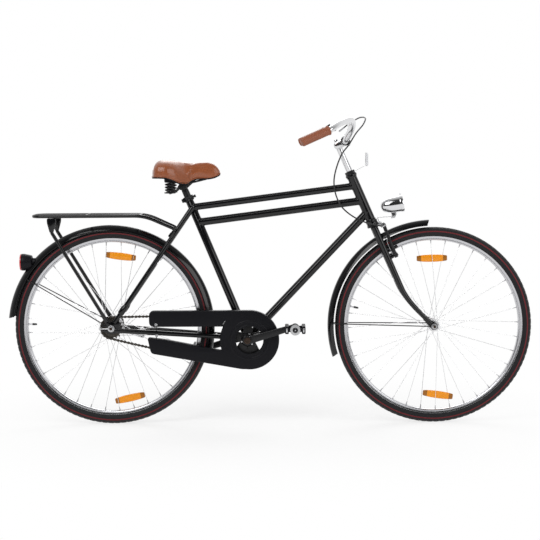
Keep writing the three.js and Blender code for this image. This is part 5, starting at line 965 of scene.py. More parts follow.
def rear_axle_end(side):
    """From the strut outwards: washer and domed nut; and the tensioner's screw and cap."""
    out = Y_AXIS * side
    face = REAR_AXLE + out * NUT_FACE
    skins = [washer(face, out, 5.1, 12, 2.4), nut(face + out * 2.4, out, 9, 7.2)]
    skins.append(turned([(8.4, 8.8), (7.6, 10.4), (5.1, 11), (5.1, 8)], face, out, 40))
    screw = REAR_AXLE + out * 72.7
    skins.append(rod(screw, screw - X_AXIS * 38, 2.2, sides=16))
    skins.append(block(REAR_AXLE + [-38, side * 66.4, 0], (4, 16, 19.8), 1.2, bevel=0.8))
    skins.append(nut(screw - X_AXIS * 40, -X_AXIS, 4.2, 3))
    return skins


axle_bar = rod(REAR_AXLE - Y_AXIS * 72, REAR_AXLE + Y_AXIS * 72, 5, sides=24)
dressed("rear_axle", "smooth", [axle_bar] + rear_axle_end(-1) + rear_axle_end(1), "aluminium", "frame")
thread = [(0, 8), (5.0, 8), (5.0, 13.2), (4.4, 14), (0, 14)]
piece("rear_axle_threads", [turned(thread, REAR_AXLE + Y_AXIS * side * NUT_FACE, Y_AXIS * side, 24)
                            for side in (-1, 1)], "oiled_bolt", "frame", slot="black_steel")

# %% [markdown]
# A coaster brake pushes against the frame through a flat arm from the hub, clipped to the left chain stay.

# %% Coaster brake arm
arm_tip = np.array([100, -41.05])
arm_middle = REAR_AXLE + [0, 49.5, 0]
arm = plate(link_outline((0, 0), arm_tip, 14, 7), arm_middle, X_AXIS, Z_AXIS, 3)
clip_place = arm_middle + [arm_tip[0], 4, arm_tip[1] + 5]
clip = block(clip_place, (12, 18, 11), 3)
clip_bolt = nut(clip_place + [0, 5.5, -4], Y_AXIS, 4.6, 3)
band = turned([(9.9, -5.5), (10.9, -5.5), (10.9, 5.5), (9.9, 5.5)], at(100, 51.5, 334.9), xyz(465, -33, -34),
              32, closed=True)
piece("coaster_arm_smooth", [arm, clip, clip_bolt, band], "aluminium", "frame",
      replaces=["coaster_brake_arm"])

# %% [markdown]
# The chain has 108 links of half an inch. Its rollers lie on the two pitch circles, where each chord is one
# link long, and each free run hangs in the flat arc that a whole number of links makes. So the links seat
# in the teeth, and the loop closes exactly.

# %% Where the chain's rollers lie
PITCH, CHAIN_LINE = 12.7, -44.0
RING_TEETH, COG_TEETH, LINKS = 44, 19, 108


def pitch_radius(teeth):
    return PITCH / (2 * math.sin(math.pi / teeth))


RING_RADIUS, COG_RADIUS = pitch_radius(RING_TEETH), pitch_radius(COG_TEETH)


def on_circle(centre, radius, angle):
    return centre + radius * upright(angle)


def hanging_run(start, end, spans):
    """Equal chords on a flat arc: the turn t between chords solves pitch sin(n t / 2) / sin(t / 2) = gap,
    found by halving an interval."""
    gap = np.linalg.norm(end - start)
    low, high = 0.0, math.pi / spans
    for _ in range(60):
        turn_angle = (low + high) / 2
        reach = PITCH * math.sin(spans * turn_angle / 2) / math.sin(turn_angle / 2)
        low, high = (turn_angle, high) if reach > gap else (low, turn_angle)
    heading = math.atan2(end[2] - start[2], end[0] - start[0])
    angle = heading + math.copysign(low, end[0] - start[0]) * (np.arange(spans - 1) - (spans - 1) / 2)
    return start + np.cumsum(PITCH * upright(angle), 0)


def roller_places():
    """All 108 places in order, with the turns at which the two wheels' tooth gaps lie."""
    between = BOTTOM_BRACKET - REAR_AXLE
    distance = np.linalg.norm(between)
    tilt = math.atan2(between[2], between[0])
    flare = math.asin((RING_RADIUS - COG_RADIUS) / distance)
    upper = tilt + math.pi / 2 + flare
    ring_step, cog_step = 2 * math.pi / RING_TEETH, 2 * math.pi / COG_TEETH
    ring_spans = int((math.pi + 2 * flare) // ring_step)
    ring = on_circle(BOTTOM_BRACKET, RING_RADIUS, upper - np.arange(ring_spans + 1) * ring_step)
    straight = math.sqrt(distance**2 - (RING_RADIUS - COG_RADIUS) ** 2)
    upper_spans = math.ceil(straight / PITCH)
    start = upper + (upper_spans * PITCH - straight) / COG_RADIUS
    cog_spans = int((math.pi - 2 * flare) // cog_step)
    cog = on_circle(REAR_AXLE, COG_RADIUS, start + (cog_spans - np.arange(cog_spans + 1)) * cog_step)
    lower_spans = LINKS - ring_spans - upper_spans - cog_spans
    places = np.concatenate([ring, hanging_run(ring[-1], cog[0], lower_spans), cog,
                             hanging_run(cog[-1], ring[0], upper_spans)])
    return places + [0, CHAIN_LINE, 0], upper, start


rollers, ring_phase, cog_phase = roller_places()
print(len(rollers), "rollers, closing link", np.linalg.norm(rollers[0] - rollers[-1]).round(2), "mm")

# %% [markdown]
# One plate of a link is an outline like a figure of eight, and one roller is a short drum. Each is made once
# with a few dozen faces and laid out along the loop: inner plates on every other link, outer plates between.

# %% Chain
def chain_plate():
    """Two half circles of radius 4.5 joined by a waist 2.2 from the middle line, 1.2 thick."""
    near, far = np.radians(np.linspace(70, 290, 6)), np.radians(np.linspace(-110, 110, 6))
    outline = np.concatenate([4.5 * around(near), [(PITCH / 2, -2.2)],
                              4.5 * around(far) + [PITCH, 0], [(PITCH / 2, 2.2)]])
    return shell(np.stack([xyz(outline[:, 0], across, outline[:, 1]) for across in (-0.6, 0.6)]))


def drum(radius, half, sides=10):
    return shell(np.stack([radius * upright(turn(sides)) + Y_AXIS * across for across in (-half, half)]))


along = unit(np.roll(rollers, -1, 0) - rollers)
axes = np.stack([along, np.broadcast_to(Y_AXIS, along.shape), np.cross(along, Y_AXIS)], 1)
chain = [scattered(chain_plate(), (rollers + Y_AXIS * side * offset)[first::2], axes[first::2])
         for first, offset in ((0, 2.3), (1, 3.7)) for side in (-1, 1)]
chain += [scattered(drum(3.6, 1.7), rollers, axes), scattered(drum(1.8, 5.0, 8), rollers, axes)]
dressed("chain", "links", chain, "chain_steel", "frame")

# %% [markdown]
# A chain wheel's teeth follow from the chain: between two rollers the tooth rises, and each roller sits in a
# round seat a little larger than itself.

# %% Chainring and sprocket
def toothed_rows(teeth, radius, phase, inner, thickness, per_tooth=14):
    """The outline's radius at distance s along the pitch circle from a tooth's middle: inside 2.15 mm it is
    pitch radius + 3.3 (1 - (s / 2.15)^2), and beyond that the seat's circle of radius 4.2 about a roller."""
    share = np.arange(teeth * per_tooth) / per_tooth
    angle = phase + share * 2 * np.pi / teeth
    s = np.abs((share % 1) - 0.5) * PITCH
    tip = radius + 3.3 * (1 - (s / 2.15) ** 2)
    seat = radius - np.sqrt(np.maximum(4.2**2 - (PITCH / 2 - s) ** 2, 0))
    outer = np.where(s < 2.15, tip, seat)
    ring = lambda reach, across: reach[:, None] * upright(angle) + Y_AXIS * across
    inner = np.full_like(angle, inner)
    half = thickness / 2
    return np.stack([ring(outer, -half * 0.5), ring(outer - 0.9, -half), ring(inner + 0.4, -half),
                     ring(inner, -half + 0.4), ring(inner, half - 0.4), ring(inner + 0.4, half),
                     ring(outer - 0.9, half), ring(outer, half * 0.5)])


ring_middle = BOTTOM_BRACKET + [0, CHAIN_LINE, 0]
CRANK_ANGLE, CRANK_LENGTH = math.radians(16.1), 175
rim_inner = RING_RADIUS - 19
chainring = [shell(toothed_rows(RING_TEETH, RING_RADIUS, ring_phase, rim_inner, 2.2) + ring_middle,
                   wrap_rows=True)]
for angle in CRANK_ANGLE + turn(5):
    tip = (rim_inner + 5) * around(angle)
    chainring.append(plate(link_outline((0, 0), tip, 20, 11), ring_middle - Y_AXIS * 1.2, X_AXIS, Z_AXIS, 3.6,
                           1))
    bolt_at = ring_middle + [tip[0] * 0.985, -3, tip[1] * 0.985]
    chainring.append(turned([(5.2, 0), (5.2, 1.4), (4.6, 2), (2.4, 2), (2.2, 1.2), (0, 1.2)], bolt_at,
                            -Y_AXIS, 20))
bow = np.radians(np.linspace(236, 300, 14))
web = np.concatenate([around(bow) * (rim_inner + 4), [(6, -12), (-6, -12)]])
chainring.append(plate(web, ring_middle - Y_AXIS * 1.0, X_AXIS, Z_AXIS, 3.2, 0.8))
hub_profile = [(8.4, -1.2), (24, -1.2), (24, 4), (22, 6), (18.5, 12.6), (17.5, 13.4), (8.4, 13.4)]
chainring.append(turned(hub_profile, ring_middle, -Y_AXIS, 56, closed=True))
dressed("chainring", "toothed", chainring, "black_steel", "crank_set")

cog_middle = REAR_AXLE + [0, CHAIN_LINE, 0]
cog = [shell(toothed_rows(COG_TEETH, COG_RADIUS, cog_phase, 15, 2.2) + cog_middle, wrap_rows=True),
       turned([(9.6, -1.1), (21, -1.1), (21, 4.6), (19.8, 6), (9.6, 6)], cog_middle, Y_AXIS, 48, closed=True),
       turned([(15.5, 0), (15.5, 1.9), (14.6, 2.4), (12.5, 2.4), (12.5, 0)], cog_middle, -Y_AXIS, 40,
              closed=True)]
dressed("rear_sprocket", "toothed", cog, "chain_steel", "sprocket")

# %% [markdown]
# A crank is a forged arm: thick at its boss on the axle, slimmer at the pedal's eye, with rounded edges. A
# dark cap covers the bolt that holds it.

# %% Cranks
def crank_end(side):
    return BOTTOM_BRACKET - side * CRANK_LENGTH * upright(CRANK_ANGLE)


def crank(side):
    out = Y_AXIS * side
    end = crank_end(side)
    reach = (end - BOTTOM_BRACKET)[[0, 2]]
    arm = plate(link_outline((0, 0), reach, 14.5, 10), BOTTOM_BRACKET + out * 75, X_AXIS, Z_AXIS, 13, 3.6)
    eye = turned([(0, 68.6), (10.6, 68.6), (11.5, 69.6), (11.5, 80.4), (10.6, 81.5), (0, 81.5)], end, out, 40)
    boss = turned([(8.3, 58), (15.6, 58), (17, 59.4), (17, 82.4), (15.8, 84.4), (12.6, 85), (12, 83.6),
                   (8.3, 83.4)], BOTTOM_BRACKET, out, 56, closed=True)
    spindle = turned([(0, 80), (8, 80), (8, 90), (6, 92), (6, 179), (5, 180.6), (0, 180.6)], end, out, 32)
    return [arm, eye, boss, spindle]


cap_profile = [(11.4, -2), (11.4, 1.2), (10.4, 2.2), (6.6, 2.5), (6.2, 1.4), (3.6, 1.2), (3.4, 0.2), (0, 0.2)]
for hand, side in SIDES:
    dressed(hand + "_crank", "forged", crank(side), "black_steel", "crank_set")
    piece(hand + "_crank_cap", [turned(cap_profile, BOTTOM_BRACKET + [0, side * 84, 0], Y_AXIS * side, 40)],
          "oiled_bolt", "crank_set", slot="black_steel")
axle = turned(mirrored([(0, -77.8), (7.2, -77.8), (8, -77)]), BOTTOM_BRACKET, Y_AXIS, 40)
dressed("bottom_bracket_axle", "smooth", [axle], "bolt_steel", "crank_set", slot="black_steel")

# %% [markdown]
# A pedal turns on its spindle: a barrel, two ribbed rubber treads held between end plates, and a bright round
# cap outside.

# %% Pedals
def tread(middle, ahead):
    """A rubber block with grooves across both its faces: along its length the half height dips where a
    raised cosine is near its top."""
    length = np.linspace(-43.5, 43.5, 131)
    groove = np.clip(4 * (np.cos(length * 2 * np.pi / 9.7) - 0.72), 0, 1)
    half = 13.0 - 2.0 * groove
    angle = turn(28, math.pi / 4)
    grid = xyz(6.5 * boxy(np.cos(angle), 0.32), length[:, None], half[:, None] * boxy(np.sin(angle), 0.32))
    return shell(grid + middle + X_AXIS * ahead)


def pedal(side):
    end = crank_end(side)
    middle = end + [0, side * 142, 0]
    rubber = [tread(middle, ahead) for ahead in (-29, 29)]
    barrel = turned([(6.6, 97.2), (12.5, 97.2), (14, 99), (14, 103), (12.2, 106), (12.2, 178), (14, 181),
                     (14, 184), (12.5, 186), (6.6, 186)], end, Y_AXIS * side, 40, closed=True)
    bars = [plate(box_outline(60, 12, 4), end + [0, side * place, 0], X_AXIS, Z_AXIS, 3.2, 0.8)
            for place in (99, 185)]
    cap = turned([(0, 183), (17.4, 183), (18.4, 184), (18.4, 185.6), (17.2, 186.8), (9.4, 186.9),
                  (8.4, 185.6), (3.2, 185.4), (2.4, 186.6), (0, 186.8)], end, Y_AXIS * side, 48)
    inserts = [block(end + [ahead, side * 186, 0], (5, 15, 1.8), 1, bevel=0.4) for ahead in (-29, 29)]
    return rubber + [barrel] + bars, [cap] + inserts


for hand, side in SIDES:
    solid, cap = pedal(side)
    dressed(hand + "_pedal", "treads", solid, "satin_plastic", "pedal_" + hand)
    piece(hand + "_pedal_cap", cap, "aluminium", "pedal_" + hand)

# %% [markdown]
# Three bright rivets hold the chain wheel to the crank's boss, close round it.

# %% Rivets
rivet_profile = [(0, -2), (4, -2), (4, 0.8), (3.2, 1.8), (0, 2.2)]
rivets = [turned(rivet_profile, BOTTOM_BRACKET + 21.5 * upright(angle) - Y_AXIS * 57.5, -Y_AXIS, 24)
          for angle in np.radians([71.6, -42.0, 195.0])]
piece("chainring_rivets", rivets, "bolt_steel", "crank_set", slot="black_steel")

# %% [markdown]
# A tyre's section is a smooth line through a few measured places: tread, shoulder, widest place, foot and
# bead. Round the wheel the same section is repeated at 960 angles, and its outer part is lowered where a
# groove runs: a zigzag line on each side of the middle rib, and gaps between the shoulder blocks. Each
# point also carries its distance from the axle, from which the rubber's finish makes the red stripe.

# %% Tyres
TREAD_BLOCKS = 96


def tyre(axle, rows=960):
    half = curve_through([(349.0, 0.0), (348.3, 6), (343.4, 14.4), (338, 17.8), (331, 19), (323, 17.2),
                          (317.9, 13.4), (314, 10.2), (311.6, 7.6)], 4)
    section = np.concatenate([half[::-1], half[1:] * [1, -1]])
    angle = turn(rows)[:, None]
    reach, across = section[None, :, 0], section[None, :, 1]
    beat = angle * TREAD_BLOCKS / (2 * np.pi)
    half_step = 0.5 * (across > 0)
    gap = np.clip((np.abs((beat + half_step) % 1 - 0.5) - 0.33) * 12, 0, 1)
    shoulder = np.clip((np.abs(across) - 8.5) / 1.2, 0, 1) * np.clip((17.3 - np.abs(across)) / 1.5, 0, 1)
    zigzag = 6.8 + 0.9 * (np.abs((beat * 2) % 2 - 1) * 2 - 1)
    rib_groove = np.clip(1.25 - np.abs(np.abs(across) - zigzag), 0, 1)
    on_tread = reach > 339
    rib = 1.1 * gap * (np.abs(across) < 8.5)
    lowered = np.where(on_tread, np.maximum(np.maximum(1.5 * gap * shoulder, rib), 1.2 * rib_groove), 0)
    radius = reach - lowered
    grid = axle + xyz(radius * np.cos(angle), across, radius * np.sin(angle))
    return shell(grid, wrap_rows=True), np.broadcast_to(reach, radius.shape).ravel()


for name, axle, body in (("rear_tyre", REAR_AXLE, "rear_wheel"), ("front_tyre", FRONT_AXLE, "front_wheel")):
    skin, reach = tyre(axle)
    dressed(name, "treaded", [skin], "tyre_rubber", body, values=reach)

# %% [markdown]
# Each wheel is laced with 36 spokes, three across: on each side half lead and half trail, leaving the
# flange by its inner or its outer face. Each ends in a short nipple at the rim, where the hole has an eyelet.
# The rim is one turned profile, with the valve's stem standing inwards.

# %% Rims, spokes and hubs
SPOKES, RIM_INNER = 36, 302.0
RIM_PROFILE = mirrored([(311, -8), (314, -9.6), (316.4, -12), (317, -12.6), (316.6, -13), (315.4, -13),
                        (314.8, -12.6), (308.8, -12.5), (308.2, -11.0), (306.9, -11.0), (306.4, -12.2),
                        (304.8, -11.5), (303.2, -9.5), (302.2, -7), (302, -4)])


def spoke_ends(flange_radius, flange_spread, turned_by):
    """Where the spokes start on the flanges and end at the rim, about the axle, with the wheel turned by an
    angle from straight."""
    number = np.arange(SPOKES)
    side = np.where(number % 2, 1, -1)
    index = number // 2
    lead = np.where(index % 2, 1, -1)
    hub_angle = 2 * np.pi * (index + 0.5 * (side > 0)) / (SPOKES // 2) + math.radians(turned_by)
    rim_angle = hub_angle + lead * math.radians(60)
    hole, rim = flange_radius - 4, RIM_INNER - 0.3
    start = xyz(hole * np.cos(hub_angle), side * (flange_spread + lead * 2.2), hole * np.sin(hub_angle))
    end = xyz(rim * np.cos(rim_angle), side * 1.5, rim * np.sin(rim_angle))
    return start, end, side, lead


def lacing(axle, flange_radius, flange_spread, turned_by):
    """Spokes, their heads on the flanges, nipples and eyelets."""
    start, end, side, lead = spoke_ends(flange_radius, flange_spread, turned_by)
    start, end = start + axle, end + axle
    inwards = unit(start - end)
    spokes = rods(start, end + inwards * 6, 0.95, 8)
    bends = rods(start, start - Y_AXIS * (side * lead * 5.0)[:, None], 1.1, 8)
    heads = rods(start - Y_AXIS * (side * lead * 3.8)[:, None], start - Y_AXIS * (side * lead * 5.4)[:, None],
                 2.2, 10, 1.3)
    nipples = rods(end + inwards * 12, end, 1.35, 8, 2.0)
    radial = unit((end - axle) * [1, 0, 1])
    eyelets = rods(end + radial * 0.6, end - radial * 1.2, 3.6, 12, 2.8)
    return [spokes, bends, heads], [nipples, eyelets]


def hub(axle, flange_radius, flange_spread, shell_radius, shell_half, cone_half, cone_radius, bore):
    """Turned: bearing cone, shell, rounded flange, a barrel that is slimmest in the middle, and back."""
    half = [(bore, -cone_half), (cone_radius - 1, -cone_half), (cone_radius, -cone_half + 1),
            (cone_radius, -shell_half - 1.5), (shell_radius - 2.5, -shell_half - 1),
            (shell_radius, -shell_half + 1), (shell_radius, -flange_spread - 2.4),
            (shell_radius + 1.5, -flange_spread - 1.6), (flange_radius - 1, -flange_spread - 1.6),
            (flange_radius, -flange_spread - 0.8), (flange_radius, -flange_spread + 0.8),
            (flange_radius - 1, -flange_spread + 1.6), (shell_radius + 1.5, -flange_spread + 1.6),
            (shell_radius - 0.5, -flange_spread + 3.4), (shell_radius - 1.5, -flange_spread / 2),
            (shell_radius - 1.8, -3)]
    return turned(mirrored(half), axle, Y_AXIS, 72, closed=True)


def valve(axle, degrees):
    """The valve's stem with its nut and a black dust cap."""
    out = upright(math.radians(degrees))
    base = axle + out * RIM_INNER
    stem = turned([(4.6, -1.0), (4.6, 2.0), (3.2, 2.6), (3.0, 3.4), (3.0, 14), (0, 14)], base, -out, 16)
    cap = turned([(0, 29.8), (2.3, 29.4), (3.1, 28.2), (3.6, 22), (4.0, 14.4), (3.8, 13.4), (0, 13.4)], base,
                 -out, 16)
    return stem, cap


WHEELS = [("rear", REAR_AXLE, "rear_wheel", (34, 27), (24, 35, 46, 9, 5.4), 178, 33.8),
          ("front", FRONT_AXLE, "front_wheel", (20, 31), (11, 34, 47, 7.5, 4.9), 167, 11.6)]
for name, axle, body, flange, barrel, valve_angle, turned_by in WHEELS:
    spokes, fittings = lacing(axle, *flange, turned_by)
    stem, cap = valve(axle, valve_angle)
    dressed(name + "_rim", "hoop", [turned(RIM_PROFILE, axle, Y_AXIS, 180, closed=True), stem], "rim_alloy",
            body, slot="aluminium")
    piece(name + "_valve_cap", [cap], "cable_black", body)
    piece(name + "_nipples", fittings, "bolt_steel", body, slot="aluminium")
    dressed(name + "_hub", "laced", [hub(axle, *flange, *barrel)] + spokes, "spoke_steel", body,
            slot="aluminium")

# %% [markdown]
# The amber reflectors clip between the spokes. Each is deepest in its middle and narrows to its ends, where
# the clips' darker zones are; the lens between them bulges a little on both faces.

# %% Spoke reflectors
REFLECTOR_HALF_LENGTH = 54


def reflector(axle, share, degrees, lean=0.0):
    """A grid of length u by turn round the section v: half height 13 (1 - 0.3 |u|^2.4), half thickness 6.2
    with the ends drawn in, both by a rounded-box power of cosine and sine."""
    middle = axle + upright(math.radians(degrees)) * share * RIM_INNER
    out = upright(math.radians(degrees + lean))
    along = np.cross(Y_AXIS, out)
    u = np.sin(np.linspace(-np.pi / 2, np.pi / 2, 73))
    end = np.sqrt(np.clip((1 - np.abs(u)) / 0.06, 0, 1))
    height = 13 * (1 - 0.3 * np.abs(u) ** 2.4) * (0.75 + 0.25 * end)
    length = REFLECTOR_HALF_LENGTH * u
    ribs = 0.5 * (np.abs(u) > 0.74) * (1 + np.cos(length * 2 * np.pi / 3.2))
    thickness = (6.2 - 0.9 * (np.abs(u) > 0.735) - ribs * 0.6) * (0.4 + 0.6 * end)
    v = turn(32, math.pi / 4)
    high, across = height[:, None] * boxy(np.sin(v), 0.3), thickness[:, None] * boxy(np.cos(v), 0.3)
    grid = middle + length[:, None, None] * along + high[..., None] * out + across[..., None] * Y_AXIS
    return shell(grid), np.repeat(np.abs(length), 32)


REFLECTORS = [("rear_reflector_upper", REAR_AXLE, "rear_wheel", 0.8378, 83),
              ("rear_reflector_lower", REAR_AXLE, "rear_wheel", 0.8742, -77.5),
              ("front_reflector_upper", FRONT_AXLE, "front_wheel", 0.788, 91),
              ("front_reflector_lower", FRONT_AXLE, "front_wheel", 0.8345, -86, -12)]
for name, axle, body, *place in REFLECTORS:
    skin, reach = reflector(axle, *place)
    dressed(name, "lens", [skin], "amber_lens", body, values=reach)

# %% [markdown]
# Everything that steers is drawn in the head tube's own directions: forwards, across, and up along it.
# The fork has two blades that run straight down and then sweep forwards to the axle, getting thinner.

# %% Fork
def laid(places):
    """Places given as (forward, across, up) in the steering's directions, as places in the world."""
    return HEAD_BOTTOM + np.asarray(places, float) @ np.stack([HEAD_FORWARD, Y_AXIS, HEAD_UP])


def steer_plate(outline, across, thickness, bevel=1.0):
    return plate(outline, HEAD_BOTTOM + Y_AXIS * across, HEAD_FORWARD, HEAD_UP, thickness, bevel)


FORK_FOOT = np.array([52.2, 51.0, -431.7])


def blade(side):
    """Straight, then a bow with one control place: (1-t)^2 a + 2 (1-t) t b + t^2 c."""
    bend, control, end = np.array([(0, 46, -259), (0, 46, -315), FORK_FOOT + [-5, 0, 12]])
    straight = np.linspace((0, 38.5, -26), bend, 12)[:-1]
    t = np.linspace(0, 1, 28)[:, None]
    bow = (1 - t) ** 2 * bend + 2 * (1 - t) * t * control + t**2 * end
    path = laid(np.concatenate([straight, bow]) * [1, side, 1])
    share = np.linspace(0, 1, len(path))
    return tube(path, 12 - 4.6 * share, 32)


fork = [blade(-1), blade(1), rod(laid((0, -46, -24)), laid((0, 46, -24)), 13.5, bevel=4.5, sides=48),
        turned([(12.9, -24), (21, -24), (22, -22.6), (22, -17), (20.4, -15.6), (19.6, -9.4), (12.9, -9.4)],
               HEAD_BOTTOM, HEAD_UP, 56, closed=True)]
for side in (-1, 1):
    foot = FORK_FOOT * [1, side, 1]
    fork.append(plate(link_outline((-20, 40), (0, 0), 6.5, 13), laid(foot), HEAD_FORWARD, HEAD_UP, 4, 1))
    boss = laid((0, side * 38.5, -146))
    fork.append(turned([(0, 0), (8.4, 6), (7.2, 12), (6.4, 21.2), (3.6, 21.5), (3.5, 35), (0, 35.4)], boss,
                       HEAD_FORWARD, 28))
dressed("fork", "smooth", fork, "frame_paint", "steering")

fittings = []
for side in (-1, 1):
    out = Y_AXIS * side
    fittings += [washer(FRONT_AXLE + out * 56.4, out, 4.7, 10.4, 2.0),
                 nut(FRONT_AXLE + out * 58.4, out, 8.4, 8.6, Z_AXIS)]
fittings.append(turned(mirrored([(0, -70.3), (4, -70.3), (4.5, -69.6)]), FRONT_AXLE, Y_AXIS, 24))
dressed("front_axle", "nuts", fittings, "bolt_steel", "steering", slot="chain_steel")
thread = [(0, 67.2), (4.7, 67.2), (4.7, 69.9), (4.2, 70.5), (0, 70.5)]
piece("front_axle_threads", [turned(thread, FRONT_AXLE, Y_AXIS * side, 24) for side in (-1, 1)], "oiled_bolt",
      "steering", slot="black_steel")

# %% [markdown]
# The quill stem's chromed shaft rises from the head tube into a forged head that clamps the bar. The lock
# nut under it is black, and holds the bright strip that carries the front reflector.

# %% Stem, lock nut and front reflector
quill = turned([(0, 107), (10, 107), (11.1, 109), (11.1, 292), (0, 292)], HEAD_BOTTOM, HEAD_UP, 48)
neck = steer_plate(link_outline((0, 289), (29.5, 293), 14.8, 15.6, 12), 0, 25, 6)
clamp = turned(mirrored([(11.3, -22), (15.6, -22), (17, -20.6), (17.4, -8)]), laid((29.5, 0, 293)), Y_AXIS,
               64, closed=True)
lug = block(laid((36.5, 0, 283)), (13, 17, 20), 3, HEAD_FORWARD, HEAD_UP, 1.6)
bolt = turned([(0, 300), (6.9, 300), (6.9, 309.6), (6, 311), (3.4, 311), (3.2, 305), (0, 305)], HEAD_BOTTOM,
              HEAD_UP, 32)
screw = turned([(0, 271.5), (4.6, 271.5), (4.6, 275.6), (0, 275.6)], laid((37.5, 0, 0)), HEAD_UP, 24)
dressed("stem", "forged", [quill, neck, clamp, lug, bolt, screw], "chrome", "steering")

lock_nut = plate(hexagon(18), laid((0, 0, 183.3)), HEAD_FORWARD, Y_AXIS, 11.6, 1.2)
collar = turned([(12.8, 168.6), (19, 168.6), (19.6, 169.4), (19.6, 176.4), (18.6, 177.2), (12.8, 177.2)],
                HEAD_BOTTOM, HEAD_UP, 56, closed=True)
piece("head_lock_nut", [lock_nut, collar], "black_steel", "steering", replaces=["front_reflector_bracket"])


def strap(path, width, thickness=2.4):
    """A flat strip carried along a path that lies in the bike's upright plane: a rounded box across it."""
    path = np.asarray(path, float)
    ahead = unit(np.gradient(path, axis=0))
    normal = np.cross(ahead, Y_AXIS)
    v = turn(20, math.pi / 4)
    across, high = width / 2 * boxy(np.sin(v), 0.35), thickness / 2 * boxy(np.cos(v), 0.35)
    return shell(path[:, None] + across[None, :, None] * Y_AXIS + high[None, :, None] * normal[:, None])


def bent(corners, reach=4.0):
    """A steering line (forward, up) with rounded corners, in the world."""
    line = rounded(np.asarray(corners, float), reach)
    return laid(xyz(line[:, 0], 0, line[:, 1]))


reflector_middle = laid((72.8, 0, 203.2))
foot = laid((58, 0, 185.3))
bracket_line = np.stack([foot, foot + [7.5, 0, 3.0], reflector_middle + [-3.4, 0, -10],
                         reflector_middle + [-3.4, 0, 14]])
arm = np.concatenate([laid([(12, 0, 182.5), (30, 0, 183.6)]), foot[None] - [2, 0, 0.8], bracket_line[1:]])
piece("front_reflector_strip", [strap(rounded(arm, 3), 15, 1.8)], "aluminium", "steering", slot="black_steel")
housing = block(reflector_middle - [0.6, 0, 0], (90, 47, 4.6), 7, Y_AXIS, Z_AXIS, 1.2)
piece("front_reflector_housing", [housing], "pale_plastic", "steering", slot="clear_reflector")
lens = block(reflector_middle + [2.0, 0, 0], (84, 41, 2.4), 5, Y_AXIS, Z_AXIS, 0.8)
dressed("front_reflector", "lens", [lens], "clear_reflector", "steering")

# %% [markdown]
# The bar is one bent tube: it leaves the clamp, swings out and up, then back to the hands. The path is a
# smooth line through the measured places, the same on both sides.

# %% Bar and grips
half_bar = np.array([(29.5, 26, 293), (67.3, 76, 325.5), (74, 131, 352), (32, 214, 358), (-10, 262, 352),
                     (-63, 281, 352), (-111.3, 298.3, 352)])
bar_path = laid(curve_through(np.concatenate([half_bar[::-1], [(29.5, 0, 293)], half_bar * [1, -1, 1]]), 12))
dressed("handlebar", "bent", [tube(bar_path, 11.1, 40)], "chrome", "steering")


def grip(side):
    """Turned: a raised ring, then a body with shallow bands, and a rounded end."""
    start, end = laid((-10, side * 262, 352)), laid((-116, side * 300, 352))
    length = np.linalg.norm(end - start)
    bands = [(radius, place) for k in range(14) for radius, place in
             ((15.5, 14 + 6.5 * k), (15.1, 15 + 6.5 * k), (15.1, 15.7 + 6.5 * k), (15.5, 16.7 + 6.5 * k))]
    profile = [(11.3, 5), (15.8, 5), (16.8, 6), (16.8, 9), (15.9, 10.2), (15.4, 11)] + bands + [
        (15.5, length - 5), (15.2, length - 2.2), (14, length - 0.6), (12.4, length), (0, length)]
    return turned(profile, start, unit(end - start), 56)


for hand, side in SIDES:
    dressed(hand + "_grip", "banded", [grip(side)], "tan_grip", "steering")

# %% [markdown]
# The brake lever hangs on the left of the bar, so from the photographed side only its black bracket and a
# little of its blade show. The blade is a flat bar that bends to follow the grip.

# %% Brake lever
bar_place, bar_next = np.array([-10.0, 262, 352]), np.array([32.0, 214, 358])
bracket_middle = bar_place + 22 * unit(bar_next - bar_place)
bar_line = unit(laid(bar_next) - laid(bar_place))
PIVOT = np.array([22.0, 294, 346])
ring = turned(mirrored([(11.4, -8), (14, -8), (15, -7)]), laid(bracket_middle), bar_line, 48, closed=True)
bracket = [ring, rod(laid(bracket_middle + [2, 10, -3]), laid(PIVOT), 6, 5.2, bevel=1.6),
           rod(laid(bracket_middle + [0, 10, -10]), laid(bracket_middle + [18, 16, -12]), 5, 4.4, bevel=1.2),
           rod(laid(PIVOT + [0, 0, -8.8]), laid(PIVOT + [0, 0, 8.8]), 3, bevel=0.6)]
piece("brake_lever_clamp", bracket, "satin_plastic", "steering", replaces=["brake_lever_bracket"])
lever_tip = np.array([-46.0, 309, 342])
knee = PIVOT + 0.3 * (lever_tip - PIVOT) + [0, 6, 0]
lever_path = laid(curve_through([PIVOT, knee, PIVOT + 0.62 * (lever_tip - PIVOT) + [0, 4.5, 0], lever_tip],
                                10))
eye = turned(mirrored([(3.1, -3.6), (6.6, -3.6), (7, -3.2)]), laid(PIVOT), HEAD_UP, 32, closed=True)
dressed("brake_lever", "blade", [tube(lever_path, np.linspace(4, 3.2, len(lever_path)), 24),
                                 turned([(0, -4.2), (3, -3), (4.2, 0), (3, 3), (0, 4.2)], lever_path[-1],
                                        HEAD_UP, 24), eye], "satin_plastic", "lever")

# %% [markdown]
# The linear-pull brake's arms turn on bosses on the fork. Each carries a rubber pad that lies along the rim.
# A bright spring wire stands behind each arm, and a bright curved guide leads the cable in.

# %% Front brake
ARM_PIVOT, ARM_TOP = np.array([29.5, 38.5, -146]), np.array([35.0, 33, -34])
PAD_PLACE = np.array([22.73, 19.0, -124.83])


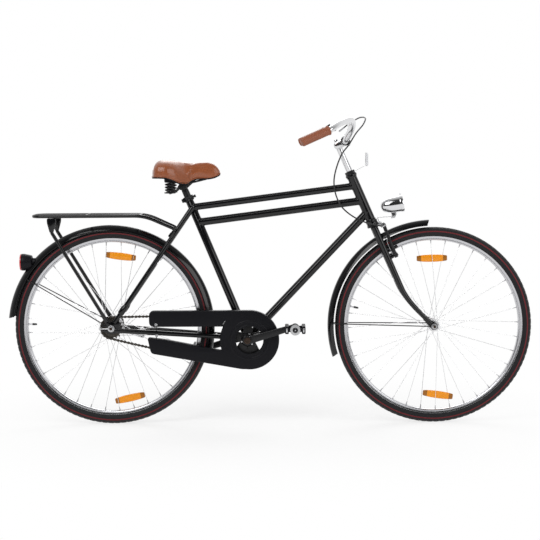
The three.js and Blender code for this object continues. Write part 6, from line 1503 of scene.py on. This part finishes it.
def brake_arm(side):
    flip = np.array([1, side, 1])
    pivot, top, pad = ARM_PIVOT * flip, ARM_TOP * flip, PAD_PLACE * flip
    middle = (pivot + top) / 2 * [1, 0, 1] + [0, side * 39.5, 0]
    path = laid(curve_through([pivot, (pivot + middle) / 2 + [0, side * 0.6, 0], middle, top], 8))
    boss = turned(mirrored([(3.7, -6.6), (8, -6.6), (9, -5.6)]), laid(pivot), HEAD_FORWARD, 40, closed=True)
    arm = tube(path, np.linspace(5.6, 5.0, len(path)), 24)
    post = rod(laid(pad + [0, side * 4, 0]), laid(pad * [1, 0, 1] + [0, side * 42.5, 0]), 3.5, bevel=0.8)
    place = laid(pad)
    out = unit((place - FRONT_AXLE) * [1, 0, 1])
    rubber = block(place, (54, 7.6, 7.6), 2.4, np.cross(Y_AXIS, out), out, 1.4)
    crown = turned(mirrored([(0, -6), (4.6, -6), (5.4, -5)]), laid(top), HEAD_FORWARD, 24)
    screw = turned([(0, 6.8), (3.4, 6.8), (4.6, 7.6), (4.6, 9.4), (3.8, 10), (2, 10), (1.8, 8.6), (0, 8.6)],
                   laid(pivot), HEAD_FORWARD, 24)
    spring = tube(laid(curve_through([pivot + [-9, 0, 4], pivot + [-10, side * 3, 34],
                                      pivot + [-8, side * 3, 58], middle + [-5.2, 0, 12]], 8)), 1.1, 10)
    return [arm, boss, post, crown], rubber, [screw, spring]


for hand, side in SIDES:
    name, body = "brake_arm_" + hand, "arm_" + hand
    arm, rubber, bright = brake_arm(side)
    dressed(name, "forged", arm, "black_steel", body)
    piece(name + "_pad", [rubber], "cable_black", body, slot="black_steel")
    piece(name + "_spring", bright, "bolt_steel", body, slot="black_steel")

# %% [markdown]
# The headlamp is a chromed shell like a drop of water, with a clear lens in a rim, a knob on top, and a
# bent strip that holds it in front of the fork's crown.

# %% Headlamp
LAMP_TIP, LAMP_TILT = np.array([49.6, 0.0, 28.6]), math.radians(14.1)
LAMP_LENGTH, LAMP_RADIUS, LAMP_RIM = 82.0, 30.0, 30.9
lamp_ahead = math.cos(LAMP_TILT) * HEAD_FORWARD - math.sin(LAMP_TILT) * HEAD_UP
lamp_up = math.cos(LAMP_TILT) * HEAD_UP + math.sin(LAMP_TILT) * HEAD_FORWARD
lamp_origin = laid(LAMP_TIP)
shares = curve_through([(0.0, 0.0), (0.42, 0.049), (0.72, 0.171), (0.9, 0.366), (0.97, 0.62), (0.985, 0.85)],
                       8)
back = [(radius * LAMP_RADIUS, share * LAMP_LENGTH) for radius, share in shares]
rim = [(29.4, 70.2), (30.6, 70.6), (LAMP_RIM, 71.6), (LAMP_RIM, 80.6), (30.2, 81.7), (28.6, 82), (27.6, 80.6),
       (26.6, 76), (19, 58), (8, 50), (0, 48.5)]
knob = turned([(0, 26), (4.4, 26), (4.4, 30), (2.4, 30.6), (2.4, 31.4), (3.5, 31.8), (3.5, 34.4), (2.8, 35),
               (0, 35)], lamp_origin + lamp_ahead * 76, lamp_up, 24)
saddle_clamp = turned(mirrored([(0, -10), (6.2, -10), (7, -9)]), lamp_origin + lamp_ahead * 41 - lamp_up * 30,
                      Y_AXIS, 32)
piece("headlamp_drop", [turned(back + rim, lamp_origin, lamp_ahead, 96), knob, saddle_clamp], "chrome",
      "steering", replaces=["headlamp_shell"])
dome = [(27.4, 72.6), (27.4, 74.5), (24, 77.2), (16, 79.8), (8, 81.1), (0, 81.6)]
piece("headlamp_glass", [turned([(0, 72.6)] + dome, lamp_origin, lamp_ahead, 72)], "clear_lens", "steering",
      replaces=["headlamp_lens"])
lamp_foot = LAMP_TIP + 41 * upright(-LAMP_TILT) - 34 * upright(math.pi / 2 - LAMP_TILT)
holder = strap(bent([(24.6, -40), (24.6, 0), (lamp_foot[0] - 10, lamp_foot[2] - 3),
                     (lamp_foot[0], lamp_foot[2])], 5), 14)
gusset_outline = np.array([(-15, -5), (-6, 3), (8, 8), (10, 2), (-2, -9)]) + lamp_foot[[0, 2]] + [2, -4]
gusset = steer_plate(gusset_outline, 0, 13, 1.5)
crown_bolt = turned([(0, 2), (4.9, 2), (4.9, 25), (8.2, 25.6), (8.2, 29.6), (7, 31), (0, 31)],
                    laid((0, 0, -24)), HEAD_FORWARD, 24)
piece("headlamp_holder", [holder, gusset, crown_bolt], "aluminium", "steering", slot="chrome",
      replaces=["headlamp_bracket"])

# %% [markdown]
# The brake cable's black outer runs from the lever in a loop ahead of the bar and back past the head tube to
# the brake, where a bright bent guide turns it across and the bare wire goes on. It is held at both ends.

# %% Brake cable
CABLE_PLACES = [(822, 268, 1042), (846, 226, 1062), (866, 180, 1076), (892, 125, 1088.7), (906, 84, 1084),
                (896, 48, 1062), (868, 4, 1030), (840, -34, 988), (818, -38, 960), (796, -38, 904),
                (789, -36, 861), (795, -35, 817), (816, -37, 773), (852, -44, 741), (902, -54, 717),
                (940, -58, 708)]
cable_end, guide_end = laid((35, -45, -36)), laid((35, -26, -36))
outer = curve_through(np.stack([at(*place) for place in CABLE_PLACES] + [at(962, -55, 703.5)]), 10)
dressed("brake_cable", "outer", [tube(outer, 2.5, 16)], "cable_black", "steering")
guide = curve_through([outer[-4], at(962, -55, 703.5), cable_end + [2, 2, 2], cable_end + [1, 9, 1.5],
                       guide_end], 10)
ferrules = [rod(outer[0] - 6 * unit(outer[1] - outer[0]), outer[6], 3.3, bevel=0.8, sides=20)]
wire = rod(guide_end, laid((35, 30, -36)), 1.0, sides=12, bevel=0.2)
piece("brake_cable_guide", [tube(guide, 2.7, 16)] + ferrules + [wire], "bolt_steel", "steering",
      slot="cable_black")

# %% [markdown]
# The saddle stands on its post by a clamp. Two bent wires run from the clamp forwards to the nose and back
# to round feet, where a coil spring carries each side of the saddle's base.

# %% Seat post, clamp and rails
CLAMP = BOTTOM_BRACKET + SEAT_UP * 591


def seated(places):
    """Places measured from the seat clamp, in the world's directions."""
    return CLAMP + np.asarray(places, float)


def ends_across(ahead, half, up):
    """The two ends of a bar that lies across the seat."""
    return seated([(ahead, -half, up), (ahead, half, up)])


def over_spring(side, up):
    """A place on the upright line through the middle of a saddle spring."""
    return seated((-42.8, side * 48, up))


post = turned([(0, -250), (11.8, -250), (12.5, -248.6), (12.5, -30), (12.2, -18), (11, -14), (11, 4), (0, 4)],
              CLAMP, SEAT_UP, 48)
dressed("seat_post", "turned", [post], "black_steel", "seat")

RAIL = np.array([(-42.8, 48, -27), (-21.4, 32, -18), (-5, 24, 6), (30, 22, 10), (82, 12, 22)], float)
rails = []
for side in (-1, 1):
    line = curve_through(seated(RAIL * [1, side, 1]), 10)
    rails.append(tube(line, 3.5, 20))
    rails.append(turned([(0, -4.6), (18.8, -4.6), (20, -3.6), (20, -1.2), (18.6, 0), (8, 0), (7, 1.4),
                         (0, 1.4)], over_spring(side, -22.4), Z_AXIS, 48))
    rails.append(turned([(0, 18), (12.4, 18), (14.4, 19.4), (14.4, 27.6), (12.6, 29.6), (7.4, 30), (0, 30)],
                        seated((0, 0, -3)), Y_AXIS * side, 40))
rails += [rod(*ends_across(0, 20, -3), 14.6, sides=48, bevel=1.5),
          rod(*ends_across(82, 12, 22), 3.5, bevel=1.2),
          rod(*ends_across(-42.8, 48, -27), 3.5, bevel=1.2),
          rod(*ends_across(0, 33, -3), 4.2, bevel=0.8)]
dressed("saddle_rails", "bent", rails, "black_steel", "seat")

# %% [markdown]
# A coil spring is a circle carried along a helix. When the saddle bounces the real spring shortens; here each
# one is a fixed form with a mesh of its own.

# %% Saddle springs
def coil(side, turns=3.2, wire=2.7, radius=15.6, low=-19.2, high=10.2):
    """Angle runs evenly; height follows a smoothed ramp 3u^2 - 2u^3 mixed with the even one."""
    u = np.linspace(0, 1, 181)
    angle = u * turns * 2 * np.pi
    rise = low + (high - low) * (0.82 * u + 0.18 * (3 * u**2 - 2 * u**3))
    path = xyz(np.cos(angle) * radius - 42.8, side * (48 + np.sin(angle) * radius), rise)
    return tube(seated(path), wire, 12)


for hand, side in SIDES:
    cups = turned([(0, 10.9), (17.4, 10.9), (18.6, 11.6), (18.6, 13.1), (0, 13.1)], over_spring(side, 0),
                  Z_AXIS, 40)
    made = dressed("saddle_spring_" + hand, "coil", [coil(side), cups], "black_steel", "seat")
    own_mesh(made)

# %% [markdown]
# The saddle's form is a lofted one. Along its length, the half width, the top and the lower edge follow
# smooth lines through measured places, and each section is the same rounded arch stretched to fit.

# %% Saddle form
SADDLE_BEHIND, SADDLE_LENGTH, SADDLE_HALF, SADDLE_SKIRT, SADDLE_HEIGHT = 106.8, 242.0, 100.0, 32.0, 58.0
SADDLE_LINES = np.array([(0, .62, .45, 0), (.035, .84, .78, 0), (.1, .97, .95, 0), (.2, 1, 1, -.02),
                         (.32, .88, .94, -.18), (.42, .66, .85, -.38), (.5, .46, .8, -.42),
                         (.58, .34, .8, -.22), (.68, .28, .84, -.1), (.8, .25, .86, -.1),
                         (.9, .22, .76, -.04), (.97, .16, .52, .08), (1, .08, .32, .17)])
ARCH = np.array([(1, 0), (1.005, .18), (1, .36), (.93, .66), (.72, .88), (.4, .985), (0, 1)], float)


def smooth_columns(table, places):
    """Each column of a table against its first, by a monotone cubic: at each knot the slope is the harmonic
    mean of its two neighbours', or none where they differ in sign."""
    x, y = table[:, 0], table[:, 1:]
    gap = np.diff(x)[:, None]
    slope = np.diff(y, axis=0) / gap
    inner = slope[:-1] * slope[1:]
    mean = np.where(inner > 0, 2 * inner / np.where(inner > 0, slope[:-1] + slope[1:], 1), 0)
    knots = np.concatenate([slope[:1], mean, slope[-1:]])
    index = np.clip(np.searchsorted(x, places) - 1, 0, len(x) - 2)
    h = gap[index]
    t = ((places - x[index]) / gap[index, 0])[:, None]
    return (y[index] * (1 + 2 * t) * (1 - t) ** 2 + knots[index] * h * t * (1 - t) ** 2
            + y[index + 1] * t**2 * (3 - 2 * t) + knots[index + 1] * h * t**2 * (t - 1))


def saddle_rows(drawn_in=0.0, count=84):
    """For each place along: its distance ahead, half width, lower edge and top, drawn in by a distance."""
    along = (1 - np.cos(np.linspace(0, np.pi, count))) / 2
    width, top, skirt = smooth_columns(SADDLE_LINES, along).T
    ahead = -SADDLE_BEHIND + drawn_in + along * (SADDLE_LENGTH - 2 * drawn_in)
    half = np.maximum(width * SADDLE_HALF - drawn_in, 2)
    return ahead, half, SADDLE_SKIRT + skirt * SADDLE_HEIGHT, SADDLE_SKIRT + top * SADDLE_HEIGHT - drawn_in


ROOF = np.array([(-200.0, 32.0), (-35, 32), (-32.7, 23), (17.1, 23), (30.2, 21.8), (57.3, 24), (88.3, 29),
                 (140, 40)])


def roof_over(ahead, low):
    """The height of the hollow under the cover, from the cover's lower edge."""
    return np.maximum(np.interp(ahead, ROOF[:, 0], ROOF[:, 1]) - low, 0)


def cover_skin(drawn_in):
    """Over the top by the arch, then back under it: the underside rises in its middle to clear the rails."""
    ahead, half, low, high = (row[:, None] for row in saddle_rows(drawn_in))
    arch = curve_through(ARCH, 6)
    over = np.concatenate([arch, (arch * [-1, 1])[-2::-1]])
    under = np.linspace(-1, 1, 27)[1:-1]
    y = np.concatenate([half * over[:, 0], half * under], 1)
    z = np.concatenate([low + (high - low) * over[:, 1], low + roof_over(ahead, low) * (1 - under**6)], 1)
    return shell(seated(xyz(ahead, y, z)))


# %% [markdown]
# The cover is leather over foam, so it is given cloth's behaviour once: the form starts a little small, a
# pressure inside swells it for 20 frames, and no point may travel further than a set distance. The result
# is then kept in the mesh. Such a swelling rounds the edges and takes the stiffness out of the loft.

# %% Saddle cover
SWELL_LIMIT = 2.6


def swollen(made, limit):
    """Each point's travel under pressure, shortened to the limit where it is longer."""
    mesh = made.data
    before = np.empty(len(mesh.vertices) * 3, np.float32)
    mesh.vertices.foreach_get("co", before)
    cloth = made.modifiers.new("cloth", "CLOTH")
    cloth.settings.use_pressure = True
    cloth.settings.uniform_pressure_force = 4.0
    cloth.settings.effector_weights.gravity = 0.0
    cloth.point_cache.frame_start, cloth.point_cache.frame_end = 1, 20
    for number in range(1, 21):
        bpy.context.scene.frame_set(number)
    after = np.empty_like(before)
    made.evaluated_get(bpy.context.evaluated_depsgraph_get()).data.vertices.foreach_get("co", after)
    made.modifiers.remove(cloth)
    bpy.context.scene.frame_set(1)
    travel = (after - before).reshape(-1, 3) / MM
    length = np.maximum(np.linalg.norm(travel, axis=1), 1e-9)[:, None]
    travel *= np.minimum(1, limit / length)
    mesh.vertices.foreach_set("co", (before.reshape(-1, 3) + travel * MM).ravel())
    mesh.update()
    return length


cover = dressed("saddle_cover", "padded", [cover_skin(1.6)], "tan_leather", "saddle")
travel = swollen(cover, SWELL_LIMIT)
print("saddle swelled by", travel.mean().round(2), "mm on average before the limit")
smooth = cover.modifiers.new("smooth", "SUBSURF")
smooth.levels = smooth.render_levels = 1

# %% [markdown]
# Under the cover a moulded base closes the saddle: a thin black band shows below the leather, and its two
# round seats stand on the springs. A black bracket fills the space between the nose and the clamp.

# %% Saddle base and bead
def band_skin():
    """The base's rows: its top lies 0.8 above the cover's lower edge, and its bottom 0.6 below it in the
    middle and 6 at the sides."""
    ahead, half, low, _ = (row[3:-3, None] for row in saddle_rows(1.8))
    across = np.concatenate([np.linspace(1, -1, 15), np.linspace(-1, 1, 15)])
    drop = np.where(np.arange(30) < 15, 0.8, -5.4 * np.abs(across) ** 4 - 0.6)
    inner = roof_over(ahead, low) * (1 - across**6)
    return shell(seated(xyz(ahead, np.maximum(half - 1.2, 2) * across, low + inner + drop)))


def edge_bead():
    """A round bead along the cover's lower edge, down one side and back up the other."""
    ahead, half, low, _ = saddle_rows(2.4)
    right = xyz(ahead, -half - 0.2, low + 0.4)
    left = (right * [1, -1, 1])[::-1]
    return tube(seated(np.concatenate([right, left])), 1.5, 12, closed=True)


base = [band_skin()]
for side in (-1, 1):
    base.append(turned([(0, 13.4), (18.6, 13.4), (20, 14.4), (20, 24), (18, 29), (12, 31.4), (0, 31.4)],
                       over_spring(side, 0), Z_AXIS, 48))
dressed("saddle_base", "moulded", base, "satin_plastic", "saddle")
piece("saddle_bead", [edge_bead()], "tan_leather", "saddle")
nose_bracket = plate([(-12, -16), (4, -17), (18, -8), (40, 12), (50, 24), (20, 24), (2, 20), (-8, 4)], CLAMP,
                     X_AXIS, Z_AXIS, 26, 3)
piece("saddle_nose_bracket", [nose_bracket], "black_steel", "seat")

# %% [markdown]
# The photograph is taken from the bike's right side by a long lens, a little above the middle and tilted
# slightly down. The camera stands where that view comes from and looks at a place near the bottom of the
# seat tube; it leans by less than half a degree, as the ground line in the photograph does.

# %% Camera
CAMERA_PLACE = np.array([54.0, -5600.0, 1000.0])
CAMERA_TARGET = np.array([2.4, 0.0, 548.0])
CAMERA_LEAN = 0.0067
CAMERA_LENS = 105.24


def place_camera():
    """The camera's axes: its view line, the level line across it, and the line up, turned by the lean."""
    ahead = unit(CAMERA_TARGET - CAMERA_PLACE)
    right = unit(np.cross(ahead, Z_AXIS))
    up = np.cross(right, ahead)
    lean, cross = math.cos(CAMERA_LEAN), math.sin(CAMERA_LEAN)
    axes = np.eye(4)
    axes[:3, 0] = lean * right - cross * up
    axes[:3, 1] = cross * right + lean * up
    axes[:3, 2] = -ahead
    axes[:3, 3] = CAMERA_PLACE * MM
    lens = bpy.data.cameras.new("camera")
    lens.lens = CAMERA_LENS
    made = bpy.data.objects.new("camera", lens)
    made.matrix_world = mathutils.Matrix(axes.tolist())
    bpy.context.scene.collection.objects.link(made)
    bpy.context.scene.camera = made


place_camera()
print("camera", CAMERA_PLACE, "lens", CAMERA_LENS)

# %% [markdown]
# The light is that of a plain studio: a bright even surround and three large soft lamps. The surround shows
# white to the camera, to reflections and through glass, and lights the bike at a lower, even level. The
# floor fades into that white and keeps only a faint, soft shadow under the bike.

# %% Floor, surround and lamps
SURROUND_LIGHT, DARK_SIDE = 0.5, 0.03
FLOOR_WHITE_SHARE = 0.6
LAMPS = [
    ("key_lamp", (-1600.0, -2600.0, 3000.0), 2200.0, 62.0),
    ("fill_lamp", (2600.0, -2200.0, 1800.0), 2200.0, 34.0),
    ("back_lamp", (300.0, 2800.0, 2600.0), 2400.0, 46.0),
]


def ray_share(tree, *kinds):
    """One for rays of the given kinds, and zero for all others."""
    rays = node(tree, "LightPath")
    share = rays.outputs["Is " + kinds[0] + " Ray"]
    for kind in kinds[1:]:
        share = math_node(tree, "ADD", share, rays.outputs["Is " + kind + " Ray"], clamp=True)
    return share


def floor():
    """A disc whose rings lie closer together near the bike: radius grows with the square of the ring."""
    rings, columns = 24, 96
    radius = 9000 * (np.arange(1, rings + 1) / rings) ** 2
    angle = turn(columns)
    grid = xyz(radius[:, None] * np.cos(angle), radius[:, None] * np.sin(angle), 0)
    made = bpy.data.objects.new("floor", mesh_of("floor", [shell(grid, caps=False), shell(
        np.stack([grid[0] * 0, grid[0]]), caps=False)]))
    bpy.context.scene.collection.objects.link(made)
    look = bpy.data.materials.new("pale_floor")
    look.use_nodes = True
    tree = look.node_tree
    place = node(tree, "TexCoord").outputs["Object"]
    speckle = node(tree, "TexNoise", {"Vector": place, "Scale": 30.0, "Detail": 4.0})
    tint = node(tree, "Mix", {0: speckle.outputs["Fac"], 6: (0.95, 0.95, 0.95, 1), 7: (0.97, 0.97, 0.97, 1)},
                data_type="RGBA")
    shader = feed(tree, tree.nodes["Principled BSDF"],
                  {"Base Color": tint.outputs[2], "Roughness": 0.9, "Specular IOR Level": 0.0})
    white = node(tree, "Emission", {"Color": (1, 1, 1, 1), "Strength": 1.0})
    distance = node(tree, "VectorMath", {0: place}, operation="LENGTH").outputs["Value"]
    far = node(tree, "MapRange", {"Value": distance, "From Min": 0.3, "From Max": 1.3,
                                  "To Min": FLOOR_WHITE_SHARE, "To Max": 1.0}).outputs["Result"]
    seen = ray_share(tree, "Camera", "Glossy", "Transmission")
    blend = node(tree, "MixShader", {0: math_node(tree, "MULTIPLY", far, seen), 1: shader.outputs[0],
                                     2: white.outputs[0]})
    feed(tree, tree.nodes["Material Output"], {"Surface": blend.outputs[0]})
    made.data.materials.append(look)


def surround():
    world = bpy.data.worlds.new("surround")
    bpy.context.scene.world = world
    world.use_nodes = True
    tree = world.node_tree
    seen = ray_share(tree, "Camera", "Glossy", "Transmission")
    direction = node(tree, "TexCoord").outputs["Generated"]
    behind = node(tree, "SeparateXYZ", {0: direction}).outputs["Y"]
    studio = node(tree, "MapRange", {"Value": behind, "From Min": -0.55, "From Max": 0.45,
                                     "To Min": DARK_SIDE, "To Max": 1.0}).outputs["Result"]
    straight = ray_share(tree, "Camera", "Transmission")
    shown = node(tree, "Mix", {0: straight, 2: studio, 3: 1.0}).outputs[0]
    level = node(tree, "Mix", {0: seen, 2: SURROUND_LIGHT, 3: shown})
    feed(tree, tree.nodes["Background"], {"Color": (1, 1, 1, 1), "Strength": level.outputs[0]})


def lamp(name, place, size, power):
    """A square area lamp that faces the middle of the bike."""
    light = bpy.data.lights.new(name, "AREA")
    light.size = size * MM
    light.energy = power
    made = bpy.data.objects.new(name, light)
    made.location = np.array(place) * MM
    aim = np.array([0.0, 0.0, 500.0]) - place
    made.rotation_euler = mathutils.Vector(aim).to_track_quat("-Z", "Y").to_euler()
    bpy.context.scene.collection.objects.link(made)


floor()
surround()
for name, place, size, power in LAMPS:
    lamp(name, place, size, power)
bpy.context.scene.view_settings.view_transform = "Standard"
print("floor, surround and", len(LAMPS), "lamps")
